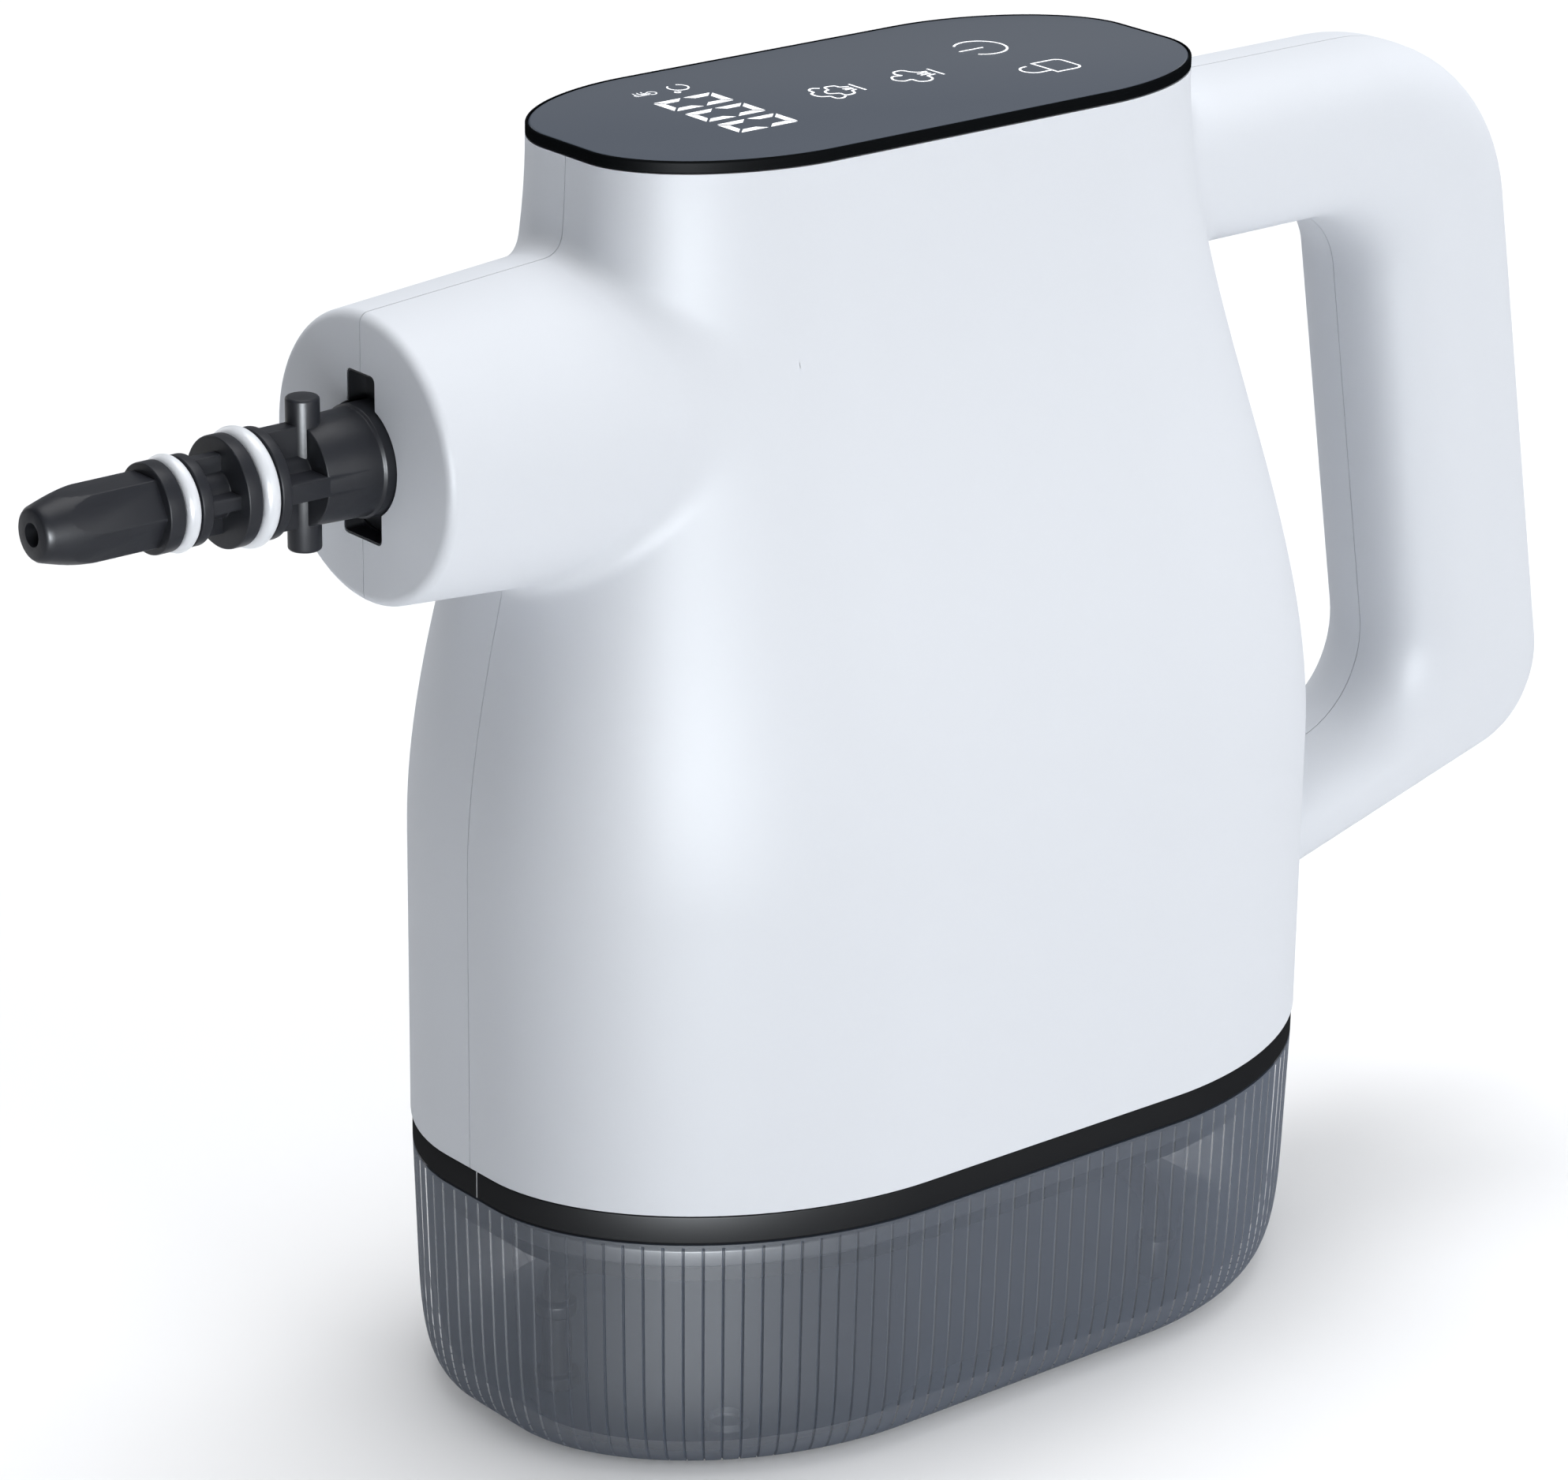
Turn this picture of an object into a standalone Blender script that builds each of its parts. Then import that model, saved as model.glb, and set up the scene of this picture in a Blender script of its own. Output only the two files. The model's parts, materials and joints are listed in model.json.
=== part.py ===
"""Hand-held steam cleaner.

A bottle-shaped body is moulded in two halves with a loop handle and a conical barrel.
A touch panel closes its top, a black band closes its bottom, and a smoky water tank pulls off
downward.

Frame: metres, +Z up, spout towards -X, handle towards +X, origin at the centre of the tank's
flat underside.
"""

import math

import bmesh
import bpy
from mathutils import Matrix, Vector

MM = 0.001

# Clearances
GAP = 0.3 * MM  # air between two pieces that touch
OVERRUN = 4.0 * MM  # how far a cutter runs past what it cuts
CORNER_STEPS = 7  # facets on each rounded corner of an outline

# Body: two moulded halves
BASE_LENGTH = 168.0 * MM
BASE_WIDTH = 100.4 * MM
BASE_SIDE_FLAT = 56.0 * MM  # straight stretch of each long side
BASE_NOSE_FLAT = 13.2 * MM  # straight stretch of each end
NECK_LENGTH = 122.5 * MM
NECK_WIDTH = 55.3 * MM
NECK_SIDE_FLAT = 58.3 * MM
NECK_NOSE_FLAT = 12.1 * MM
NECK_FORWARD = 2.6 * MM  # the neck's middle lies this far towards the spout
CORNER_POWER = 1.9  # a little fuller than a chamfer, a little softer than an ellipse
BODY_HEIGHT = 168.4 * MM
SHOULDER_START_SHARE = 0.30  # of the body's height, where it starts to narrow
WALL = 2.4 * MM
BODY_LEVELS = 9  # above the height where it starts to narrow

# Tank
TANK_HEIGHT = 42.9 * MM
TANK_WALL = 2.4 * MM
TANK_DRAFT = 1.4 * MM  # how much the tank narrows on its way down
TANK_HEEL_HEIGHT = 24.5 * MM  # rounding between the wall and the underside
TANK_HEEL_INSET = 9.8 * MM
HEEL_FALL_POWER = 3.6
HEEL_SIDE_POWER = 3.6
HEEL_STEPS = 6

# Band between the tank and the body, with its floor
BAND_HEIGHT = 4.8 * MM
BAND_SETBACK = 0.3 * MM  # the band lies this much inside the body's wall
FLOOR_THICKNESS = 2.4 * MM
RIM_HEIGHT = 4.5 * MM  # rim that centres the body on the band
RIM_THICKNESS = 2.0 * MM
SKIRT_DEPTH = 9.0 * MM  # skirt that enters the tank's mouth
SKIRT_THICKNESS = 2.2 * MM
GASKET_THICKNESS = 1.8 * MM
GASKET_HEIGHT = 3.2 * MM
GASKET_DEPTH = 2.5 * MM

# Feet, two curved pads let into the underside
FOOT_INSET = 4.5 * MM  # from the edge of the flat underside
FOOT_WIDTH = 4.6 * MM
FOOT_THICKNESS = 1.1 * MM
FOOT_GAP_FRONT = 28.5 * MM  # the front pad ends here, the rear one as far behind
BOSS_RING_RADIUS = 3.9 * MM
BOSS_RING_WALL = 1.0 * MM
BOSS_RING_HEIGHT = 1.6 * MM
BOSS_RING_END_INSET = 32.0 * MM  # from the front of the base
BOSS_RING_SIDE_INSET = 22.2 * MM  # from the near side of the base

# Barrel and its face
AXIS_DROP = 42.0 * MM  # from the top of the body down to the axis of the spout
BARREL_REACH = 19.5 * MM  # from the front of the base to the face
FACE_RADIUS = 23.5 * MM
BARREL_ROOT_DEPTH = 44.0 * MM  # from the front of the base back to the root of the cone
BARREL_ROOT_RADIUS = 28.2 * MM
FACE_FILLET = 1.7 * MM
FACE_WALL = 3.2 * MM
FACE_HOLE_CLEARANCE = 0.35 * MM
SLOT_TOP_WIDTH = 6.8 * MM
SLOT_TOP_REACH = 13.8 * MM
SLOT_BOTTOM_WIDTH = 9.6 * MM
SLOT_BOTTOM_REACH = 12.7 * MM
BARREL_SEGMENTS = 36
FILLET_STEPS = 3

# Spout, from its tip to its tail along the axis
SPOUT_LENGTH = 60.0 * MM  # from the barrel's face to the tip
TIP_RADIUS = 3.9 * MM
TIP_BORE_RADIUS = 1.9 * MM
TIP_BORE_DEPTH = 12.0 * MM
TIP_CONE_LENGTH = 10.7 * MM
TIP_CURVE_SHARES = ((0.42, 0.60), (0.75, 0.86))  # along the tip, out to the hexagon
HEX_RADIUS = 6.25 * MM  # over the corners
HEX_LENGTH = 9.4 * MM
SMALL_DISC_RADIUS = 7.2 * MM
SMALL_DISC_FRONT = 2.8 * MM
SMALL_DISC_REAR = 1.9 * MM
SMALL_GROOVE_RADIUS = 4.8 * MM
SMALL_GROOVE_WIDTH = 3.1 * MM
NECK_RUN = 5.3 * MM
CORE_RADIUS = 3.9 * MM
NECK_RIB_RADIUS = 6.4 * MM
NECK_RIB_WIDTH = 2.3 * MM
LARGE_DISC_RADIUS = 8.9 * MM
LARGE_DISC_FRONT = 2.5 * MM
LARGE_DISC_REAR = 1.8 * MM
LARGE_GROOVE_RADIUS = 6.2 * MM
LARGE_GROOVE_WIDTH = 3.6 * MM
CAGE_RUN = 7.0 * MM
CAGE_RADIUS = 8.3 * MM
CAGE_RIB_WIDTH = 3.2 * MM
SLEEVE_RADIUS = 8.7 * MM
COLLAR_RADIUS = 9.1 * MM
COLLAR_LENGTH = 1.6 * MM
LUG_RADIUS = 2.7 * MM
LUG_REACH = 12.4 * MM
LUG_BACK = 49.1 * MM  # the lugs' axis, from the tip
BACK_FLANGE_RADIUS = 12.5 * MM
BACK_FLANGE_THICKNESS = 2.6 * MM
TAIL_RADIUS = 6.0 * MM
TAIL_LENGTH = 7.0 * MM
SPOUT_SEGMENTS = 24
SMALL_RING_TUBE = 1.3 * MM
LARGE_RING_TUBE = 1.55 * MM
RING_SEGMENTS = 24
RING_TUBE_SEGMENTS = 8
HOLDER_RADIUS = 19.5 * MM
HOLDER_THICKNESS = 5.0 * MM

# Handle loop: corners of its outer and inner outlines. Reaches run out from the rear of the base
# and depths the other way, drops run down from the body's top and rises up from its lower edge.
HANDLE_HALF_WIDTH = 15.6 * MM
HANDLE_POWER = 2.7
HANDLE_ROOT_DEPTH = 34.0 * MM  # both arms start inside the body
HANDLE_TOP_DROP = 6.1 * MM
HANDLE_TOP_REACH = 49.6 * MM
HANDLE_TOP_ROUNDING = 35.0 * MM
HANDLE_LOW_RISE = 30.7 * MM
HANDLE_LOW_REACH = 72.5 * MM
HANDLE_LOW_ROUNDING = 15.0 * MM
HANDLE_FOOT_DEPTH = 2.0 * MM
HANDLE_FOOT_RISE = 11.2 * MM
GRIP_DEPTH = 29.4 * MM  # thickness of the upper arm
GRIP_TOP_REACH = 19.8 * MM
GRIP_TOP_ROUNDING = 14.0 * MM
GRIP_LOW_RISE = 37.7 * MM
GRIP_LOW_REACH = 35.0 * MM
GRIP_LOW_ROUNDING = 18.0 * MM
GRIP_FOOT_DEPTH = 6.0 * MM
GRIP_FOOT_RISE = 24.3 * MM
HANDLE_ARC_STEPS = 6
HANDLE_RUN_STEPS = 1
HANDLE_SIDES = 16

# Touch panel
TRIM_HEIGHT = 1.8 * MM
TRIM_BEVEL = 0.5 * MM
TRIM_LEDGE = 4.5 * MM
TRIM_SKIRT = 6.0 * MM
TRIM_SKIRT_THICKNESS = 2.0 * MM
PANEL_SETBACK = 1.0 * MM
PANEL_THICKNESS = 1.2 * MM
BOARD_THICKNESS = 1.6 * MM
DISPLAY_LENGTH = 16.0 * MM
DISPLAY_WIDTH = 30.0 * MM
DISPLAY_INSET = 30.75 * MM  # its middle, from the front of the neck
DISPLAY_HEIGHT = 1.6 * MM

# Boiler, level with the spout
BOILER_LENGTH = 68.0 * MM
BOILER_WIDTH = 40.0 * MM
BOILER_HEIGHT = 26.0 * MM
BOILER_SETBACK = 11.85 * MM  # from the front of the neck
BOILER_ROUNDING = 5.0 * MM
OUTLET_RADIUS = 3.2 * MM
OUTLET_LENGTH = 8.0 * MM
INLET_BACK = 14.0 * MM  # from the boiler's front
HEATER_RADIUS = 3.3 * MM
HEATER_SPREAD = 12.0 * MM
HEATER_LENGTH = 11.0 * MM
HEATER_PIN_RADIUS = 1.1 * MM
HEATER_PIN_LENGTH = 5.0 * MM
COVER_THICKNESS = 3.0 * MM
COVER_SCREW_INSET = 5.0 * MM
COVER_SCREW_RADIUS = 1.25 * MM
COVER_SCREW_HEAD = 2.6 * MM
COVER_SCREW_LENGTH = 8.0 * MM
THERMOSTAT_RADIUS = 8.0 * MM
THERMOSTAT_HEIGHT = 6.0 * MM
THERMOSTAT_SEGMENTS = 18
THERMOSTAT_FLANGE = 1.2 * MM
FUSE_RADIUS = 2.2 * MM
FUSE_LENGTH = 11.0 * MM

# Pump, low in the body
PUMP_RISE = 37.7 * MM  # its axis above the body's lower edge
PUMP_RADIUS = 8.5 * MM
PUMP_LENGTH_SHARE = 0.4524  # of the base's length
PUMP_BARB_RADIUS = 2.6 * MM
PUMP_BARB_LENGTH = 5.0 * MM
COIL_LENGTH_SHARE = 0.395  # of the pump's length
COIL_WIDTH = 32.0 * MM
COIL_HEIGHT = 34.0 * MM
COIL_ROUNDING = 3.0 * MM
MOUNT_RADIUS = 14.5 * MM
MOUNT_LENGTH = 7.0 * MM
MOUNT_SPREAD_SHARE = 0.355  # of the pump's length, from its middle to a rubber mount

# Ribs of the shells
RIB_THICKNESS = 2.6 * MM
RIB_START = 8.0 * MM  # above the body's lower edge
PUMP_RIB_REACH = 20.0 * MM  # above the pump's axis
BOILER_RIB_FRONT_INSET = 4.5 * MM  # behind the boiler's front
BOILER_RIB_REAR_INSET = 8.0 * MM  # before the boiler's rear
BOILER_RIB_DROP = 24.7 * MM  # below the axis of the spout
BOILER_RIB_TOP_DROP = 2.7 * MM
HOLDER_RIB_THICKNESS = 2.4 * MM

# Control board, upright behind the pump
CONTROL_BACK_SHARE = 2 / 3  # of the way from the middle to the rear of the base
CONTROL_SIDE_INSET = 22.2 * MM  # from each side of the base
CONTROL_RISE = 17.7 * MM
CONTROL_HEIGHT = 64.0 * MM
CONTROL_GRIP = 3.0 * MM  # how deep the rails hold the board's edges
RAIL_HEIGHT = 8.0 * MM
RAIL_THICKNESS = 6.0 * MM
RELAY_LENGTH = 16.0 * MM
RELAY_WIDTH = 19.0 * MM
RELAY_HEIGHT = 15.0 * MM

# Mains inlet bush, beside the latch; no cord is modelled
GLAND_RISE = 13.7 * MM
GLAND_FACET = 3  # facet of the body's rear corner that carries it
GLAND_LENGTH = 12.0 * MM
GLAND_SEAT_DEPTH = 0.9 * MM
GLAND_RADIUS = 6.0 * MM
GLAND_FLANGE_RADIUS = 8.0 * MM
GLAND_FLANGE_THICKNESS = 2.0 * MM
GLAND_BORE_RADIUS = 3.7 * MM
GLAND_SEGMENTS = 18

# Hoses
HOSE_RADIUS = 2.2 * MM
STEAM_TUBE_RADIUS = 3.4 * MM
HOSE_BARB_RADIUS = 2.0 * MM
HOSE_BARB_BORE = 1.1 * MM
HOSE_BARB_LENGTH = 6.0 * MM
SUCTION_END_INSET = 26.0 * MM
SUCTION_SIDE_INSET = 26.2 * MM
RETURN_END_INSET = 55.0 * MM
RETURN_SIDE_INSET = 19.2 * MM
HOSE_STEP = 5.0 * MM

# Weighted filter on the tank's floor
FILTER_END_INSET = 18.5 * MM
FILTER_SIDE = 1.0 * MM
FILTER_RADIUS = 2.6 * MM
FILTER_COLLAR_RADIUS = 4.0 * MM
FILTER_COLLAR_HEIGHT = 2.4 * MM
FILTER_HEIGHT = 13.0 * MM
FILTER_CAP_RADIUS = 3.6 * MM
FILTER_CAP_HEIGHT = 2.4 * MM

# Relief valve at the end of the return hose
VALVE_RADIUS = 3.6 * MM
VALVE_HEIGHT = 7.0 * MM
VALVE_END_INSET = 40.0 * MM
VALVE_SIDE_INSET = 21.2 * MM

# Level sensor under the band's floor
SENSOR_LENGTH = 30.0 * MM
SENSOR_WIDTH = 9.0 * MM
SENSOR_DEPTH = 13.0 * MM
SENSOR_LEAD = 22.0 * MM  # its middle, ahead of the return barb
SENSOR_SIDE_INSET = 14.2 * MM
SENSOR_ROUNDING = 1.0 * MM

# Latch of the tank, a rocker at the back
LATCH_WIDTH = 26.0 * MM
LATCH_THICKNESS = 2.4 * MM
LATCH_ABOVE = 9.0 * MM  # from the pivot to its upper edge
LATCH_BELOW = 12.0 * MM
LATCH_ROUNDING = 1.0 * MM
LATCH_PIN_RADIUS = 1.1 * MM
LATCH_PIN_CLEARANCE = 0.25 * MM
LATCH_EYE_RADIUS = 2.6 * MM
LATCH_EYE_WIDTH = 16.0 * MM
LATCH_LUG_WIDTH = 3.0 * MM
LATCH_PROUD = 0.6 * MM
POCKET_CLEARANCE = 0.6 * MM
POCKET_WALL = 2.0 * MM
LATCH_ROOM = 3.4 * MM  # how far its upper edge can go in

# Shell screws: two low in the body, two in the neck, two in the handle. Insets run from the end of
# the base, the end of the neck and the handle's corners, rises and drops from the same.
SCREW_INSETS = (12.0 * MM, 11.0 * MM, 21.2 * MM, 21.2 * MM, 14.6 * MM, 19.5 * MM)
SCREW_RISES = (27.7 * MM, 32.7 * MM, 11.7 * MM, 13.7 * MM, 17.6 * MM, 17.0 * MM)
SCREW_RADIUS = 1.5 * MM
SCREW_HEAD_RADIUS = 2.9 * MM
SCREW_HEAD_HEIGHT = 2.2 * MM
SCREW_REACH = 9.0 * MM  # on each side of the parting plane
SCREW_SEAT = 6.0 * MM  # the seat's distance from the parting plane
SCREW_BOSS_RADIUS = 4.6 * MM
SCREW_SEGMENTS = 12

# Colours: red, green, blue, then roughness and metallic
FINISHES = {
    "white_shell": ((0.86, 0.87, 0.89), 0.25, 0.0),
    "black_trim": ((0.012, 0.013, 0.016), 0.25, 0.0),
    "slate_panel": ((0.10, 0.12, 0.15), 0.12, 0.0),
    "smoky_tank": ((0.16, 0.18, 0.22), 0.15, 0.0),
    "black_plastic": ((0.016, 0.018, 0.022), 0.40, 0.0),
    "grey_silicone": ((0.72, 0.74, 0.76), 0.55, 0.0),
    "dark_rubber": ((0.03, 0.03, 0.033), 0.75, 0.0),
    "steel": ((0.62, 0.62, 0.60), 0.35, 1.0),
    "cast_aluminium": ((0.60, 0.61, 0.62), 0.50, 1.0),
    "circuit_green": ((0.03, 0.16, 0.08), 0.50, 0.0),
    "copper": ((0.62, 0.30, 0.16), 0.40, 1.0),
}

# Places that follow from the sizes above
BAND_TOP = TANK_HEIGHT + GAP + BAND_HEIGHT
BODY_LOW = BAND_TOP + GAP
BODY_TOP = BODY_LOW + BODY_HEIGHT
BAND_LOW = BAND_TOP - BAND_HEIGHT
FLOOR_LOW = BAND_TOP - FLOOR_THICKNESS
TRIM_LOW = BODY_TOP + GAP
PANEL_LOW = TRIM_LOW + TRIM_HEIGHT - PANEL_THICKNESS
TRIM_SEAT = PANEL_LOW - GAP
BASE_END = BASE_LENGTH / 2
BASE_SIDE = BASE_WIDTH / 2
NECK_END = NECK_LENGTH / 2
FACE_FORWARD = BASE_END + BARREL_REACH
FACE_X = -FACE_FORWARD
BARREL_ROOT_FORWARD = BASE_END - BARREL_ROOT_DEPTH
AXIS_HEIGHT = BODY_TOP - AXIS_DROP
HANDLE_ROOT_BACK = BASE_END - HANDLE_ROOT_DEPTH
HANDLE_TOP_BACK = BASE_END + HANDLE_TOP_REACH
HANDLE_LOW_BACK = BASE_END + HANDLE_LOW_REACH
HANDLE_FOOT_BACK = BASE_END - HANDLE_FOOT_DEPTH
GRIP_TOP_BACK = BASE_END + GRIP_TOP_REACH
GRIP_LOW_BACK = BASE_END + GRIP_LOW_REACH
GRIP_FOOT_BACK = BASE_END - GRIP_FOOT_DEPTH
HANDLE_TOP = BODY_TOP - HANDLE_TOP_DROP
GRIP_TOP = HANDLE_TOP - GRIP_DEPTH
HANDLE_LOW = BODY_LOW + HANDLE_LOW_RISE
HANDLE_FOOT = BODY_LOW + HANDLE_FOOT_RISE
GRIP_LOW = BODY_LOW + GRIP_LOW_RISE
GRIP_FOOT = BODY_LOW + GRIP_FOOT_RISE
DISPLAY_FORWARD = NECK_END - DISPLAY_INSET
BOILER_FRONT = NECK_END + NECK_FORWARD - BOILER_SETBACK
BOILER_REAR = BOILER_LENGTH - BOILER_FRONT
BOILER_RIB_FRONT = BOILER_FRONT - BOILER_RIB_FRONT_INSET
BOILER_RIB_BACK = BOILER_REAR - BOILER_RIB_REAR_INSET
BOILER_RIB_FOOT = AXIS_HEIGHT - BOILER_RIB_DROP
BOILER_RIB_TOP = AXIS_HEIGHT - BOILER_RIB_TOP_DROP
PUMP_HEIGHT = BODY_LOW + PUMP_RISE
PUMP_LENGTH = BASE_LENGTH * PUMP_LENGTH_SHARE
COIL_LENGTH = PUMP_LENGTH * COIL_LENGTH_SHARE
MOUNT_SPREAD = PUMP_LENGTH * MOUNT_SPREAD_SHARE
PUMP_RIB_TOP = PUMP_HEIGHT + PUMP_RIB_REACH
CONTROL_BACK = BASE_END * CONTROL_BACK_SHARE
CONTROL_WIDTH = BASE_WIDTH - 2 * CONTROL_SIDE_INSET
CONTROL_LOW = BODY_LOW + CONTROL_RISE
GLAND_HEIGHT = BODY_LOW + GLAND_RISE
SUCTION_FORWARD = BASE_END - SUCTION_END_INSET
SUCTION_SIDE = BASE_SIDE - SUCTION_SIDE_INSET
RETURN_BACK = BASE_END - RETURN_END_INSET
RETURN_SIDE = BASE_SIDE - RETURN_SIDE_INSET
FILTER_FORWARD = BASE_END - FILTER_END_INSET
VALVE_BACK = BASE_END - VALVE_END_INSET
VALVE_SIDE = BASE_SIDE - VALVE_SIDE_INSET
SENSOR_BACK = RETURN_BACK - SENSOR_LEAD
SENSOR_SIDE = BASE_SIDE - SENSOR_SIDE_INSET
BOSS_RING_FORWARD = BASE_END - BOSS_RING_END_INSET
BOSS_RING_SIDE = BASE_SIDE - BOSS_RING_SIDE_INSET
SCREW_BACK = (
    SCREW_INSETS[0] - BASE_END,
    BASE_END - SCREW_INSETS[1],
    SCREW_INSETS[2] - NECK_END,
    NECK_END - SCREW_INSETS[3],
    HANDLE_TOP_BACK - SCREW_INSETS[4],
    HANDLE_LOW_BACK - SCREW_INSETS[5],
)
SCREW_HEIGHT = (
    BODY_LOW + SCREW_RISES[0],
    BODY_LOW + SCREW_RISES[1],
    BODY_TOP - SCREW_RISES[2],
    BODY_TOP - SCREW_RISES[3],
    HANDLE_TOP - SCREW_RISES[4],
    HANDLE_LOW + SCREW_RISES[5],
)
AXIS = Vector((0, 0, AXIS_HEIGHT))
FACE_CENTRE = Vector((FACE_X, 0, AXIS_HEIGHT))
UP = Vector((0, 0, 1))
DOWN = -UP
BACKWARD = Vector((1, 0, 0))
BOILER_LOW = AXIS_HEIGHT - BOILER_HEIGHT / 2
BOILER_TOP = AXIS_HEIGHT + BOILER_HEIGHT / 2
TANK_FLAT_INSET = BAND_SETBACK + TANK_DRAFT + TANK_HEEL_INSET
LATCH_FRONT = BASE_LENGTH / 2 + LATCH_PROUD - LATCH_THICKNESS
LATCH_PIN_BACK = LATCH_FRONT - LATCH_EYE_RADIUS
LATCH_PIVOT_HEIGHT = BAND_LOW + BAND_HEIGHT / 2


def mix(low, high, share):
    return low + (high - low) * share


def finish(name):
    material = bpy.data.materials.get(name)
    if material is None:
        colour, roughness, metallic = FINISHES[name]
        material = bpy.data.materials.new(name)
        material.use_nodes = True
        shader = material.node_tree.nodes["Principled BSDF"]
        shader.inputs["Base Color"].default_value = (*colour, 1.0)
        shader.inputs["Roughness"].default_value = roughness
        shader.inputs["Metallic"].default_value = metallic
        material.diffuse_color = (*colour, 1.0)
    return material


def add_object(name, mesh, finish_name=None):
    thing = bpy.data.objects.new(name, mesh)
    bpy.context.scene.collection.objects.link(thing)
    if finish_name:
        mesh.materials.clear()
        mesh.materials.append(finish(finish_name))
    return thing


def mesh_from(name, vertices, faces):
    mesh = bpy.data.meshes.new(name)
    mesh.from_pydata([tuple(v) for v in vertices], [], faces)
    work = bmesh.new()
    work.from_mesh(mesh)
    bmesh.ops.recalc_face_normals(work, faces=work.faces)
    work.to_mesh(mesh)
    work.free()
    return mesh


def skin(name, rings, finish_name=None, closed_path=False):
    """Solid through a row of rings that all have the same number of points."""
    count = len(rings[0])
    vertices = [point for ring in rings for point in ring]
    faces = []
    last = len(rings) if closed_path else len(rings) - 1
    for row in range(last):
        start = row * count
        following = ((row + 1) % len(rings)) * count
        for i in range(count):
            j = (i + 1) % count
            faces.append((start + i, start + j, following + j, following + i))
    if not closed_path:
        faces.append(tuple(reversed(range(count))))
        faces.append(tuple(range(len(vertices) - count, len(vertices))))
    return add_object(name, mesh_from(name, vertices, faces), finish_name)


def turned(name, profile, segments, finish_name=None):
    """Solid turned about X from an open profile of (place along X, radius), with flat ends."""
    rings = []
    for x, radius in profile:
        turns = [math.tau * step / segments for step in range(segments)]
        rings.append([(x, radius * math.cos(turn), radius * math.sin(turn)) for turn in turns])
    return skin(name, rings, finish_name)


def turned_ring(name, profile, segments, finish_name=None):
    """Ring turned about X from a closed profile of (place along X, radius)."""
    rings = []
    for step in range(segments):
        angle = math.tau * step / segments
        rings.append([(x, r * math.cos(angle), r * math.sin(angle)) for x, r in profile])
    return skin(name, rings, finish_name, closed_path=True)


def box(name, low, high, finish_name=None, rounding=0):
    """Box between two corners, with rounded edges when asked."""
    work = bmesh.new()
    bmesh.ops.create_cube(work, size=1)
    middle = [(a + b) / 2 for a, b in zip(low, high)]
    sides = [b - a for a, b in zip(low, high)]
    bmesh.ops.scale(work, vec=sides, verts=work.verts)
    if rounding:
        edges = list(work.edges)
        bmesh.ops.bevel(work, geom=edges, offset=rounding, segments=2, affect="EDGES", profile=0.5)
    bmesh.ops.translate(work, vec=middle, verts=work.verts)
    mesh = bpy.data.meshes.new(name)
    work.to_mesh(mesh)
    work.free()
    return add_object(name, mesh, finish_name)


def rod(name, radius, start, end, segments, finish_name=None):
    """Round rod from one point to another."""
    start = Vector(start)
    end = Vector(end)
    work = bmesh.new()
    bmesh.ops.create_cone(
        work,
        cap_ends=True,
        segments=segments,
        radius1=radius,
        radius2=radius,
        depth=(end - start).length,
    )
    turn = Vector((0, 0, 1)).rotation_difference(end - start).to_matrix().to_4x4()
    bmesh.ops.transform(work, matrix=Matrix.Translation((start + end) / 2) @ turn, verts=work.verts)
    mesh = bpy.data.meshes.new(name)
    work.to_mesh(mesh)
    work.free()
    return add_object(name, mesh, finish_name)


def combine(target, tool, operation):
    """Apply one Boolean and drop the tool."""
    bpy.context.view_layer.update()
    modifier = target.modifiers.new(operation, "BOOLEAN")
    modifier.operation = operation
    modifier.object = tool
    graph = bpy.context.evaluated_depsgraph_get()
    mesh = bpy.data.meshes.new_from_object(target.evaluated_get(graph))
    target.modifiers.clear()
    target.data = mesh
    bpy.data.objects.remove(tool)
    return target


def cut(target, *tools):
    for tool in tools:
        combine(target, tool, "DIFFERENCE")
    return target


def join(target, *tools):
    for tool in tools:
        combine(target, tool, "UNION")
    return target


def copy_of(thing, name):
    return add_object(name, thing.data.copy())


def move(thing, offset):
    thing.data.transform(Matrix.Translation(offset))
    return thing


def set_origin(thing, place, parent):
    """Give the object its own origin at a place and hang it on its parent."""
    bpy.context.view_layer.update()
    thing.parent = parent
    thing.location = parent.matrix_world.inverted() @ Vector(place)
    if thing.type == "MESH":
        thing.data.transform(Matrix.Translation(-Vector(place)))


def shade(thing):
    if thing.type == "MESH":
        thing.data.shade_smooth()
        thing.data.set_sharp_from_angle(angle=math.radians(35))


def rounded_outline(half_length, half_width, corner_length, corner_width, middle=0):
    """Oblong with soft corners, as (x, y) points."""
    points = []
    for sign_x, sign_y, backwards in ((1, 1, False), (-1, 1, True), (-1, -1, False), (1, -1, True)):
        for step in range(CORNER_STEPS + 1):
            share = step / CORNER_STEPS
            angle = math.pi / 2 * (1 - share if backwards else share)
            along = math.cos(angle) ** (2 / CORNER_POWER)
            across = math.sin(angle) ** (2 / CORNER_POWER)
            x = half_length - corner_length + corner_length * along
            y = half_width - corner_width + corner_width * across
            points.append((middle + sign_x * x, sign_y * y))
    return points


def narrowing(height):
    """How far the body has narrowed at a height: 0 at its base, 1 at its neck."""
    share = (height - BODY_LOW) / BODY_HEIGHT
    run = (share - SHOULDER_START_SHARE) / (1 - SHOULDER_START_SHARE)
    run = min(1, max(0, run))
    return run * run * (3 - 2 * run)


def body_outline(height, inset=0):
    share = narrowing(height)
    return rounded_outline(
        mix(BASE_LENGTH, NECK_LENGTH, share) / 2 - inset,
        mix(BASE_WIDTH, NECK_WIDTH, share) / 2 - inset,
        mix(BASE_LENGTH - BASE_SIDE_FLAT, NECK_LENGTH - NECK_SIDE_FLAT, share) / 2 - inset,
        mix(BASE_WIDTH - BASE_NOSE_FLAT, NECK_WIDTH - NECK_NOSE_FLAT, share) / 2 - inset,
        -NECK_FORWARD * share,
    )


def at_height(outline, height):
    return [(x, y, height) for x, y in outline]


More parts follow.
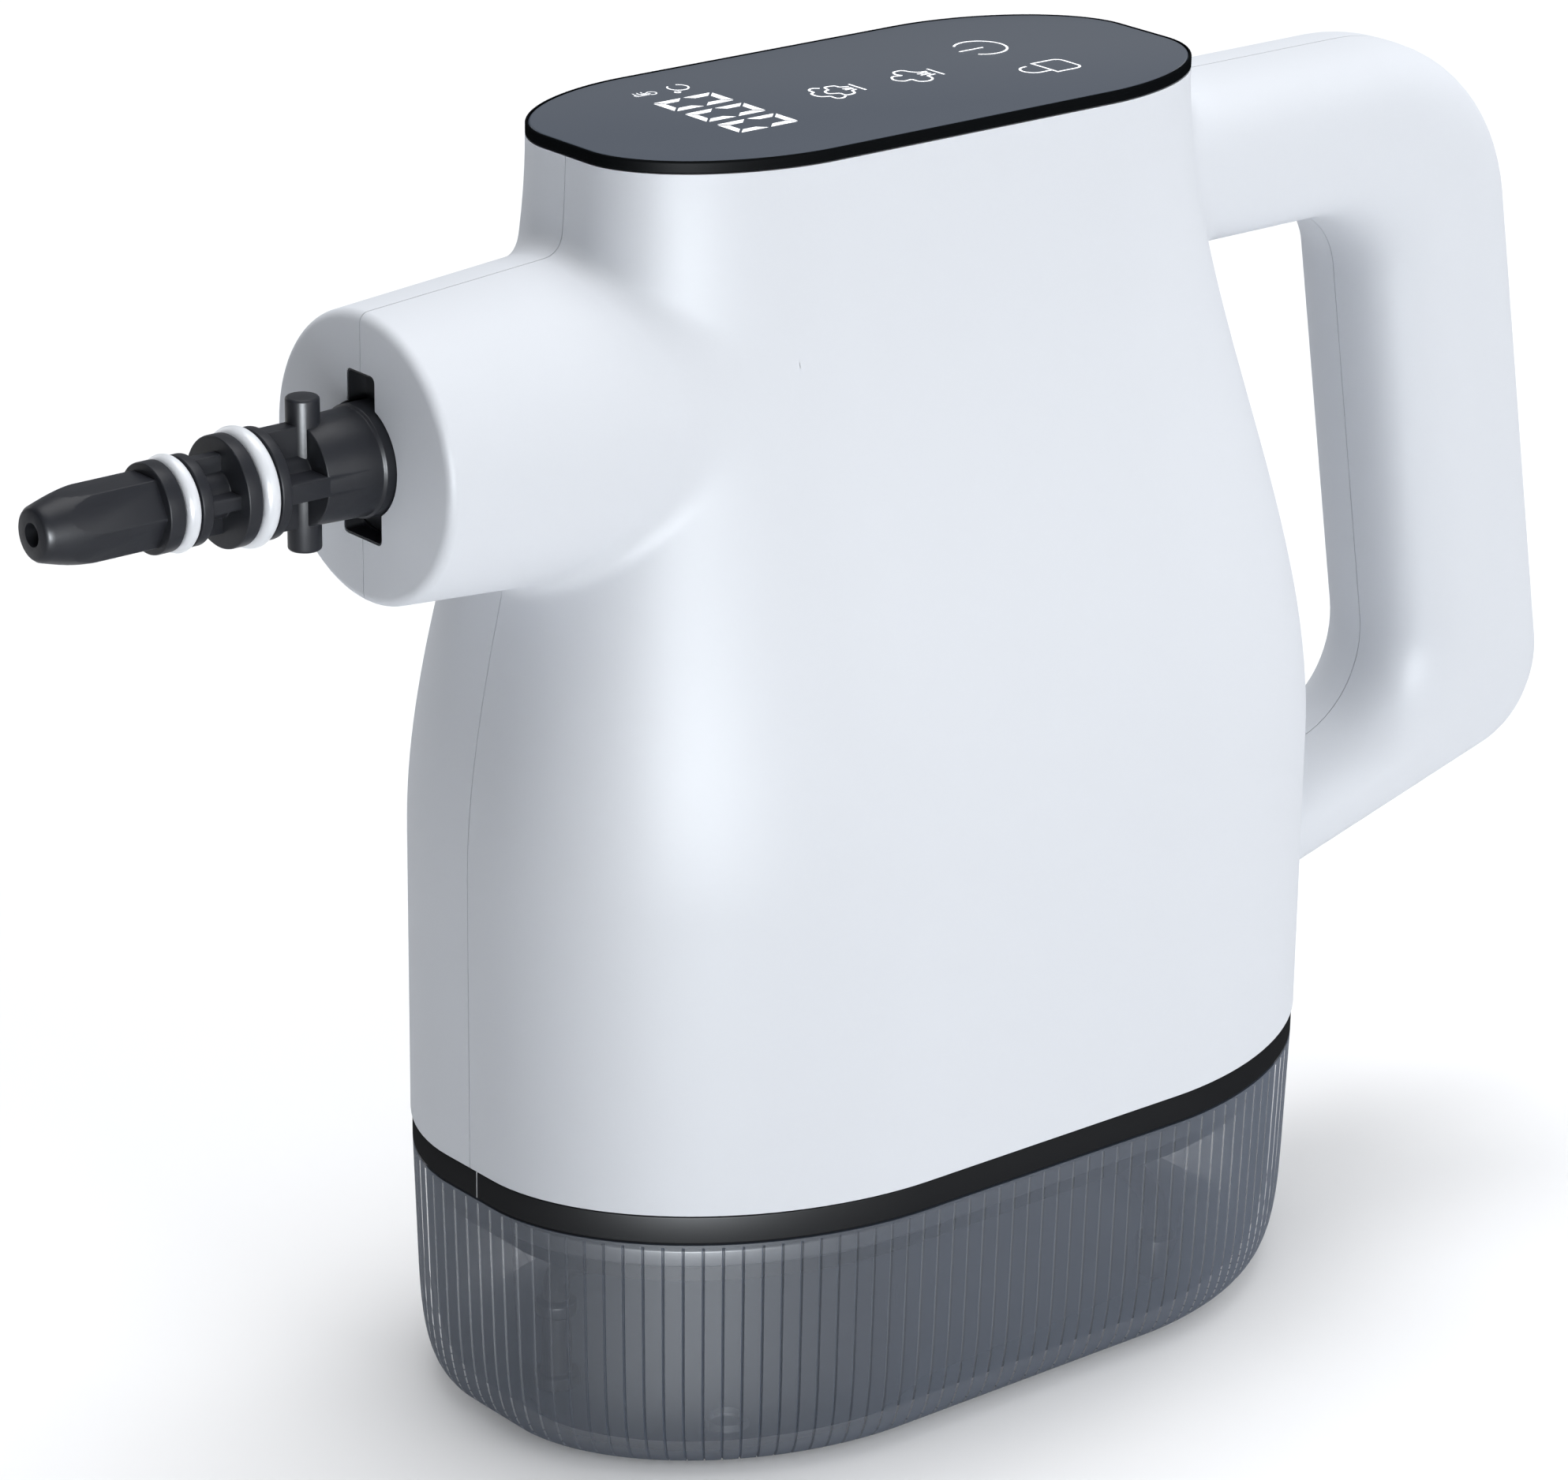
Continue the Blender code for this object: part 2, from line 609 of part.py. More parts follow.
def body_loft(name, inset, low, high):
    shoulder = BODY_LOW + SHOULDER_START_SHARE * BODY_HEIGHT
    heights = [low] + [mix(shoulder, high, level / BODY_LEVELS) for level in range(BODY_LEVELS + 1)]
    return skin(name, [at_height(body_outline(height, inset), height) for height in heights])


def hoop(name, profile, outline_of, finish_name=None):
    """Sweep a closed profile of (inset, height) round an outline."""
    rings = [at_height(outline_of(inset), height) for inset, height in profile]
    return skin(name, rings, finish_name, closed_path=True)


def base_outline(inset):
    return body_outline(BODY_LOW, inset)


def neck_outline(inset):
    return body_outline(BODY_TOP, inset)


def barrel_solid(name, inset, face_x):
    slope = (BARREL_ROOT_RADIUS - FACE_RADIUS) / (FACE_FORWARD - BARREL_ROOT_FORWARD)
    profile = [(-BARREL_ROOT_FORWARD, BARREL_ROOT_RADIUS - inset)]
    if inset:
        profile.append((face_x, FACE_RADIUS - inset + slope * (face_x - FACE_X)))
    else:
        for step in range(FILLET_STEPS + 1):
            angle = math.pi / 2 * step / FILLET_STEPS
            x = face_x + FACE_FILLET * (1 - math.sin(angle))
            profile.append((x, FACE_RADIUS - FACE_FILLET * (1 - math.cos(angle))))
    return move(turned(name, profile, BARREL_SEGMENTS), AXIS)


def rounded_path(points, roundings):
    """Path of (x, z) points through given corners, each turned with its own radius."""
    path = []
    start = Vector(points[0])
    for corner, following, radius in zip(points[1:], points[2:], roundings):
        corner = Vector(corner)
        arrive = (corner - start).normalized()
        leave = (Vector(following) - corner).normalized()
        turn = arrive.angle_signed(leave)
        reach = radius * math.tan(abs(turn) / 2)
        first = corner - arrive * reach
        for step in range(HANDLE_RUN_STEPS):
            path.append(start.lerp(first, step / HANDLE_RUN_STEPS))
        side = Vector((arrive.y, -arrive.x)) if turn > 0 else Vector((-arrive.y, arrive.x))
        centre = first + side * radius
        for step in range(HANDLE_ARC_STEPS):
            swing = -turn * step / HANDLE_ARC_STEPS
            path.append(centre + Matrix.Rotation(swing, 2) @ (first - centre))
        start = corner + leave * reach
    end = Vector(points[-1])
    for step in range(HANDLE_RUN_STEPS + 1):
        path.append(start.lerp(end, step / HANDLE_RUN_STEPS))
    return path


def handle_solid(name, inset):
    outer = rounded_path(
        (
            (HANDLE_ROOT_BACK, HANDLE_TOP),
            (HANDLE_TOP_BACK, HANDLE_TOP),
            (HANDLE_LOW_BACK, HANDLE_LOW),
            (HANDLE_FOOT_BACK, HANDLE_FOOT),
        ),
        (HANDLE_TOP_ROUNDING, HANDLE_LOW_ROUNDING),
    )
    inner = rounded_path(
        (
            (HANDLE_ROOT_BACK, GRIP_TOP),
            (GRIP_TOP_BACK, GRIP_TOP),
            (GRIP_LOW_BACK, GRIP_LOW),
            (GRIP_FOOT_BACK, GRIP_FOOT),
        ),
        (GRIP_TOP_ROUNDING, GRIP_LOW_ROUNDING),
    )
    half_width = HANDLE_HALF_WIDTH - inset
    rings = []
    for out, back in zip(outer, inner):
        middle = (out + back) / 2
        reach = (out - back) / 2
        depth = reach.length - inset
        direction = reach.normalized()
        ring = []
        for step in range(HANDLE_SIDES):
            angle = math.tau * (step + 0.5) / HANDLE_SIDES
            cosine = math.cos(angle)
            sine = math.sin(angle)
            over = math.copysign(abs(cosine) ** (2 / HANDLE_POWER), cosine) * depth
            side = math.copysign(abs(sine) ** (2 / HANDLE_POWER), sine) * half_width
            point = middle + direction * over
            ring.append((point.x, side, point.y))
        rings.append(ring)
    root = [(HANDLE_ROOT_BACK, y, z) for x, y, z in rings[-1]]
    rings.append(root)
    return skin(name, rings)


def across_box(name, x_low, x_high, z_low, z_high, half_width):
    return box(name, (x_low, -half_width, z_low), (x_high, half_width, z_high))


def shell_ribs():
    """Ribs and screw bosses, as columns that run right across the body."""
    wide = BASE_WIDTH
    ribs = []
    for x in (-MOUNT_SPREAD, MOUNT_SPREAD):
        ribs.append(
            across_box(
                "pump rib",
                x - RIB_THICKNESS / 2,
                x + RIB_THICKNESS / 2,
                BODY_LOW + RIB_START,
                PUMP_RIB_TOP,
                wide,
            )
        )
    for x in (-BOILER_RIB_FRONT, BOILER_RIB_BACK):
        ribs.append(
            across_box(
                "boiler rib",
                x - RIB_THICKNESS / 2,
                x + RIB_THICKNESS / 2,
                BOILER_RIB_FOOT,
                BOILER_RIB_TOP,
                wide,
            )
        )
    for z in (CONTROL_LOW + RAIL_HEIGHT, CONTROL_LOW + CONTROL_HEIGHT - RAIL_HEIGHT):
        for side in (-1, 1):
            inner = side * (CONTROL_WIDTH / 2 - CONTROL_GRIP)
            outer = side * wide
            front = CONTROL_BACK - RAIL_THICKNESS / 2
            back = CONTROL_BACK + RAIL_THICKNESS / 2
            low = (front, min(inner, outer), z)
            high = (back, max(inner, outer), z + RAIL_THICKNESS)
            ribs.append(box("board rail", low, high))
    holder_back = FACE_X + FACE_WALL + BACK_FLANGE_THICKNESS + HOLDER_THICKNESS + 3 * GAP
    ribs.append(
        across_box(
            "holder rib",
            holder_back,
            holder_back + HOLDER_RIB_THICKNESS,
            AXIS_HEIGHT - FACE_RADIUS - WALL,
            AXIS_HEIGHT + FACE_RADIUS + WALL,
            wide,
        )
    )
    for x, z in zip(SCREW_BACK, SCREW_HEIGHT):
        boss = rod("screw boss", SCREW_BOSS_RADIUS, (x, -wide, z), (x, wide, z), SCREW_SEGMENTS)
        ribs.append(boss)
    return ribs


def shell_rooms():
    """Air that the ribs leave for what they hold."""
    holder_back = FACE_X + FACE_WALL + BACK_FLANGE_THICKNESS + HOLDER_THICKNESS + 3 * GAP
    rooms = []
    for x in (-MOUNT_SPREAD, MOUNT_SPREAD):
        rooms.append(
            rod(
                "mount room",
                MOUNT_RADIUS + GAP,
                (x - MOUNT_LENGTH, 0, PUMP_HEIGHT),
                (x + MOUNT_LENGTH, 0, PUMP_HEIGHT),
                BARREL_SEGMENTS,
            )
        )
    rooms.append(
        across_box(
            "boiler room",
            -BOILER_FRONT - GAP,
            BOILER_REAR + GAP,
            BOILER_LOW - GAP,
            BOILER_RIB_TOP + OVERRUN,
            BOILER_WIDTH / 2 + GAP,
        )
    )
    rooms.append(
        across_box(
            "board room",
            CONTROL_BACK - BOARD_THICKNESS / 2 - GAP,
            CONTROL_BACK + BOARD_THICKNESS / 2 + GAP,
            CONTROL_LOW - GAP,
            CONTROL_LOW + CONTROL_HEIGHT + GAP,
            CONTROL_WIDTH / 2 + GAP,
        )
    )
    rooms.append(
        rod(
            "tail room",
            TAIL_RADIUS + 2 * GAP,
            (holder_back - OVERRUN / 2, 0, AXIS_HEIGHT),
            (holder_back + HOLDER_RIB_THICKNESS + OVERRUN, 0, AXIS_HEIGHT),
            SPOUT_SEGMENTS,
        )
    )
    return rooms


def latch_window():
    """Opening in the body's back wall round the latch's upper half."""
    return box(
        "latch window",
        (LATCH_FRONT - LATCH_ROOM, -LATCH_WIDTH / 2 - POCKET_CLEARANCE, BODY_LOW - OVERRUN),
        (
            BASE_LENGTH / 2 + OVERRUN,
            LATCH_WIDTH / 2 + POCKET_CLEARANCE,
            LATCH_PIVOT_HEIGHT + LATCH_ABOVE + 2 * POCKET_CLEARANCE,
        ),
    )


def build_shells(parent):
    solid = body_loft("outer", 0, BODY_LOW, BODY_TOP)
    join(solid, barrel_solid("barrel", 0, FACE_X), handle_solid("handle", 0))
    hollow = body_loft("cavity", WALL, BODY_LOW - OVERRUN, BODY_TOP + OVERRUN)
    join(
        hollow,
        barrel_solid("barrel hollow", WALL, FACE_X + FACE_WALL),
        handle_solid("handle hollow", WALL),
    )
    cut(hollow, *shell_ribs())
    join(hollow, *shell_rooms())
    cut(solid, hollow)
    slots = (
        (SLOT_TOP_WIDTH, AXIS_HEIGHT, AXIS_HEIGHT + SLOT_TOP_REACH),
        (SLOT_BOTTOM_WIDTH, AXIS_HEIGHT - SLOT_BOTTOM_REACH, AXIS_HEIGHT),
    )
    front = FACE_X - OVERRUN
    back = FACE_X + FACE_WALL + OVERRUN / 2
    for width, low, high in slots:
        cut(solid, across_box("slot", front, back, low, high, width / 2))
    cut(
        solid,
        rod(
            "face hole",
            COLLAR_RADIUS + FACE_HOLE_CLEARANCE,
            (front, 0, AXIS_HEIGHT),
            (back, 0, AXIS_HEIGHT),
            BARREL_SEGMENTS,
        ),
        latch_window(),
        *gland_cutters(),
    )
    reach = 2 * BASE_LENGTH
    left = copy_of(solid, "shell_left")
    right = solid
    right.name = "shell_right"
    right.data.name = "shell_right"
    cut(left, box("far side", (-reach, -GAP / 2, -reach), (reach, reach, reach)))
    cut(right, box("near side", (-reach, -reach, -reach), (reach, GAP / 2, reach)))
    for x, z in zip(SCREW_BACK, SCREW_HEIGHT):
        hole = SCREW_RADIUS + GAP
        cut(left, rod("pilot", hole, (x, -SCREW_REACH - GAP, z), (x, OVERRUN, z), SCREW_SEGMENTS))
        cut(
            right,
            rod("clearance", hole, (x, -OVERRUN, z), (x, BASE_WIDTH, z), SCREW_SEGMENTS),
            rod(
                "head recess",
                SCREW_HEAD_RADIUS + GAP,
                (x, SCREW_SEAT, z),
                (x, BASE_WIDTH, z),
                SCREW_SEGMENTS,
            ),
        )
    for shell in (left, right):
        shell.data.materials.clear()
        shell.data.materials.append(finish("white_shell"))
        set_origin(shell, (0, 0, BODY_LOW), parent)


def build_shell_screws(parent):
    for number, (x, z) in enumerate(zip(SCREW_BACK, SCREW_HEIGHT), start=1):
        seat = SCREW_SEAT + GAP
        top = seat + SCREW_HEAD_HEIGHT
        name = f"shell_screw_{number}"
        screw = rod(name, SCREW_RADIUS, (x, -SCREW_REACH, z), (x, seat + GAP, z), SCREW_SEGMENTS)
        join(screw, rod("head", SCREW_HEAD_RADIUS, (x, seat, z), (x, top, z), SCREW_SEGMENTS))
        screw.data.materials.clear()
        screw.data.materials.append(finish("steel"))
        set_origin(screw, (x, 0, z), parent)


def build_panel(parent):
    skirt_inset = WALL + GAP
    trim = hoop(
        "panel_trim",
        (
            (0, TRIM_LOW),
            (0, TRIM_LOW + TRIM_HEIGHT - TRIM_BEVEL),
            (TRIM_BEVEL, TRIM_LOW + TRIM_HEIGHT),
            (PANEL_SETBACK, TRIM_LOW + TRIM_HEIGHT),
            (PANEL_SETBACK, TRIM_SEAT),
            (skirt_inset + TRIM_LEDGE, TRIM_SEAT),
            (skirt_inset + TRIM_LEDGE, TRIM_LOW - BOARD_THICKNESS),
            (skirt_inset + TRIM_SKIRT_THICKNESS, TRIM_LOW - BOARD_THICKNESS),
            (skirt_inset + TRIM_SKIRT_THICKNESS, TRIM_LOW - TRIM_SKIRT),
            (skirt_inset, TRIM_LOW - TRIM_SKIRT),
            (skirt_inset, TRIM_LOW),
        ),
        neck_outline,
        "black_trim",
    )
    set_origin(trim, (0, 0, TRIM_LOW), parent)
    inset = PANEL_SETBACK + GAP
    top = PANEL_LOW + PANEL_THICKNESS
    panel = skin(
        "touch_panel",
        [at_height(neck_outline(inset), PANEL_LOW), at_height(neck_outline(inset), top)],
        "slate_panel",
    )
    set_origin(panel, (0, 0, PANEL_LOW), parent)
    display_high = PANEL_LOW - GAP
    display = box(
        "display_module",
        (-DISPLAY_FORWARD - DISPLAY_LENGTH / 2, -DISPLAY_WIDTH / 2, display_high - DISPLAY_HEIGHT),
        (-DISPLAY_FORWARD + DISPLAY_LENGTH / 2, DISPLAY_WIDTH / 2, display_high),
        "black_plastic",
    )
    set_origin(display, (-DISPLAY_FORWARD, 0, display_high), parent)
    board_high = min(display_high - DISPLAY_HEIGHT, TRIM_LOW - BOARD_THICKNESS) - GAP
    board_inset = skirt_inset + TRIM_SKIRT_THICKNESS + GAP
    board = skin(
        "touch_board",
        [
            at_height(neck_outline(board_inset), board_high - BOARD_THICKNESS),
            at_height(neck_outline(board_inset), board_high),
        ],
        "circuit_green",
    )
    set_origin(board, (0, 0, board_high), parent)


def floor_bore(x, y, radius):
    low = FLOOR_LOW - SKIRT_DEPTH
    high = BAND_TOP + SKIRT_DEPTH
    return rod("bore", radius, (x, y, low), (x, y, high), SCREW_SEGMENTS)


def build_base_frame(parent):
    band = base_outline(BAND_SETBACK)
    frame = skin("base_frame", [at_height(band, BAND_LOW), at_height(band, BAND_TOP)])
    mouth = BAND_SETBACK + TANK_WALL + 2 * GAP + GASKET_THICKNESS + GAP
    cut(
        frame,
        skin(
            "under floor",
            [
                at_height(base_outline(mouth + SKIRT_THICKNESS), BAND_LOW - OVERRUN),
                at_height(base_outline(mouth + SKIRT_THICKNESS), FLOOR_LOW),
            ],
        ),
    )
    join(
        frame,
        hoop(
            "rim",
            (
                (WALL + GAP, FLOOR_LOW),
                (WALL + GAP, BAND_TOP + RIM_HEIGHT),
                (WALL + GAP + RIM_THICKNESS, BAND_TOP + RIM_HEIGHT),
                (WALL + GAP + RIM_THICKNESS, FLOOR_LOW),
            ),
            base_outline,
        ),
        hoop(
            "skirt",
            (
                (mouth, BAND_LOW - SKIRT_DEPTH),
                (mouth, FLOOR_LOW),
                (mouth + SKIRT_THICKNESS, FLOOR_LOW + GAP),
                (mouth + SKIRT_THICKNESS, BAND_LOW - SKIRT_DEPTH),
            ),
            base_outline,
        ),
    )
    for x, y in ((-SUCTION_FORWARD, -SUCTION_SIDE), (RETURN_BACK, -RETURN_SIDE)):
        barb = rod(
            "barb",
            HOSE_BARB_RADIUS,
            (x, y, FLOOR_LOW - HOSE_BARB_LENGTH),
            (x, y, BAND_TOP + HOSE_BARB_LENGTH),
            SCREW_SEGMENTS,
        )
        join(frame, barb)
        cut(frame, floor_bore(x, y, HOSE_BARB_BORE))
    # Room for the latch: the rim and the skirt stop beside it, and two lugs carry its pin.
    half_room = LATCH_WIDTH / 2 + POCKET_CLEARANCE
    back = BASE_LENGTH / 2
    pocket_front = LATCH_FRONT - POCKET_CLEARANCE
    room_front = LATCH_PIN_BACK - LATCH_EYE_RADIUS - POCKET_CLEARANCE
    cut(
        frame,
        box(
            "latch room",
            (room_front, -half_room, BAND_LOW - OVERRUN),
            (back + OVERRUN, half_room, BAND_TOP + RIM_HEIGHT + OVERRUN),
        ),
        box(
            "pocket room",
            (
                pocket_front - POCKET_WALL - POCKET_CLEARANCE,
                -half_room - POCKET_WALL - POCKET_CLEARANCE,
                BAND_LOW - SKIRT_DEPTH - OVERRUN,
            ),
            (back + OVERRUN, half_room + POCKET_WALL + POCKET_CLEARANCE, BAND_LOW),
        ),
    )
    for side in (-1, 1):
        inner = side * (LATCH_EYE_WIDTH / 2 + GAP)
        outer = inner + side * LATCH_LUG_WIDTH
        lug = box(
            "lug",
            (room_front - LATCH_LUG_WIDTH, min(inner, outer), BAND_LOW),
            (LATCH_FRONT - GAP, max(inner, outer), BAND_TOP),
        )
        join(frame, lug)
    pin_x = LATCH_PIN_BACK
    pin_room = LATCH_EYE_WIDTH / 2 + GAP + LATCH_LUG_WIDTH + OVERRUN / 4
    cut(
        frame,
        rod(
            "pin hole",
            LATCH_PIN_RADIUS + LATCH_PIN_CLEARANCE,
            (pin_x, -pin_room, LATCH_PIVOT_HEIGHT),
            (pin_x, pin_room, LATCH_PIVOT_HEIGHT),
            SPOUT_SEGMENTS,
        ),
    )
    frame.data.materials.clear()
    frame.data.materials.append(finish("black_trim"))
    set_origin(frame, (0, 0, BAND_LOW), parent)
    gasket_out = BAND_SETBACK + TANK_WALL + 2 * GAP
    gasket_high = BAND_LOW - GASKET_DEPTH
    gasket = hoop(
        "tank_gasket",
        (
            (gasket_out, gasket_high - GASKET_HEIGHT),
            (gasket_out, gasket_high),
            (gasket_out + GASKET_THICKNESS, gasket_high),
            (gasket_out + GASKET_THICKNESS, gasket_high - GASKET_HEIGHT),
        ),
        base_outline,
    )
    cut(
        gasket,
        box(
            "pocket room",
            (
                pocket_front - POCKET_WALL - POCKET_CLEARANCE,
                -half_room - POCKET_WALL - POCKET_CLEARANCE,
                gasket_high - GASKET_HEIGHT - OVERRUN,
            ),
            (back + OVERRUN, half_room + POCKET_WALL + POCKET_CLEARANCE, BAND_LOW),
        ),
    )
    gasket.data.materials.clear()
    gasket.data.materials.append(finish("grey_silicone"))
    set_origin(gasket, (0, 0, gasket_high), parent)


def heel_inset(height):
    """How far the tank's wall has turned in at a height above its underside."""
    if height >= TANK_HEEL_HEIGHT:
        return 0
    fall = 1 - height / TANK_HEEL_HEIGHT
    return TANK_HEEL_INSET * (1 - (1 - fall**HEEL_FALL_POWER) ** (1 / HEEL_SIDE_POWER))


def tank_loft(name, wall, low, high):
    """Outside of the tank, or the room in it when a wall is given."""
    heights = [low]
    for step in reversed(range(HEEL_STEPS + 1)):
        height = TANK_HEEL_HEIGHT * (1 - math.sin(math.pi / 2 * step / HEEL_STEPS))
        if height > low + GAP:
            heights.append(height)
    heights.append(high)
    rings = []
    for height in heights:
        above = height - low if wall else height
        share = max(0, min(1, 1 - height / TANK_HEIGHT))
        inset = BAND_SETBACK + wall + TANK_DRAFT * share + heel_inset(max(0, above))
        rings.append(at_height(base_outline(inset), height))
    return skin(name, rings)


def foot_outline(inset):
    return base_outline(TANK_FLAT_INSET + inset)


def foot_pad(name, end_x, growth):
    """Curved pad that follows the underside's edge round one end of the tank."""
    profile = (
        (FOOT_INSET - growth, 0 if growth == 0 else -OVERRUN),
        (FOOT_INSET - growth, FOOT_THICKNESS + growth),
        (FOOT_INSET + FOOT_WIDTH + growth, FOOT_THICKNESS + growth),
        (FOOT_INSET + FOOT_WIDTH + growth, 0 if growth == 0 else -OVERRUN),
    )
    pad = hoop(name, profile, foot_outline, "dark_rubber")
    reach = BASE_LENGTH
    side = math.copysign(1, end_x)
    stop = end_x - side * growth
    low = (-reach, -reach, -reach) if side > 0 else (stop, -reach, -reach)
    high = (stop, reach, reach) if side > 0 else (reach, reach, reach)
    cut(pad, box("other end", low, high))
    return pad


def build_tank(parent):
    tank = tank_loft("water_tank", 0, 0, TANK_HEIGHT)
    half_room = LATCH_WIDTH / 2 + POCKET_CLEARANCE
    pocket_front = LATCH_FRONT - POCKET_CLEARANCE
    pocket_low = LATCH_PIVOT_HEIGHT - LATCH_BELOW - POCKET_CLEARANCE
    hollow = tank_loft("water", TANK_WALL, TANK_WALL, TANK_HEIGHT + OVERRUN)
    cut(
        hollow,
        box(
            "pocket wall",
            (pocket_front - POCKET_WALL, -half_room - POCKET_WALL, pocket_low - POCKET_WALL),
            (BASE_LENGTH, half_room + POCKET_WALL, TANK_HEIGHT + 2 * OVERRUN),
        ),
    )
    ring_place = (-BOSS_RING_FORWARD, -BOSS_RING_SIDE)
    ring = rod(
        "boss ring",
        BOSS_RING_RADIUS,
        (*ring_place, TANK_WALL / 2),
        (*ring_place, TANK_WALL + BOSS_RING_HEIGHT),
        SPOUT_SEGMENTS,
    )
    cut(
        ring,
        rod(
            "boss ring bore",
            BOSS_RING_RADIUS - BOSS_RING_WALL,
            (*ring_place, 0),
            (*ring_place, TANK_WALL + BOSS_RING_HEIGHT + OVERRUN),
            SPOUT_SEGMENTS,
        ),
    )
    cut(hollow, ring)
    cut(tank, hollow)
    cut(
        tank,
        box(
            "latch pocket",
            (pocket_front, -half_room, pocket_low),
            (BASE_LENGTH, half_room, TANK_HEIGHT + OVERRUN),
        ),
    )
    for end_x in (-FOOT_GAP_FRONT, FOOT_GAP_FRONT):
        cut(tank, foot_pad("foot recess", end_x, GAP))
    tank.data.materials.clear()
    tank.data.materials.append(finish("smoky_tank"))
    set_origin(tank, (0, 0, TANK_HEIGHT), parent)
    for name, end_x in (("foot_front", -FOOT_GAP_FRONT), ("foot_rear", FOOT_GAP_FRONT)):
        pad = foot_pad(name, end_x, 0)
        pad.data.materials.clear()
        pad.data.materials.append(finish("dark_rubber"))
        set_origin(pad, (end_x, 0, 0), parent)


def build_latch(cleaner, parent):
    front = LATCH_FRONT
    latch = box(
        "tank_latch",
        (front, -LATCH_WIDTH / 2, LATCH_PIVOT_HEIGHT - LATCH_BELOW),
        (front + LATCH_THICKNESS, LATCH_WIDTH / 2, LATCH_PIVOT_HEIGHT + LATCH_ABOVE),
        rounding=LATCH_ROUNDING,
    )
    pin_x = LATCH_PIN_BACK
    eye = rod(
        "eye",
        LATCH_EYE_RADIUS,
        (pin_x, -LATCH_EYE_WIDTH / 2, LATCH_PIVOT_HEIGHT),
        (pin_x, LATCH_EYE_WIDTH / 2, LATCH_PIVOT_HEIGHT),
        SPOUT_SEGMENTS,
    )
    web = box(
        "web",
        (pin_x, -LATCH_EYE_WIDTH / 2, LATCH_PIVOT_HEIGHT - LATCH_EYE_RADIUS),
        (front + LATCH_THICKNESS / 2, LATCH_EYE_WIDTH / 2, LATCH_PIVOT_HEIGHT + LATCH_EYE_RADIUS),
    )
    join(latch, eye, web)
    hole = LATCH_PIN_RADIUS + LATCH_PIN_CLEARANCE
    cut(
        latch,
        rod(
            "pin hole",
            hole,
            (pin_x, -LATCH_WIDTH, LATCH_PIVOT_HEIGHT),
            (pin_x, LATCH_WIDTH, LATCH_PIVOT_HEIGHT),
            SPOUT_SEGMENTS,
        ),
    )
    latch.data.materials.clear()
    latch.data.materials.append(finish("black_plastic"))
    set_origin(latch, (pin_x, 0, LATCH_PIVOT_HEIGHT), parent)
    reach = LATCH_EYE_WIDTH / 2 + GAP + LATCH_LUG_WIDTH
    pin = rod(
        "latch_pin",
        LATCH_PIN_RADIUS,
        (pin_x, -reach, LATCH_PIVOT_HEIGHT),
        (pin_x, reach, LATCH_PIVOT_HEIGHT),
        SPOUT_SEGMENTS,
        "steel",
    )
    set_origin(pin, (pin_x, 0, LATCH_PIVOT_HEIGHT), cleaner)


def crossed_ribs(start_x, length, reach, width):
    """One flat and one upright rib along the spout, let a little into the discs at their ends."""
    front = start_x - TRIM_BEVEL
    back = start_x + length + TRIM_BEVEL
    half = width / 2
    flat = box("flat rib", (front, -reach, -half), (back, reach, half))
    upright = box("upright rib", (front, -half, -reach), (back, half, reach))
    return flat, upright


def spout_stations():
    """Where the spout's sections start along X, from tip to tail; the barrel's face is at 0."""
    runs = (
        ("cone", TIP_CONE_LENGTH),
        ("hex", HEX_LENGTH),
        ("small_front", SMALL_DISC_FRONT),
        ("small_groove", SMALL_GROOVE_WIDTH),
        ("small_rear", SMALL_DISC_REAR),
        ("neck", NECK_RUN),
        ("large_front", LARGE_DISC_FRONT),
        ("large_groove", LARGE_GROOVE_WIDTH),
        ("large_rear", LARGE_DISC_REAR),
        ("cage", CAGE_RUN),
    )
    stations = {}
    x = -SPOUT_LENGTH
    for section, length in runs:
        stations[section] = x
        x += length
    stations["sleeve"] = x
    stations["collar"] = -GAP
    stations["flange"] = FACE_WALL + GAP
    return stations


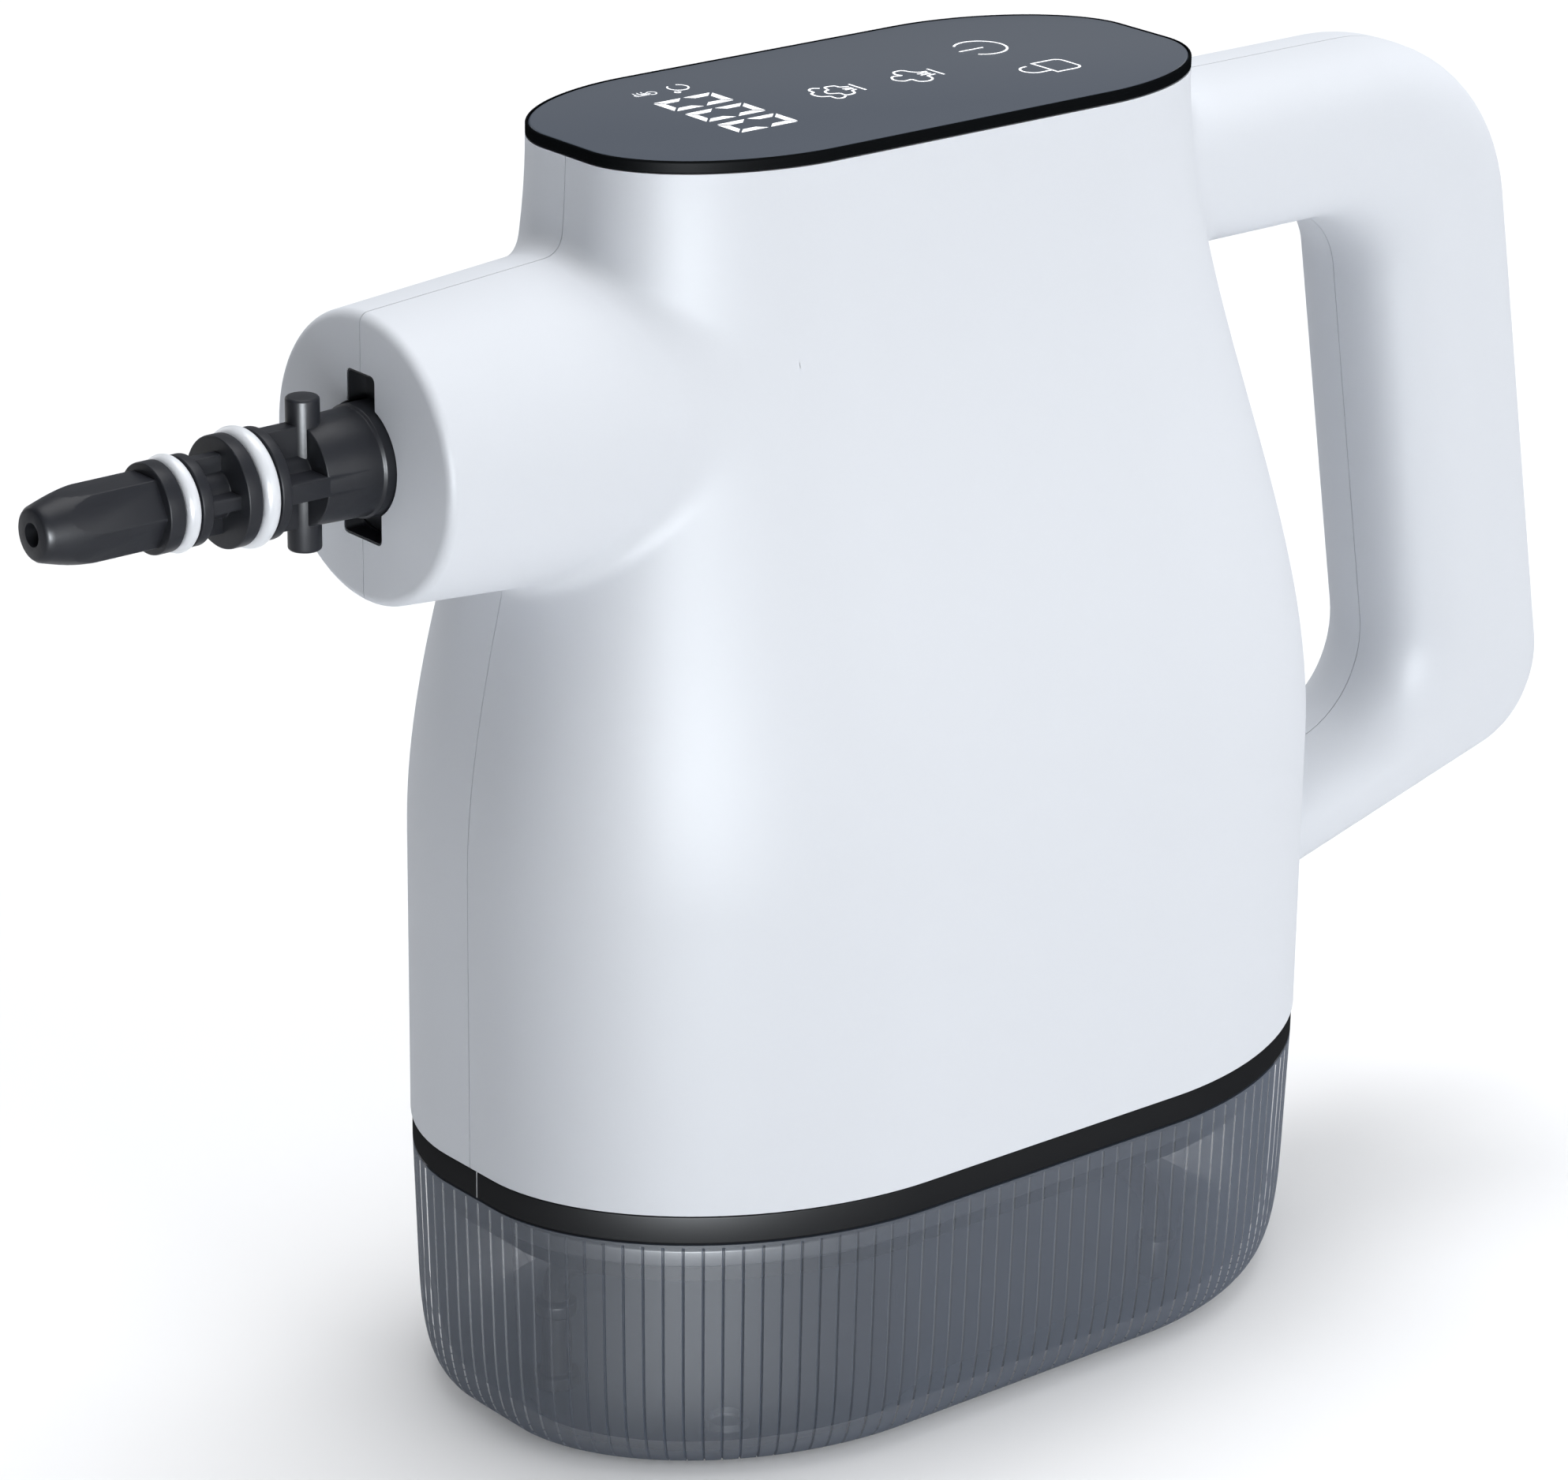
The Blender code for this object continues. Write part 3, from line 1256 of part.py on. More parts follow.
def build_spout(parent):
    at = spout_stations()
    tip = turned(
        "tip",
        (
            (at["cone"], TIP_RADIUS - TRIM_BEVEL),
            (at["cone"] + TRIM_BEVEL, TIP_RADIUS),
            *[
                (mix(at["cone"], at["hex"], along), mix(TIP_RADIUS, HEX_RADIUS, out))
                for along, out in TIP_CURVE_SHARES
            ],
            (at["hex"], HEX_RADIUS + GAP),
            (at["small_front"] + GAP, HEX_RADIUS + GAP),
        ),
        BARREL_SEGMENTS,
    )
    prism = turned(
        "prism",
        (
            (at["cone"] - OVERRUN, HEX_RADIUS),
            (at["small_front"] + OVERRUN, HEX_RADIUS),
        ),
        6,
    )
    prism.data.transform(Matrix.Rotation(math.radians(90), 4, "X"))
    combine(tip, prism, "INTERSECT")
    body = turned(
        "spout_body",
        (
            (at["small_front"], SMALL_DISC_RADIUS - TRIM_BEVEL),
            (at["small_front"] + TRIM_BEVEL, SMALL_DISC_RADIUS),
            (at["small_groove"], SMALL_DISC_RADIUS),
            (at["small_groove"], SMALL_GROOVE_RADIUS),
            (at["small_rear"], SMALL_GROOVE_RADIUS),
            (at["small_rear"], SMALL_DISC_RADIUS),
            (at["neck"], SMALL_DISC_RADIUS),
            (at["neck"], CORE_RADIUS),
            (at["large_front"], CORE_RADIUS),
            (at["large_front"], LARGE_DISC_RADIUS - TRIM_BEVEL),
            (at["large_front"] + TRIM_BEVEL, LARGE_DISC_RADIUS),
            (at["large_groove"], LARGE_DISC_RADIUS),
            (at["large_groove"], LARGE_GROOVE_RADIUS),
            (at["large_rear"], LARGE_GROOVE_RADIUS),
            (at["large_rear"], LARGE_DISC_RADIUS),
            (at["cage"], LARGE_DISC_RADIUS),
            (at["cage"], CORE_RADIUS),
            (at["sleeve"], CORE_RADIUS),
            (at["sleeve"], CAGE_RADIUS),
            (at["collar"] - COLLAR_LENGTH, SLEEVE_RADIUS),
            (at["collar"], COLLAR_RADIUS),
            (at["flange"], COLLAR_RADIUS),
            (at["flange"], BACK_FLANGE_RADIUS),
            (at["flange"] + BACK_FLANGE_THICKNESS, BACK_FLANGE_RADIUS),
            (at["flange"] + BACK_FLANGE_THICKNESS, TAIL_RADIUS),
            (at["flange"] + BACK_FLANGE_THICKNESS + TAIL_LENGTH, TAIL_RADIUS),
        ),
        SPOUT_SEGMENTS,
    )
    lug_x = LUG_BACK - SPOUT_LENGTH
    join(
        body,
        *crossed_ribs(at["neck"], NECK_RUN, NECK_RIB_RADIUS, NECK_RIB_WIDTH),
        *crossed_ribs(at["cage"], CAGE_RUN, CAGE_RADIUS, CAGE_RIB_WIDTH),
        rod("lugs", LUG_RADIUS, (lug_x, 0, -LUG_REACH), (lug_x, 0, LUG_REACH), GLAND_SEGMENTS),
        tip,
    )
    cut(
        body,
        rod(
            "steam bore",
            TIP_BORE_RADIUS,
            (-SPOUT_LENGTH - OVERRUN, 0, 0),
            (TIP_BORE_DEPTH - SPOUT_LENGTH, 0, 0),
            SCREW_SEGMENTS,
        ),
    )
    move(body, FACE_CENTRE)
    body.data.materials.clear()
    body.data.materials.append(finish("black_plastic"))
    set_origin(body, (FACE_X, 0, AXIS_HEIGHT), parent)
    small_x = at["small_groove"] + SMALL_GROOVE_WIDTH / 2
    large_x = at["large_groove"] + LARGE_GROOVE_WIDTH / 2
    rings = (
        ("ring_small", small_x, SMALL_GROOVE_RADIUS, SMALL_RING_TUBE),
        ("ring_large", large_x, LARGE_GROOVE_RADIUS, LARGE_RING_TUBE),
    )
    for name, x, groove, tube in rings:
        profile = []
        middle = groove + GAP + tube
        for step in range(RING_TUBE_SEGMENTS):
            angle = math.tau * (step + 0.5) / RING_TUBE_SEGMENTS
            profile.append((x + tube * math.cos(angle), middle + tube * math.sin(angle)))
        ring = move(turned_ring(name, profile, RING_SEGMENTS, "grey_silicone"), FACE_CENTRE)
        set_origin(ring, (FACE_X + x, 0, AXIS_HEIGHT), parent)
    holder_front = at["flange"]
    seat = at["flange"] + BACK_FLANGE_THICKNESS + GAP
    holder = turned_ring(
        "spout_holder",
        (
            (holder_front, BACK_FLANGE_RADIUS + GAP),
            (holder_front, HOLDER_RADIUS),
            (seat + HOLDER_THICKNESS, HOLDER_RADIUS),
            (seat + HOLDER_THICKNESS, TAIL_RADIUS + GAP),
            (seat, TAIL_RADIUS + GAP),
            (seat, BACK_FLANGE_RADIUS + GAP),
        ),
        SPOUT_SEGMENTS,
        "black_plastic",
    )
    move(holder, FACE_CENTRE)
    set_origin(holder, (FACE_X + seat, 0, AXIS_HEIGHT), parent)
    tail_end = FACE_X + at["flange"] + BACK_FLANGE_THICKNESS + TAIL_LENGTH
    tube = rod(
        "steam_tube",
        STEAM_TUBE_RADIUS,
        (tail_end + GAP, 0, AXIS_HEIGHT),
        (-BOILER_FRONT - OUTLET_LENGTH - GAP, 0, AXIS_HEIGHT),
        SCREW_SEGMENTS,
        "grey_silicone",
    )
    set_origin(tube, (tail_end, 0, AXIS_HEIGHT), parent)


def build_boiler(parent):
    front = -BOILER_FRONT
    back = front + BOILER_LENGTH
    half = BOILER_WIDTH / 2
    boiler = box(
        "boiler", (front, -half, BOILER_LOW), (back, half, BOILER_TOP), rounding=BOILER_ROUNDING / 2
    )
    join(
        boiler,
        rod(
            "outlet",
            OUTLET_RADIUS,
            (front - OUTLET_LENGTH, 0, AXIS_HEIGHT),
            (front + OUTLET_LENGTH, 0, AXIS_HEIGHT),
            SCREW_SEGMENTS,
        ),
        rod(
            "inlet",
            OUTLET_RADIUS,
            (front + INLET_BACK, 0, BOILER_LOW - OUTLET_LENGTH),
            (front + INLET_BACK, 0, AXIS_HEIGHT),
            SCREW_SEGMENTS,
        ),
    )
    for side in (-1, 1):
        y = side * HEATER_SPREAD
        height = BOILER_LOW + 2 * HEATER_RADIUS
        join(
            boiler,
            rod(
                "heater end",
                HEATER_RADIUS,
                (0, y, height),
                (back + HEATER_LENGTH, y, height),
                SCREW_SEGMENTS,
            ),
            rod(
                "heater pin",
                HEATER_PIN_RADIUS,
                (back, y, height),
                (back + HEATER_LENGTH + HEATER_PIN_LENGTH, y, height),
                SCREW_SEGMENTS,
            ),
        )
    screw_places = []
    for x in (front + COVER_SCREW_INSET, back - COVER_SCREW_INSET):
        for y in (-half + COVER_SCREW_INSET, half - COVER_SCREW_INSET):
            screw_places.append((x, y))
    cover_low = BOILER_TOP + GAP
    cover_top = cover_low + COVER_THICKNESS
    cover = box(
        "boiler_cover",
        (front, -half, cover_low),
        (back, half, cover_top),
        rounding=BOILER_ROUNDING / 4,
    )
    for number, (x, y) in enumerate(screw_places, start=1):
        hole = COVER_SCREW_RADIUS + GAP
        depth = cover_top + GAP - COVER_SCREW_LENGTH
        cut(
            boiler,
            rod(
                "tapped hole",
                hole,
                (x, y, depth - GAP),
                (x, y, cover_low + OVERRUN),
                SCREW_SEGMENTS,
            ),
        )
        cut(
            cover,
            rod(
                "hole",
                hole,
                (x, y, cover_low - OVERRUN),
                (x, y, cover_top + OVERRUN),
                SCREW_SEGMENTS,
            ),
        )
        screw = rod(
            f"cover_screw_{number}",
            COVER_SCREW_RADIUS,
            (x, y, depth),
            (x, y, cover_top + 2 * GAP),
            SCREW_SEGMENTS,
        )
        head_low = cover_top + GAP
        head_top = head_low + COVER_SCREW_HEAD / 2
        join(
            screw,
            rod("head", COVER_SCREW_HEAD, (x, y, head_low), (x, y, head_top), SCREW_SEGMENTS),
        )
        screw.data.materials.clear()
        screw.data.materials.append(finish("steel"))
        set_origin(screw, (x, y, cover_top), parent)
    for piece in (boiler, cover):
        piece.data.materials.clear()
        piece.data.materials.append(finish("cast_aluminium"))
    set_origin(boiler, (front, 0, AXIS_HEIGHT), parent)
    set_origin(cover, (front, 0, cover_low), parent)
    x = front + BOILER_LENGTH / 3
    low = cover_top + GAP
    flange_top = low + THERMOSTAT_FLANGE
    cap_top = low + THERMOSTAT_HEIGHT
    disc = rod(
        "thermostat",
        THERMOSTAT_RADIUS,
        (x, 0, low),
        (x, 0, flange_top),
        THERMOSTAT_SEGMENTS,
    )
    cap_radius = THERMOSTAT_RADIUS - THERMOSTAT_FLANGE
    join(disc, rod("cap", cap_radius, (x, 0, low), (x, 0, cap_top), THERMOSTAT_SEGMENTS))
    disc.data.materials.clear()
    disc.data.materials.append(finish("steel"))
    set_origin(disc, (x, 0, low), parent)
    x = back - BOILER_LENGTH / 4
    middle = low + FUSE_RADIUS
    fuse = rod(
        "thermal_fuse",
        FUSE_RADIUS,
        (x, -FUSE_LENGTH / 2, middle),
        (x, FUSE_LENGTH / 2, middle),
        SCREW_SEGMENTS,
        "steel",
    )
    set_origin(fuse, (x, 0, middle), parent)


def build_pump(parent):
    half = PUMP_LENGTH / 2
    x_coil = COIL_LENGTH / 2
    body = turned(
        "pump_body",
        (
            (-half - PUMP_BARB_LENGTH, PUMP_BARB_RADIUS),
            (-half, PUMP_BARB_RADIUS),
            (-half, PUMP_RADIUS),
            (half, PUMP_RADIUS),
            (half, PUMP_BARB_RADIUS),
            (half + PUMP_BARB_LENGTH, PUMP_BARB_RADIUS),
        ),
        SPOUT_SEGMENTS,
        "black_plastic",
    )
    place = Vector((0, 0, PUMP_HEIGHT))
    set_origin(move(body, place), place, parent)
    coil = box(
        "pump_coil",
        (-x_coil, -COIL_WIDTH / 2, -COIL_HEIGHT / 2),
        (x_coil, COIL_WIDTH / 2, COIL_HEIGHT / 2),
        rounding=COIL_ROUNDING,
    )
    room = PUMP_RADIUS + GAP
    cut(coil, rod("bore", room, (-COIL_LENGTH, 0, 0), (COIL_LENGTH, 0, 0), SPOUT_SEGMENTS))
    coil.data.materials.clear()
    coil.data.materials.append(finish("copper"))
    set_origin(move(coil, place), place, parent)
    for name, x in (("pump_mount_front", -MOUNT_SPREAD), ("pump_mount_rear", MOUNT_SPREAD)):
        front = x - MOUNT_LENGTH / 2
        back = x + MOUNT_LENGTH / 2
        mount = turned_ring(
            name,
            ((front, room), (front, MOUNT_RADIUS), (back, MOUNT_RADIUS), (back, room)),
            SPOUT_SEGMENTS,
            "dark_rubber",
        )
        set_origin(move(mount, place), (x, 0, PUMP_HEIGHT), parent)


def build_control_board(parent):
    back = CONTROL_BACK + BOARD_THICKNESS / 2
    board = box(
        "control_board",
        (CONTROL_BACK - BOARD_THICKNESS / 2, -CONTROL_WIDTH / 2, CONTROL_LOW),
        (back, CONTROL_WIDTH / 2, CONTROL_LOW + CONTROL_HEIGHT),
        "circuit_green",
    )
    set_origin(board, (CONTROL_BACK, 0, CONTROL_LOW), parent)
    middle = CONTROL_LOW + CONTROL_HEIGHT / 2
    relay = box(
        "relay",
        (back + GAP, -RELAY_WIDTH / 2, middle - RELAY_LENGTH / 2),
        (back + GAP + RELAY_HEIGHT, RELAY_WIDTH / 2, middle + RELAY_LENGTH / 2),
        "black_plastic",
    )
    set_origin(relay, (back, 0, middle), parent)


def gland_frame():
    """Turn and shift that put the bush on its facet of the rear wall, with +X pointing out."""
    outline = body_outline(GLAND_HEIGHT)
    first = Vector(outline[CORNER_STEPS - GLAND_FACET])
    second = Vector(outline[CORNER_STEPS - GLAND_FACET - 1])
    middle = (first + second) / 2
    along = second - first
    outward = math.atan2(-along.x, along.y) if along.y > 0 else math.atan2(along.x, -along.y)
    return Matrix.Translation((middle.x, middle.y, GLAND_HEIGHT)) @ Matrix.Rotation(outward, 4, "Z")


def gland_cutters():
    hole = rod(
        "gland hole",
        GLAND_RADIUS + GAP,
        (-GLAND_LENGTH, 0, 0),
        (GLAND_LENGTH, 0, 0),
        GLAND_SEGMENTS,
    )
    seat = rod(
        "gland seat",
        GLAND_FLANGE_RADIUS + GAP,
        (-GLAND_SEAT_DEPTH, 0, 0),
        (GLAND_LENGTH, 0, 0),
        GLAND_SEGMENTS,
    )
    for tool in (hole, seat):
        tool.data.transform(gland_frame())
    return hole, seat


def build_gland(parent):
    seat = GAP - GLAND_SEAT_DEPTH
    flange = seat + GLAND_FLANGE_THICKNESS
    inner = seat - GLAND_LENGTH
    gland = turned_ring(
        "cord_gland",
        (
            (inner, GLAND_BORE_RADIUS),
            (inner, GLAND_RADIUS),
            (seat, GLAND_RADIUS),
            (seat, GLAND_FLANGE_RADIUS),
            (flange, GLAND_FLANGE_RADIUS),
            (flange, GLAND_BORE_RADIUS),
        ),
        GLAND_SEGMENTS,
        "dark_rubber",
    )
    gland.data.transform(gland_frame())
    set_origin(gland, gland_frame().translation, parent)


def smooth_route(knots):
    """Points on a smooth curve through knots of (place, heading), with straight ends."""
    lead = HOSE_RADIUS
    first, first_heading = knots[0]
    last, last_heading = knots[-1]
    inside = [(first + first_heading * lead, first_heading), *knots[1:-1]]
    inside.append((last - last_heading * lead, last_heading))
    route = [first]
    for (start, leaving), (end, arriving) in zip(inside, inside[1:]):
        length = (end - start).length
        steps = max(3, round(length / HOSE_STEP))
        for step in range(steps):
            t = step / steps
            rise = t * t * (3 - 2 * t)
            route.append(
                start.lerp(end, rise)
                + leaving * length * t * (1 - t) ** 2
                - arriving * length * t * t * (1 - t)
            )
    route.append(inside[-1][0])
    route.append(last)
    return route


def hose(name, knots, radius, finish_name, parent):
    curve = bpy.data.curves.new(name, "CURVE")
    curve.dimensions = "3D"
    curve.bevel_depth = radius
    curve.bevel_resolution = 2
    curve.use_fill_caps = True
    spline = curve.splines.new("POLY")
    route = smooth_route(knots)
    spline.points.add(len(route) - 1)
    for slot, point in zip(spline.points, route):
        slot.co = (*point, 1)
    curve.materials.append(finish(finish_name))
    thing = bpy.data.objects.new(name, curve)
    bpy.context.scene.collection.objects.link(thing)
    set_origin(thing, (0, 0, 0), parent)
    return thing


def build_tank_fittings(parent):
    """What hangs from the band's floor into the water."""
    barb_low = FLOOR_LOW - HOSE_BARB_LENGTH - GAP
    filter_low = TANK_WALL + GAP
    filter_top = filter_low + FILTER_HEIGHT
    place = (-FILTER_FORWARD, FILTER_SIDE)
    weight = rod(
        "filter_weight",
        FILTER_RADIUS,
        (*place, filter_low),
        (*place, filter_top),
        SCREW_SEGMENTS,
    )
    join(
        weight,
        rod(
            "foot collar",
            FILTER_COLLAR_RADIUS,
            (*place, filter_low),
            (*place, filter_low + FILTER_COLLAR_HEIGHT),
            SCREW_SEGMENTS,
        ),
    )
    weight.data.materials.clear()
    weight.data.materials.append(finish("dark_rubber"))
    set_origin(weight, (*place, filter_low), parent)
    cap_low = filter_top + GAP
    cap_top = cap_low + FILTER_CAP_HEIGHT
    cap = rod(
        "filter_cap",
        FILTER_CAP_RADIUS,
        (*place, cap_low),
        (*place, cap_top),
        SCREW_SEGMENTS,
        "black_plastic",
    )
    set_origin(cap, (*place, cap_low), parent)
    start = Vector((-SUCTION_FORWARD, -SUCTION_SIDE, barb_low))
    end = Vector((*place, cap_top + GAP))
    hose("suction_hose", ((start, DOWN), (end, DOWN)), HOSE_RADIUS, "dark_rubber", parent)
    valve_top = filter_low + VALVE_HEIGHT
    place = (VALVE_BACK, -VALVE_SIDE)
    valve = rod(
        "relief_valve",
        VALVE_RADIUS,
        (*place, filter_low),
        (*place, valve_top),
        SCREW_SEGMENTS,
        "black_plastic",
    )
    set_origin(valve, (*place, valve_top), parent)
    start = Vector((RETURN_BACK, -RETURN_SIDE, barb_low))
    end = Vector((*place, valve_top + GAP))
    hose("return_hose", ((start, DOWN), (end, DOWN)), HOSE_RADIUS, "dark_rubber", parent)
    sensor_top = FLOOR_LOW - GAP
    sensor_low = sensor_top - SENSOR_DEPTH
    near = -SENSOR_SIDE - SENSOR_WIDTH / 2
    far = -SENSOR_SIDE + SENSOR_WIDTH / 2
    sensor = box(
        "level_sensor",
        (SENSOR_BACK - SENSOR_LENGTH / 2, near, sensor_low),
        (SENSOR_BACK + SENSOR_LENGTH / 2, far, sensor_top),
        "black_plastic",
        rounding=SENSOR_ROUNDING,
    )
    set_origin(sensor, (SENSOR_BACK, -SENSOR_SIDE, sensor_top), parent)


def build_body_hoses(parent):
    """From the band's barb to the pump, and from the pump up to the boiler."""
    pump_end = PUMP_LENGTH / 2 + PUMP_BARB_LENGTH + GAP
    start = Vector((-SUCTION_FORWARD, -SUCTION_SIDE, BAND_TOP + HOSE_BARB_LENGTH + GAP))
    end = Vector((-pump_end, 0, PUMP_HEIGHT))
    hose("inlet_hose", ((start, UP), (end, BACKWARD)), HOSE_RADIUS, "dark_rubber", parent)
    start = Vector((pump_end, 0, PUMP_HEIGHT))
    end = Vector((-BOILER_FRONT + INLET_BACK, 0, BOILER_LOW - OUTLET_LENGTH - GAP))
    over = Vector((pump_end - HOSE_BARB_LENGTH, 0, PUMP_RIB_TOP + HOSE_BARB_LENGTH))
    middle = Vector((0, 0, (over.z + end.z) / 2))
    slanting = (UP - BACKWARD).normalized()
    knots = ((start, BACKWARD), (over, slanting), (middle, -BACKWARD), (end, UP))
    hose("pressure_hose", knots, HOSE_RADIUS, "dark_rubber", parent)


def main():
    for thing in list(bpy.data.objects):
        bpy.data.objects.remove(thing)
    cleaner = bpy.data.objects.new("cleaner", None)
    tank = bpy.data.objects.new("tank", None)
    latch = bpy.data.objects.new("latch", None)
    for empty in (cleaner, tank, latch):
        bpy.context.scene.collection.objects.link(empty)
    tank.location = (0, 0, TANK_HEIGHT)
    tank.parent = cleaner
    latch.location = (LATCH_PIN_BACK, 0, LATCH_PIVOT_HEIGHT)
    latch.parent = cleaner
    build_shells(cleaner)
    build_shell_screws(cleaner)
    build_panel(cleaner)
    build_base_frame(cleaner)
    build_tank(tank)
    build_latch(cleaner, latch)
    build_spout(cleaner)
    build_boiler(cleaner)
    build_pump(cleaner)
    build_control_board(cleaner)
    build_gland(cleaner)
    build_tank_fittings(cleaner)
    build_body_hoses(cleaner)
    for thing in bpy.data.objects:
        shade(thing)


main()
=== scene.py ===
# %% [markdown]
# # A handheld steam cleaner
# The imported model gives the sizes and the bodies that move.  This script gives that model its fine
# surfaces and its finishes, piece by piece.  Each step first says what the piece is on the real
# object, then how it could be made, and why it is made this way here.
#
# Loading comes first, because every size below is either read from the frame or set beside it.  The
# box of the imported model is kept at once, and the floor is laid just under it.

import json
import math

import bmesh
import bpy
import numpy as np
from mathutils import Matrix, Vector
from mathutils.bvhtree import BVHTree

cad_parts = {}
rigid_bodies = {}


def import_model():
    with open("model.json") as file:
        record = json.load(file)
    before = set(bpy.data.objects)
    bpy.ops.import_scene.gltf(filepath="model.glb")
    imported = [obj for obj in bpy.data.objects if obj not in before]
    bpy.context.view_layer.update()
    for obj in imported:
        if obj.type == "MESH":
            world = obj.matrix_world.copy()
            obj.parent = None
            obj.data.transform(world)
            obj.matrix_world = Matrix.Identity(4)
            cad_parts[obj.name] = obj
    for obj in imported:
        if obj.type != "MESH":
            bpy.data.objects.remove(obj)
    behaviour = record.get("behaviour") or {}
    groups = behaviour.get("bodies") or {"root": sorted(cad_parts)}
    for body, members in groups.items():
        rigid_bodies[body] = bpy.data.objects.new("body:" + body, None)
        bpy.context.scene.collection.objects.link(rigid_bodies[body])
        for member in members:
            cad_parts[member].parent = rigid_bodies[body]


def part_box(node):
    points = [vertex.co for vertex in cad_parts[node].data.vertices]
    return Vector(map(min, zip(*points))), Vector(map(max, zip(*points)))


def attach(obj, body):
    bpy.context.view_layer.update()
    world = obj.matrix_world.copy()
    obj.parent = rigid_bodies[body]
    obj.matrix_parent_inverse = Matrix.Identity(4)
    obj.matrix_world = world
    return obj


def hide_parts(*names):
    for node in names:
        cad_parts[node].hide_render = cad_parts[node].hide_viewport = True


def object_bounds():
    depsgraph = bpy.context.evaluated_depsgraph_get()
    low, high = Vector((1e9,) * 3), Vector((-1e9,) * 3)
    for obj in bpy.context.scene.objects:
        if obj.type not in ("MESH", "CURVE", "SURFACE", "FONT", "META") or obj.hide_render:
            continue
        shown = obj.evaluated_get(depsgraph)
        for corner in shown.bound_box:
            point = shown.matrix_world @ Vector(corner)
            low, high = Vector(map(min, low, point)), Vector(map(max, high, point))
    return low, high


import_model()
cad_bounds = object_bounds()
CAD_NAMES = {thing.name for thing in bpy.context.scene.objects}
MM = 0.001

# %% [markdown]
# ## Camera
# A camera is a place, a direction and a lens.  It could be aimed with a Track To constraint, but then
# its small roll about its own axis would have to be added apart.  So its three axes are worked out and
# put in one matrix.  It stands well back with a long lens, and upright edges stay nearly parallel.

# %% Camera
CAMERA_PLACE = Vector((-0.60181, -0.71199, 0.45902))
CAMERA_AZIMUTH = math.radians(-39.34)
CAMERA_ELEVATION = math.radians(20.85)
CAMERA_ROLL = math.radians(0.67)
LENS = 135.0
SENSOR_WIDTH = 36.0
CLIP_START = 0.01

camera_data = bpy.data.cameras.new("camera")
camera_data.lens = LENS
camera_data.sensor_width = SENSOR_WIDTH
camera_data.clip_start = CLIP_START
camera = bpy.data.objects.new("camera", camera_data)
bpy.context.scene.collection.objects.link(camera)
back = Vector(
    (
        math.sin(CAMERA_AZIMUTH) * math.cos(CAMERA_ELEVATION),
        -math.cos(CAMERA_AZIMUTH) * math.cos(CAMERA_ELEVATION),
        math.sin(CAMERA_ELEVATION),
    )
)
right = Vector((math.cos(CAMERA_AZIMUTH), math.sin(CAMERA_AZIMUTH), 0))
up = back.cross(right)
rolled_right = right * math.cos(CAMERA_ROLL) + up * math.sin(CAMERA_ROLL)
rolled_up = up * math.cos(CAMERA_ROLL) - right * math.sin(CAMERA_ROLL)
camera.matrix_world = Matrix.Translation(CAMERA_PLACE) @ Matrix(
    (
        (rolled_right.x, rolled_up.x, back.x, 0),
        (rolled_right.y, rolled_up.y, back.y, 0),
        (rolled_right.z, rolled_up.z, back.z, 0),
        (0, 0, 0, 1),
    )
)
bpy.context.scene.camera = camera
print("camera looks", [round(v, 3) for v in -back])

# %% [markdown]
# ## Floor and light
# A white body on a white floor is the hardest thing to light, because only its shading shows its form.
# The floor could be a curved sweep.  A plane so large that it runs out into the brightness does the
# same from any side.  It rides on the tank, so the tank stays standing when it is taken off.

# %% Floor
FLOOR_HALF = 12.0
FLOOR_CLEARANCE = 0.2 * MM
PAPER = (0.80, 0.80, 0.805)


def plain_material(name, colour, roughness):
    made = bpy.data.materials.new(name)
    made.use_nodes = True
    shader = made.node_tree.nodes["Principled BSDF"]
    shader.inputs["Base Color"].default_value = (*colour, 1)
    shader.inputs["Roughness"].default_value = roughness
    return made


floor_mesh = bpy.data.meshes.new("floor")
floor_height = cad_bounds[0].z - FLOOR_CLEARANCE
corners = [(x * FLOOR_HALF, y * FLOOR_HALF, floor_height) for x, y in ((-1, -1), (1, -1), (1, 1), (-1, 1))]
floor_mesh.from_pydata(corners, [], [(0, 1, 2, 3)])
floor_mesh.materials.append(plain_material("floor_white", PAPER, 0.8))
floor = bpy.data.objects.new("floor", floor_mesh)
bpy.context.scene.collection.objects.link(floor)
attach(floor, "tank")
print("floor at", round(floor_height / MM, 2), "mm")

# %% [markdown]
# The surround is not one tone.  It is brightest high on the spectator's right, and nearly dark in
# front of the nose, as with a black card held there, so the nose keeps its grey.  A picture of a
# studio could do this.  One dot product with a bright direction is enough, and easy to steer.

# %% Surround that fades towards the nose
BRIGHT_WAY = Vector((0.62, -0.28, 0.73)).normalized()
DARK_LEVEL, BRIGHT_LEVEL = 0.0, 0.58
DARK_UP_TO = -0.7
SURROUND_TINT = (0.93, 0.96, 1.0)
world = bpy.data.worlds.new("surround")
bpy.context.scene.world = world
world.use_nodes = True
sky = world.node_tree
facing = sky.nodes.new("ShaderNodeTexCoord")
along = sky.nodes.new("ShaderNodeVectorMath")
along.operation = "DOT_PRODUCT"
along.inputs[1].default_value = BRIGHT_WAY
level = sky.nodes.new("ShaderNodeMapRange")
level.interpolation_type = "SMOOTHSTEP"
level.inputs["From Min"].default_value = DARK_UP_TO
level.inputs["From Max"].default_value = 1.0
level.inputs["To Min"].default_value = DARK_LEVEL
level.inputs["To Max"].default_value = BRIGHT_LEVEL
sky.links.new(facing.outputs["Generated"], along.inputs[0])
sky.links.new(along.outputs["Value"], level.inputs["Value"])
sky.links.new(level.outputs["Result"], sky.nodes["Background"].inputs["Strength"])
sky.nodes["Background"].inputs["Color"].default_value = (*SURROUND_TINT, 1)
print("surround from", DARK_LEVEL, "to", BRIGHT_LEVEL)

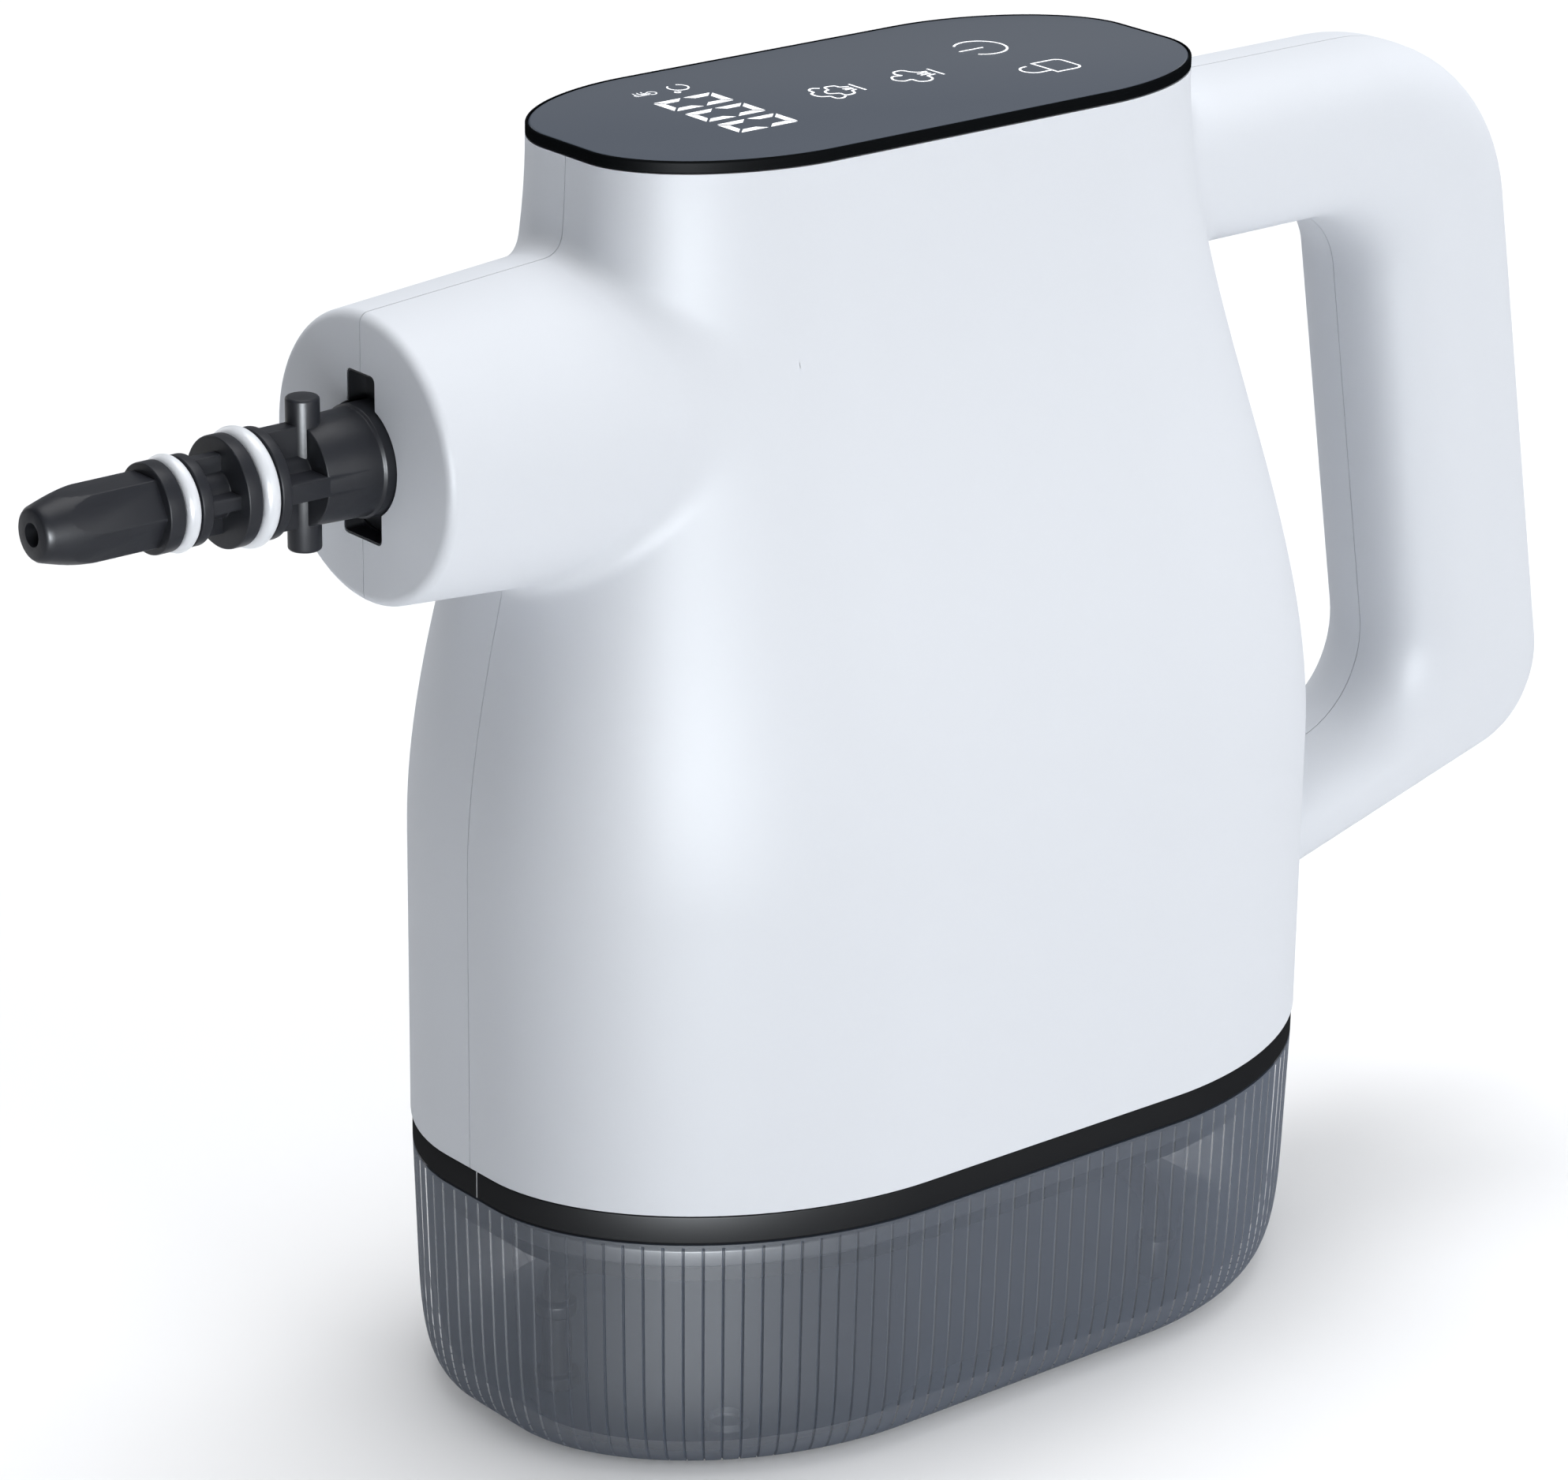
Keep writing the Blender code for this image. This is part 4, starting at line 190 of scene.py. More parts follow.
# %% [markdown]
# Wide area lights do the shaping, as softboxes do: a key on the spectator's side, a big one overhead
# and two weak ones for the far side and the rear.  The bright upright streak on the body's front
# corner is a reflection, so it comes from a card of its own.  The card is hidden from diffuse rays, or
# it would light the whole body, and so it can be strong enough to show in a dull coat.


# %% Area lights
def area_light(name, place, target, size, size_y, power, colour=(1, 1, 1)):
    """Rectangular light at a place that looks at a target."""
    data = bpy.data.lights.new(name, "AREA")
    data.shape = "RECTANGLE"
    data.size = size
    data.size_y = size_y
    data.energy = power
    data.color = colour
    light = bpy.data.objects.new(name, data)
    bpy.context.scene.collection.objects.link(light)
    light.location = place
    light.rotation_euler = (Vector(target) - Vector(place)).to_track_quat("-Z", "Y").to_euler()
    return light


MIDDLE = (0, 0, 0.11)
CARD_HEIGHT = 0.12
CARD_TINT = (0.90, 0.95, 1.0)
area_light("key", (0.2, -1.5, 0.5), MIDDLE, 0.9, 0.9, 11.5)
area_light("top", (0.25, 0.3, 3.0), MIDDLE, 2.2, 2.2, 84)
area_light("far side", (-0.1, 1.7, 0.5), MIDDLE, 0.8, 0.8, 3)
area_light("rear", (1.5, 0.35, 0.5), MIDDLE, 0.8, 0.8, 2)
card = area_light("card", (-0.83, -1.07, CARD_HEIGHT), (0, 0, CARD_HEIGHT), 0.45, 0.2, 100, CARD_TINT)
card.visible_diffuse = False
bpy.context.scene.view_settings.view_transform = "Standard"

# %% [markdown]
# ## Helpers for meshes
# Most pieces here are skins: rows of points joined by quads, with a flat cap at each end.  A curve
# with a bevel or the Screw modifier could make many of them, but rows of points also take sections
# that change along the way.  Booleans then join and cut them, as one would in the modelling window.

# %% Mesh helpers
GAP = 0.3 * MM
OVERRUN = 4.0 * MM


def link(name, mesh):
    thing = bpy.data.objects.new(name, mesh)
    bpy.context.scene.collection.objects.link(thing)
    return thing


def mesh_from(name, vertices, faces):
    """Mesh whose faces all point outwards."""
    mesh = bpy.data.meshes.new(name)
    mesh.from_pydata([tuple(v) for v in vertices], [], faces)
    work = bmesh.new()
    work.from_mesh(mesh)
    bmesh.ops.recalc_face_normals(work, faces=work.faces)
    work.to_mesh(mesh)
    work.free()
    return mesh


def skin(name, rings, closed_path=False):
    """Solid through rings of points; a closed path joins the last ring to the first."""
    count = len(rings[0])
    vertices = [point for ring in rings for point in ring]
    faces = []
    for row in range(len(rings) if closed_path else len(rings) - 1):
        start = row * count
        following = ((row + 1) % len(rings)) * count
        for i in range(count):
            j = (i + 1) % count
            faces.append((start + i, start + j, following + j, following + i))
    if not closed_path:
        faces.append(tuple(reversed(range(count))))
        faces.append(tuple(range(len(vertices) - count, len(vertices))))
    return link(name, mesh_from(name, vertices, faces))


def turned(name, profile, segments, closed_path=False):
    """Solid turned about X from (place along X, radius); a closed profile makes a ring."""
    turns = [math.tau * (step + 0.5) / segments for step in range(segments)]
    if closed_path:
        rings = [[(x, r * math.cos(turn), r * math.sin(turn)) for x, r in profile] for turn in turns]
    else:
        rings = [[(x, r * math.cos(turn), r * math.sin(turn)) for turn in turns] for x, r in profile]
    return skin(name, rings, closed_path)


def box(name, low, high):
    """Block between two opposite corners."""
    work = bmesh.new()
    bmesh.ops.create_cube(work, size=1)
    bmesh.ops.scale(work, vec=[b - a for a, b in zip(low, high)], verts=work.verts)
    bmesh.ops.translate(work, vec=[(a + b) / 2 for a, b in zip(low, high)], verts=work.verts)
    mesh = bpy.data.meshes.new(name)
    work.to_mesh(mesh)
    work.free()
    return link(name, mesh)


def rod(name, radius, start, end, segments=32):
    """Round bar from one place to another."""
    start, end = Vector(start), Vector(end)
    work = bmesh.new()
    bmesh.ops.create_cone(
        work, cap_ends=True, segments=segments, radius1=radius, radius2=radius, depth=(end - start).length
    )
    turn = Vector((0, 0, 1)).rotation_difference(end - start).to_matrix().to_4x4()
    bmesh.ops.transform(work, matrix=Matrix.Translation((start + end) / 2) @ turn, verts=work.verts)
    mesh = bpy.data.meshes.new(name)
    work.to_mesh(mesh)
    work.free()
    return link(name, mesh)


def bake_modifiers(thing):
    """Turn an object with modifiers into a plain mesh."""
    bpy.context.view_layer.update()
    graph = bpy.context.evaluated_depsgraph_get()
    mesh = bpy.data.meshes.new_from_object(thing.evaluated_get(graph))
    thing.modifiers.clear()
    thing.data = mesh
    return thing


def combine(target, tool, operation):
    """Apply one Boolean at once and drop the tool."""
    modifier = target.modifiers.new(operation, "BOOLEAN")
    modifier.operation = operation
    modifier.object = tool
    bake_modifiers(target)
    bpy.data.objects.remove(tool)
    return target


def cut(target, *tools):
    for tool in tools:
        combine(target, tool, "DIFFERENCE")
    return target


def join(target, *tools):
    for tool in tools:
        combine(target, tool, "UNION")
    return target


def merge(name, parts):
    """One object from several, in order; the parts are dropped."""
    work = bmesh.new()
    for part in parts:
        work.from_mesh(part.data)
    mesh = bpy.data.meshes.new(name)
    work.to_mesh(mesh)
    work.free()
    for part in parts:
        bpy.data.objects.remove(part)
    return link(name, mesh)


def move(thing, offset):
    thing.data.transform(Matrix.Translation(offset))
    return thing


def smooth(thing, angle):
    thing.data.shade_smooth()
    thing.data.set_sharp_from_angle(angle=math.radians(angle))
    return thing


def triangles(thing):
    return sum(len(face.vertices) - 2 for face in thing.data.polygons)


print("helpers ready")

# %% [markdown]
# ## The body's form
# The body is an oblong with soft corners that narrows from its base to its neck along an S-curve.
# It could be a subdivided cage, which is quick to draw but hard to fit to sizes.  Here one function
# gives the outline at any height, so the wall, the inside, the trim, the band and the tank share it
# and meet without a step.

# %% Body outline
BODY_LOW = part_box("shell_left")[0].z
BODY_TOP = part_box("shell_left")[1].z
BODY_HEIGHT = BODY_TOP - BODY_LOW
BASE_LENGTH, BASE_WIDTH = 168.0 * MM, 100.4 * MM
BASE_CORNER_LENGTH, BASE_CORNER_WIDTH = 56.0 * MM, 43.6 * MM
NECK_LENGTH, NECK_WIDTH = 122.5 * MM, 55.3 * MM
NECK_CORNER_LENGTH, NECK_CORNER_WIDTH = 32.1 * MM, 21.6 * MM
NECK_FORWARD = 2.6 * MM
CORNER_POWER = 1.9
SHOULDER_START_SHARE = 0.30
WALL = 2.4 * MM


def mix(low, high, share):
    return low + (high - low) * share


def oblong(half_length, half_width, corner_length, corner_width, middle, corner_steps, flat_steps):
    """Points round an oblong with soft corners, with extra points along its flats."""
    corners = []
    for sign_x, sign_y, backwards in ((1, 1, False), (-1, 1, True), (-1, -1, False), (1, -1, True)):
        corner = []
        for step in range(corner_steps + 1):
            share = step / corner_steps
            angle = math.pi / 2 * (1 - share if backwards else share)
            x = half_length - corner_length + corner_length * max(0, math.cos(angle)) ** (2 / CORNER_POWER)
            y = half_width - corner_width + corner_width * max(0, math.sin(angle)) ** (2 / CORNER_POWER)
            corner.append((middle + sign_x * x, sign_y * y))
        corners.append(corner)
    points = []
    for corner, following in zip(corners, corners[1:] + corners[:1]):
        points += corner
        end, start = corner[-1], following[0]
        for step in range(1, flat_steps):
            share = step / flat_steps
            points.append((mix(end[0], start[0], share), mix(end[1], start[1], share)))
    return points


def body_outline(height, inset=0, corner_steps=36, flat_steps=12):
    """Outline of the body at a height, moved inwards by an inset."""
    run = ((height - BODY_LOW) / BODY_HEIGHT - SHOULDER_START_SHARE) / (1 - SHOULDER_START_SHARE)
    run = min(1, max(0, run))
    share = run * run * (3 - 2 * run)
    return oblong(
        mix(BASE_LENGTH, NECK_LENGTH, share) / 2 - inset,
        mix(BASE_WIDTH, NECK_WIDTH, share) / 2 - inset,
        mix(BASE_CORNER_LENGTH, NECK_CORNER_LENGTH, share) - inset,
        mix(BASE_CORNER_WIDTH, NECK_CORNER_WIDTH, share) - inset,
        -NECK_FORWARD * share,
        corner_steps,
        flat_steps,
    )


def at_height(outline, height):
    return [(x, y, height) for x, y in outline]


def body_solid(name, inset, low, high, levels, corner_steps, flat_steps):
    heights = [mix(low, high, level / levels) for level in range(levels + 1)]
    return skin(name, [at_height(body_outline(h, inset, corner_steps, flat_steps), h) for h in heights])


print("body from", round(BODY_LOW / MM, 1), "to", round(BODY_TOP / MM, 1), "mm")

# %% [markdown]
# ## The barrel and the handle
# The barrel carries the spout.  It is a slow cone with a rounded rim, so it is turned about its axis.
# The handle is a loop whose grip changes in depth all along.  A curve with a bevel has one depth, so
# its outer and inner outlines are drawn instead: straight runs with round corners, walked in step,
# and an oval section spans them at each step.

# %% Barrel
AXIS_HEIGHT = 174.7 * MM
FACE_X = -103.5 * MM
FACE_RADIUS = 23.5 * MM
BARREL_ROOT_X = -40.0 * MM
BARREL_ROOT_RADIUS = 28.2 * MM
FACE_FILLET = 1.7 * MM
FACE_WALL = 3.2 * MM
AXIS = Vector((0, 0, AXIS_HEIGHT))


def barrel_solid(name, inset, face_x, segments, steps):
    """Cone along X; only the outside has the rounded rim."""
    slope = (BARREL_ROOT_RADIUS - FACE_RADIUS) / (BARREL_ROOT_X - FACE_X)
    start_x = face_x + (0 if inset else FACE_FILLET)
    profile = []
    for step in range(steps):
        x = mix(BARREL_ROOT_X, start_x, step / steps)
        profile.append((x, FACE_RADIUS - inset + slope * (x - FACE_X)))
    if inset:
        profile.append((face_x, FACE_RADIUS - inset + slope * (face_x - FACE_X)))
    else:
        for step in range(steps // 2 + 1):
            angle = math.pi / 2 * step / (steps // 2)
            x = face_x + FACE_FILLET * (1 - math.sin(angle))
            radius = FACE_RADIUS + slope * FACE_FILLET - FACE_FILLET * (1 - math.cos(angle))
            profile.append((x, radius))
    return move(turned(name, profile, segments), AXIS)


print("barrel face at", round(FACE_X / MM, 1), "mm")

# %% Handle
HANDLE_HALF_WIDTH = 15.6 * MM
HANDLE_POWER = 2.7
OUTER_CORNERS = ((50.0, 210.6), (133.6, 210.6), (156.5, 79.0), (82.0, 59.5))
OUTER_ROUNDINGS = (35.0, 15.0)
INNER_CORNERS = ((50.0, 181.2), (103.8, 181.2), (119.0, 86.0), (78.0, 72.6))
INNER_ROUNDINGS = (14.0, 18.0)


def rounded_path(corners, roundings, run_steps, arc_steps):
    """Path through corners in millimetres, with an arc at each of them."""
    points = [Vector(corner) * MM for corner in corners]
    path = []
    start = points[0]
    for corner, following, radius in zip(points[1:], points[2:], roundings):
        arrive = (corner - start).normalized()
        leave = (following - corner).normalized()
        turn = arrive.angle_signed(leave)
        reach = radius * MM * math.tan(abs(turn) / 2)
        first = corner - arrive * reach
        path += [start.lerp(first, step / run_steps) for step in range(run_steps)]
        side = Vector((arrive.y, -arrive.x)) if turn > 0 else Vector((-arrive.y, arrive.x))
        centre = first + side * radius * MM
        for step in range(arc_steps):
            path.append(centre + Matrix.Rotation(-turn * step / arc_steps, 2) @ (first - centre))
        start = corner + leave * reach
    return path + [start.lerp(points[-1], step / run_steps) for step in range(run_steps + 1)]


def handle_solid(name, inset, sides, run_steps, arc_steps):
    """Oval section swept between the two outlines, closed into the body at its root."""
    outer = rounded_path(OUTER_CORNERS, OUTER_ROUNDINGS, run_steps, arc_steps)
    inner = rounded_path(INNER_CORNERS, INNER_ROUNDINGS, run_steps, arc_steps)
    rings = []
    for out, near in zip(outer, inner):
        middle = (out + near) / 2
        reach = (out - near) / 2
        depth = reach.length - inset
        heading = reach.normalized()
        ring = []
        for step in range(sides):
            angle = math.tau * (step + 0.5) / sides
            over = math.copysign(abs(math.cos(angle)) ** (2 / HANDLE_POWER), math.cos(angle)) * depth
            side = math.copysign(abs(math.sin(angle)) ** (2 / HANDLE_POWER), math.sin(angle))
            point = middle + heading * over
            ring.append((point.x, side * (HANDLE_HALF_WIDTH - inset), point.y))
        rings.append(ring)
    root_x = OUTER_CORNERS[0][0] * MM
    rings.append([(root_x, y, z) for x, y, z in rings[-1]])
    return skin(name, rings)


print("handle corners", OUTER_CORNERS)

# %% [markdown]
# ## Soft joints between body, barrel and handle
# On a moulding the barrel grows out of the body with a small radius.  A Boolean union leaves a sharp
# crease, a Bevel modifier on it tangles where many small edges meet, and a remesh would blur every
# other edge.  So the mesh is refined near the crease, and each point there is pushed out to the
# surface of a "smooth union": where both solids are near, their distances are blended before the
# surface is taken.  The distances come from a search tree over each solid's faces.

# %% Smooth union
TOUCHING = 1e-7
NEAR_SHARE = 1.3
REFINE_PASSES = 4
PUSH_PASSES = 6


def signed_distance(tree, point):
    """Distance to a solid, below zero inside it, and the direction away from it."""
    place, normal, _, _ = tree.find_nearest(point)
    offset = point - place
    distance = offset.length
    if distance < TOUCHING:
        return 0.0, normal
    inside = offset.dot(normal) < 0
    return (-distance if inside else distance), (-offset if inside else offset) / distance


def soft_union(first, second, reach, fine):
    """Join two solids with a soft crease; reach is its size, fine the longest edge in it."""
    trees = []
    for solid in (first, second):
        work = bmesh.new()
        work.from_mesh(solid.data)
        bmesh.ops.triangulate(work, faces=work.faces)
        trees.append(BVHTree.FromBMesh(work))
        work.free()
    join(first, second)
    work = bmesh.new()
    work.from_mesh(first.data)

    def near(vertex):
        return all(abs(signed_distance(tree, vertex.co)[0]) < NEAR_SHARE * reach for tree in trees)

    for _ in range(REFINE_PASSES):
        zone = {v for v in work.verts if near(v)}
        faces = [f for f in work.faces if any(v in zone for v in f.verts) and len(f.verts) > 3]
        bmesh.ops.triangulate(work, faces=faces, quad_method="BEAUTY", ngon_method="BEAUTY")
        long = [e for e in work.edges if e.calc_length() > fine and not zone.isdisjoint(e.verts)]
        if not long:
            break
        bmesh.ops.subdivide_edges(work, edges=long, cuts=1)
    faces = [f for f in work.faces if len(f.verts) > 4]
    bmesh.ops.triangulate(work, faces=faces)
    moved = 0
    for vertex in work.verts:
        if not near(vertex):
            continue
        for _ in range(PUSH_PASSES):
            (a, normal_a), (b, normal_b) = (signed_distance(tree, vertex.co) for tree in trees)
            share = max(0.0, reach - abs(a - b)) / reach
            value = min(a, b) - reach / 4 * share * share
            weight = min(1.0, max(0.0, 0.5 + (b - a) / (2 * reach)))
            normal = (normal_a * weight + normal_b * (1 - weight)).normalized()
            vertex.co -= normal * value
        moved += 1
    work.to_mesh(first.data)
    work.free()
    print("soft joint:", moved, "points moved")
    return first


print("smooth union ready")

# %% [markdown]
# ## The two shells
# The body is moulded as a left and a right half that meet in a hairline.  Each half could be modelled
# by itself and mirrored, but the seam would then have to match point by point.  So one fine, hollow
# solid is made, its openings are cut, and it is split by a slab as thin as the hairline.  Round
# columns stay in the hollow where the screws go through.

# %% One fine hollow body
PARTING = 0.16 * MM
SOFT_REACH = 3.4 * MM
BLEND_EDGE = 0.9 * MM
SHELL_SCREWS = [f"shell_screw_{number}" for number in range(1, 7)]
SCREW_HEAD_HEIGHT = 2.2 * MM
SCREW_SHAFT = 1.5 * MM
SHAFT_REACH = 9.0 * MM  # how far the shafts reach past the parting plane
SCREW_COLUMN_RADIUS = 4.6 * MM


def screw_place(node):
    """Middle, top of the head and radius of the head of a shell screw, read from its box."""
    low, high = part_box(node)
    return (low.x + high.x) / 2, (low.z + high.z) / 2, high.y, (high.x - low.x) / 2


def screw_rods(name, radius, start_y, end_y, segments=40):
    """One rod along Y at each shell screw, as one tool."""
    rods = []
    for screw_name in SHELL_SCREWS:
        x, z, _, _ = screw_place(screw_name)
        rods.append(rod(name, radius, (x, start_y, z), (x, end_y, z), segments))
    return merge(name, rods)


shell = body_solid("body", 0, BODY_LOW, BODY_TOP, 64, 30, 14)
shell = soft_union(shell, barrel_solid("barrel", 0, FACE_X, 112, 28), SOFT_REACH, BLEND_EDGE)
shell = soft_union(shell, handle_solid("handle", 0, 56, 16, 16), SOFT_REACH, BLEND_EDGE)
hollow = body_solid("hollow", WALL, BODY_LOW - OVERRUN, BODY_TOP + OVERRUN, 20, 8, 2)
join(
    hollow,
    barrel_solid("barrel_hollow", WALL, FACE_X + FACE_WALL, 48, 4),
    handle_solid("handle_hollow", WALL, 16, 1, 6),
)
cut(hollow, screw_rods("columns", SCREW_COLUMN_RADIUS, -BASE_WIDTH, BASE_WIDTH))
cut(shell, hollow)
print("hollow body:", triangles(shell), "triangles")

# %% [markdown]
# ## Openings in the shells
# The barrel's face has a round hole with a bayonet slot above and below it, and the back wall has a
# window for the latch.  On the tool these are pins and sliders.  Here they are solids that are cut
# away, with their corners rounded before the cut, since a Bevel after it would also take other edges.

# %% Openings of the barrel's face
FACE_HOLE_RADIUS = 9.45 * MM
SLOTS = (
    ("high", 6.8 * MM, AXIS_HEIGHT, AXIS_HEIGHT + 13.8 * MM),
    ("low", 9.6 * MM, AXIS_HEIGHT - 12.7 * MM, AXIS_HEIGHT),
)
SLOT_ROUNDING = 0.7 * MM
SLOT_LINER = 0.35 * MM  # a black sleeve behind the face lines the slots


def bevelled(thing, width, segments=3):
    """Ease a piece's sharp edges with the Bevel modifier."""
    bevel = thing.modifiers.new("bevel", "BEVEL")
    bevel.width = width
    bevel.segments = segments
    bevel.limit_method = "ANGLE"
    bevel.angle_limit = math.radians(40)
    return bake_modifiers(thing)


face_back = FACE_X + FACE_WALL + OVERRUN / 2


def slot_tool(width, low, high, front, growth=0.0):
    """Bar that fills a slot; its corners are rounded as they are seen from the front."""
    reach = width / 2 + growth
    bar = box("slot", (front, -reach, low - growth), (face_back, reach, high + growth))
    work = bmesh.new()
    work.from_mesh(bar.data)
    along = [e for e in work.edges if abs(e.verts[0].co.x - e.verts[1].co.x) > MM]
    rounding = SLOT_ROUNDING + growth
    bmesh.ops.bevel(work, geom=along, offset=rounding, segments=4, affect="EDGES", profile=0.5)
    work.to_mesh(bar.data)
    work.free()
    return bar


for _, width, low, high in SLOTS:
    cut(shell, slot_tool(width, low, high, FACE_X - OVERRUN, SLOT_LINER))
hole_ends = (FACE_X - OVERRUN, 0, AXIS_HEIGHT), (face_back, 0, AXIS_HEIGHT)
cut(shell, rod("face_hole", FACE_HOLE_RADIUS, *hole_ends, 64))
print("face with", len(SLOTS), "slots:", triangles(shell), "triangles")

# %% Window for the latch
LATCH_LOW, LATCH_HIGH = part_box("tank_latch")
LATCH_ROOM = 0.6 * MM
cut(
    shell,
    box(
        "latch_window",
        (LATCH_LOW.x - OVERRUN, LATCH_LOW.y - LATCH_ROOM, BODY_LOW - OVERRUN),
        (LATCH_HIGH.x + OVERRUN, LATCH_HIGH.y + LATCH_ROOM, LATCH_HIGH.z + 2 * LATCH_ROOM),
    ),
)
print("openings cut:", triangles(shell), "triangles")

# %% [markdown]
# The mains lead enters through a rubber bush on the rear corner, where the wall is curved.  The packed
# model has the bush on one flat facet of that corner.  The facet's two ends are found again from a
# coarse outline, and they give a frame whose X axis points straight out of the wall.

# %% Seat of the inlet bush
GLAND_SEAT_DEPTH = 0.9 * MM
GLAND_FLANGE_RADIUS = 8.0 * MM
GLAND_FLANGE_THICKNESS = 2.0 * MM
GLAND_RADIUS = 6.0 * MM
GLAND_BORE_RADIUS = 3.7 * MM
GLAND_LENGTH = 12.0 * MM
GLAND_FACET, CORNER_FACETS = 3, 7
gland_low, gland_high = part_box("cord_gland")
GLAND_HEIGHT = (gland_low.z + gland_high.z) / 2


def gland_frame():
    """Turn and shift that put the bush on the rear corner, with +X pointing out of the wall."""
    outline = [Vector(point) for point in body_outline(GLAND_HEIGHT, 0, CORNER_FACETS, 1)]
    last = CORNER_FACETS - GLAND_FACET
    first, second = outline[last], outline[last - 1]
    middle, along = (first + second) / 2, second - first
    outward = math.atan2(-along.x, along.y) if along.y > 0 else math.atan2(along.x, -along.y)
    return Matrix.Translation((middle.x, middle.y, GLAND_HEIGHT)) @ Matrix.Rotation(outward, 4, "Z")


for depth, radius in ((GLAND_LENGTH, GLAND_RADIUS), (GLAND_SEAT_DEPTH, GLAND_FLANGE_RADIUS)):
    tool = rod("gland_room", radius + GAP, (-depth, 0, 0), (GLAND_LENGTH, 0, 0), 56)
    tool.data.transform(gland_frame())
    cut(shell, tool)
print("bush sits at", [round(v / MM, 1) for v in gland_frame().translation], "mm")

# %% [markdown]
# The split comes last, so that both halves share every opening.  Only then does each half get its own
# holes: the right one has wells for the screw heads and clear holes, the left one has pilot holes.
# The six holes of a kind are one tool, because a Boolean on so fine a mesh takes its time.

# %% Split into halves
REACH = 0.4
right_half = link("fine_right", shell.data.copy())
left_half = cut(shell, box("far", (-REACH, -PARTING / 2, -REACH), (REACH, REACH, REACH)))
left_half.name = "fine_left"
cut(right_half, box("near", (-REACH, -REACH, -REACH), (REACH, PARTING / 2, REACH)))
_, _, head_top, head_radius = screw_place(SHELL_SCREWS[0])
cut(right_half, screw_rods("recess", head_radius + GAP, head_top - SCREW_HEAD_HEIGHT, BASE_WIDTH))
cut(right_half, screw_rods("clearance", SCREW_SHAFT + GAP, -OVERRUN, head_top, 24))
cut(left_half, screw_rods("pilot", SCREW_SHAFT + GAP, -SHAFT_REACH - GAP, OVERRUN, 24))
print("halves:", triangles(left_half), triangles(right_half), "triangles")

# %% [markdown]
# ## Finishes
# Every finish is a Principled shader.  Three effects are shared, so each is a node group that is
# built once: a fine grain in the moulding, which feeds a Bump node; wear, which finds convex edges
# by comparing the normal with a rounded one; and dust, which lies where a face looks up.  Pictures
# could do the same, but they would need an unwrapped surface.  Noise on Object coordinates needs none.


# %% Helpers for nodes
def new_group(name, inputs, outputs):
    """Shader node group with named inputs (label, kind, value) and outputs (label, kind)."""
    group = bpy.data.node_groups.new(name, "ShaderNodeTree")
    for label, kind, value in inputs:
        socket = group.interface.new_socket(label, in_out="INPUT", socket_type=kind)
        socket.default_value = value
    for label, kind in outputs:
        group.interface.new_socket(label, in_out="OUTPUT", socket_type=kind)
    return group, group.nodes.new("NodeGroupInput"), group.nodes.new("NodeGroupOutput")


def node(tree, kind, **settings):
    """New node with its properties set."""
    made = tree.nodes.new(kind)
    for key, value in settings.items():
        setattr(made, key, value)
    return made


def noise(tree, scale_socket=None, scale=100.0, detail=4.0, roughness=0.5):
    """Noise on Object coordinates, so that it sits still on the piece."""
    place = node(tree, "ShaderNodeTexCoord")
    texture = node(tree, "ShaderNodeTexNoise")
    texture.inputs["Scale"].default_value = scale
    texture.inputs["Detail"].default_value = detail
    texture.inputs["Roughness"].default_value = roughness
    tree.links.new(place.outputs["Object"], texture.inputs["Vector"])
    if scale_socket is not None:
        tree.links.new(scale_socket, texture.inputs["Scale"])
    return texture.outputs["Fac"]


def math_node(tree, operation, first, second=None, clamp=False):
    """Math on numbers or sockets; puts out the result's socket."""
    made = node(tree, "ShaderNodeMath", operation=operation, use_clamp=clamp)
    for socket, value in zip(made.inputs, (first, second)):
        if value is None:
            continue
        if isinstance(value, (int, float)):
            socket.default_value = value
        else:
            tree.links.new(value, socket)
    return made.outputs[0]


print("node helpers ready")


# %% Node groups for grain, wear and dust
def grain_group():
    group, start, end = new_group(
        "moulding grain",
        (("Scale", "NodeSocketFloat", 900.0), ("Amount", "NodeSocketFloat", 0.2)),
        (("Height", "NodeSocketFloat"), ("Mottle", "NodeSocketFloat")),
    )
    fine = noise(group, start.outputs["Scale"], detail=3.0)
    group.links.new(math_node(group, "MULTIPLY", fine, start.outputs["Amount"]), end.inputs["Height"])
    broad = noise(group, None, 22.0, 2.0)
    spread = math_node(group, "MULTIPLY", math_node(group, "SUBTRACT", broad, 0.5), 2.0)
    group.links.new(math_node(group, "MULTIPLY", spread, start.outputs["Amount"]), end.inputs["Mottle"])
    return group


def wear_group():
    group, start, end = new_group(
        "edge wear",
        (("Width", "NodeSocketFloat", 0.0004), ("Amount", "NodeSocketFloat", 0.3)),
        (("Mask", "NodeSocketFloat"),),
    )
    rounded = node(group, "ShaderNodeBevel", samples=4)
    group.links.new(start.outputs["Width"], rounded.inputs["Radius"])
    face = node(group, "ShaderNodeNewGeometry")
    turn = node(group, "ShaderNodeVectorMath", operation="DOT_PRODUCT")
    group.links.new(rounded.outputs["Normal"], turn.inputs[0])
    group.links.new(face.outputs["Normal"], turn.inputs[1])
    edge = math_node(group, "SUBTRACT", 1.0, turn.outputs["Value"], True)
    broken = math_node(group, "MULTIPLY", edge, noise(group, None, 260.0, 4.0))
    scaled = math_node(group, "MULTIPLY", broken, start.outputs["Amount"], True)
    group.links.new(scaled, end.inputs["Mask"])
    return group


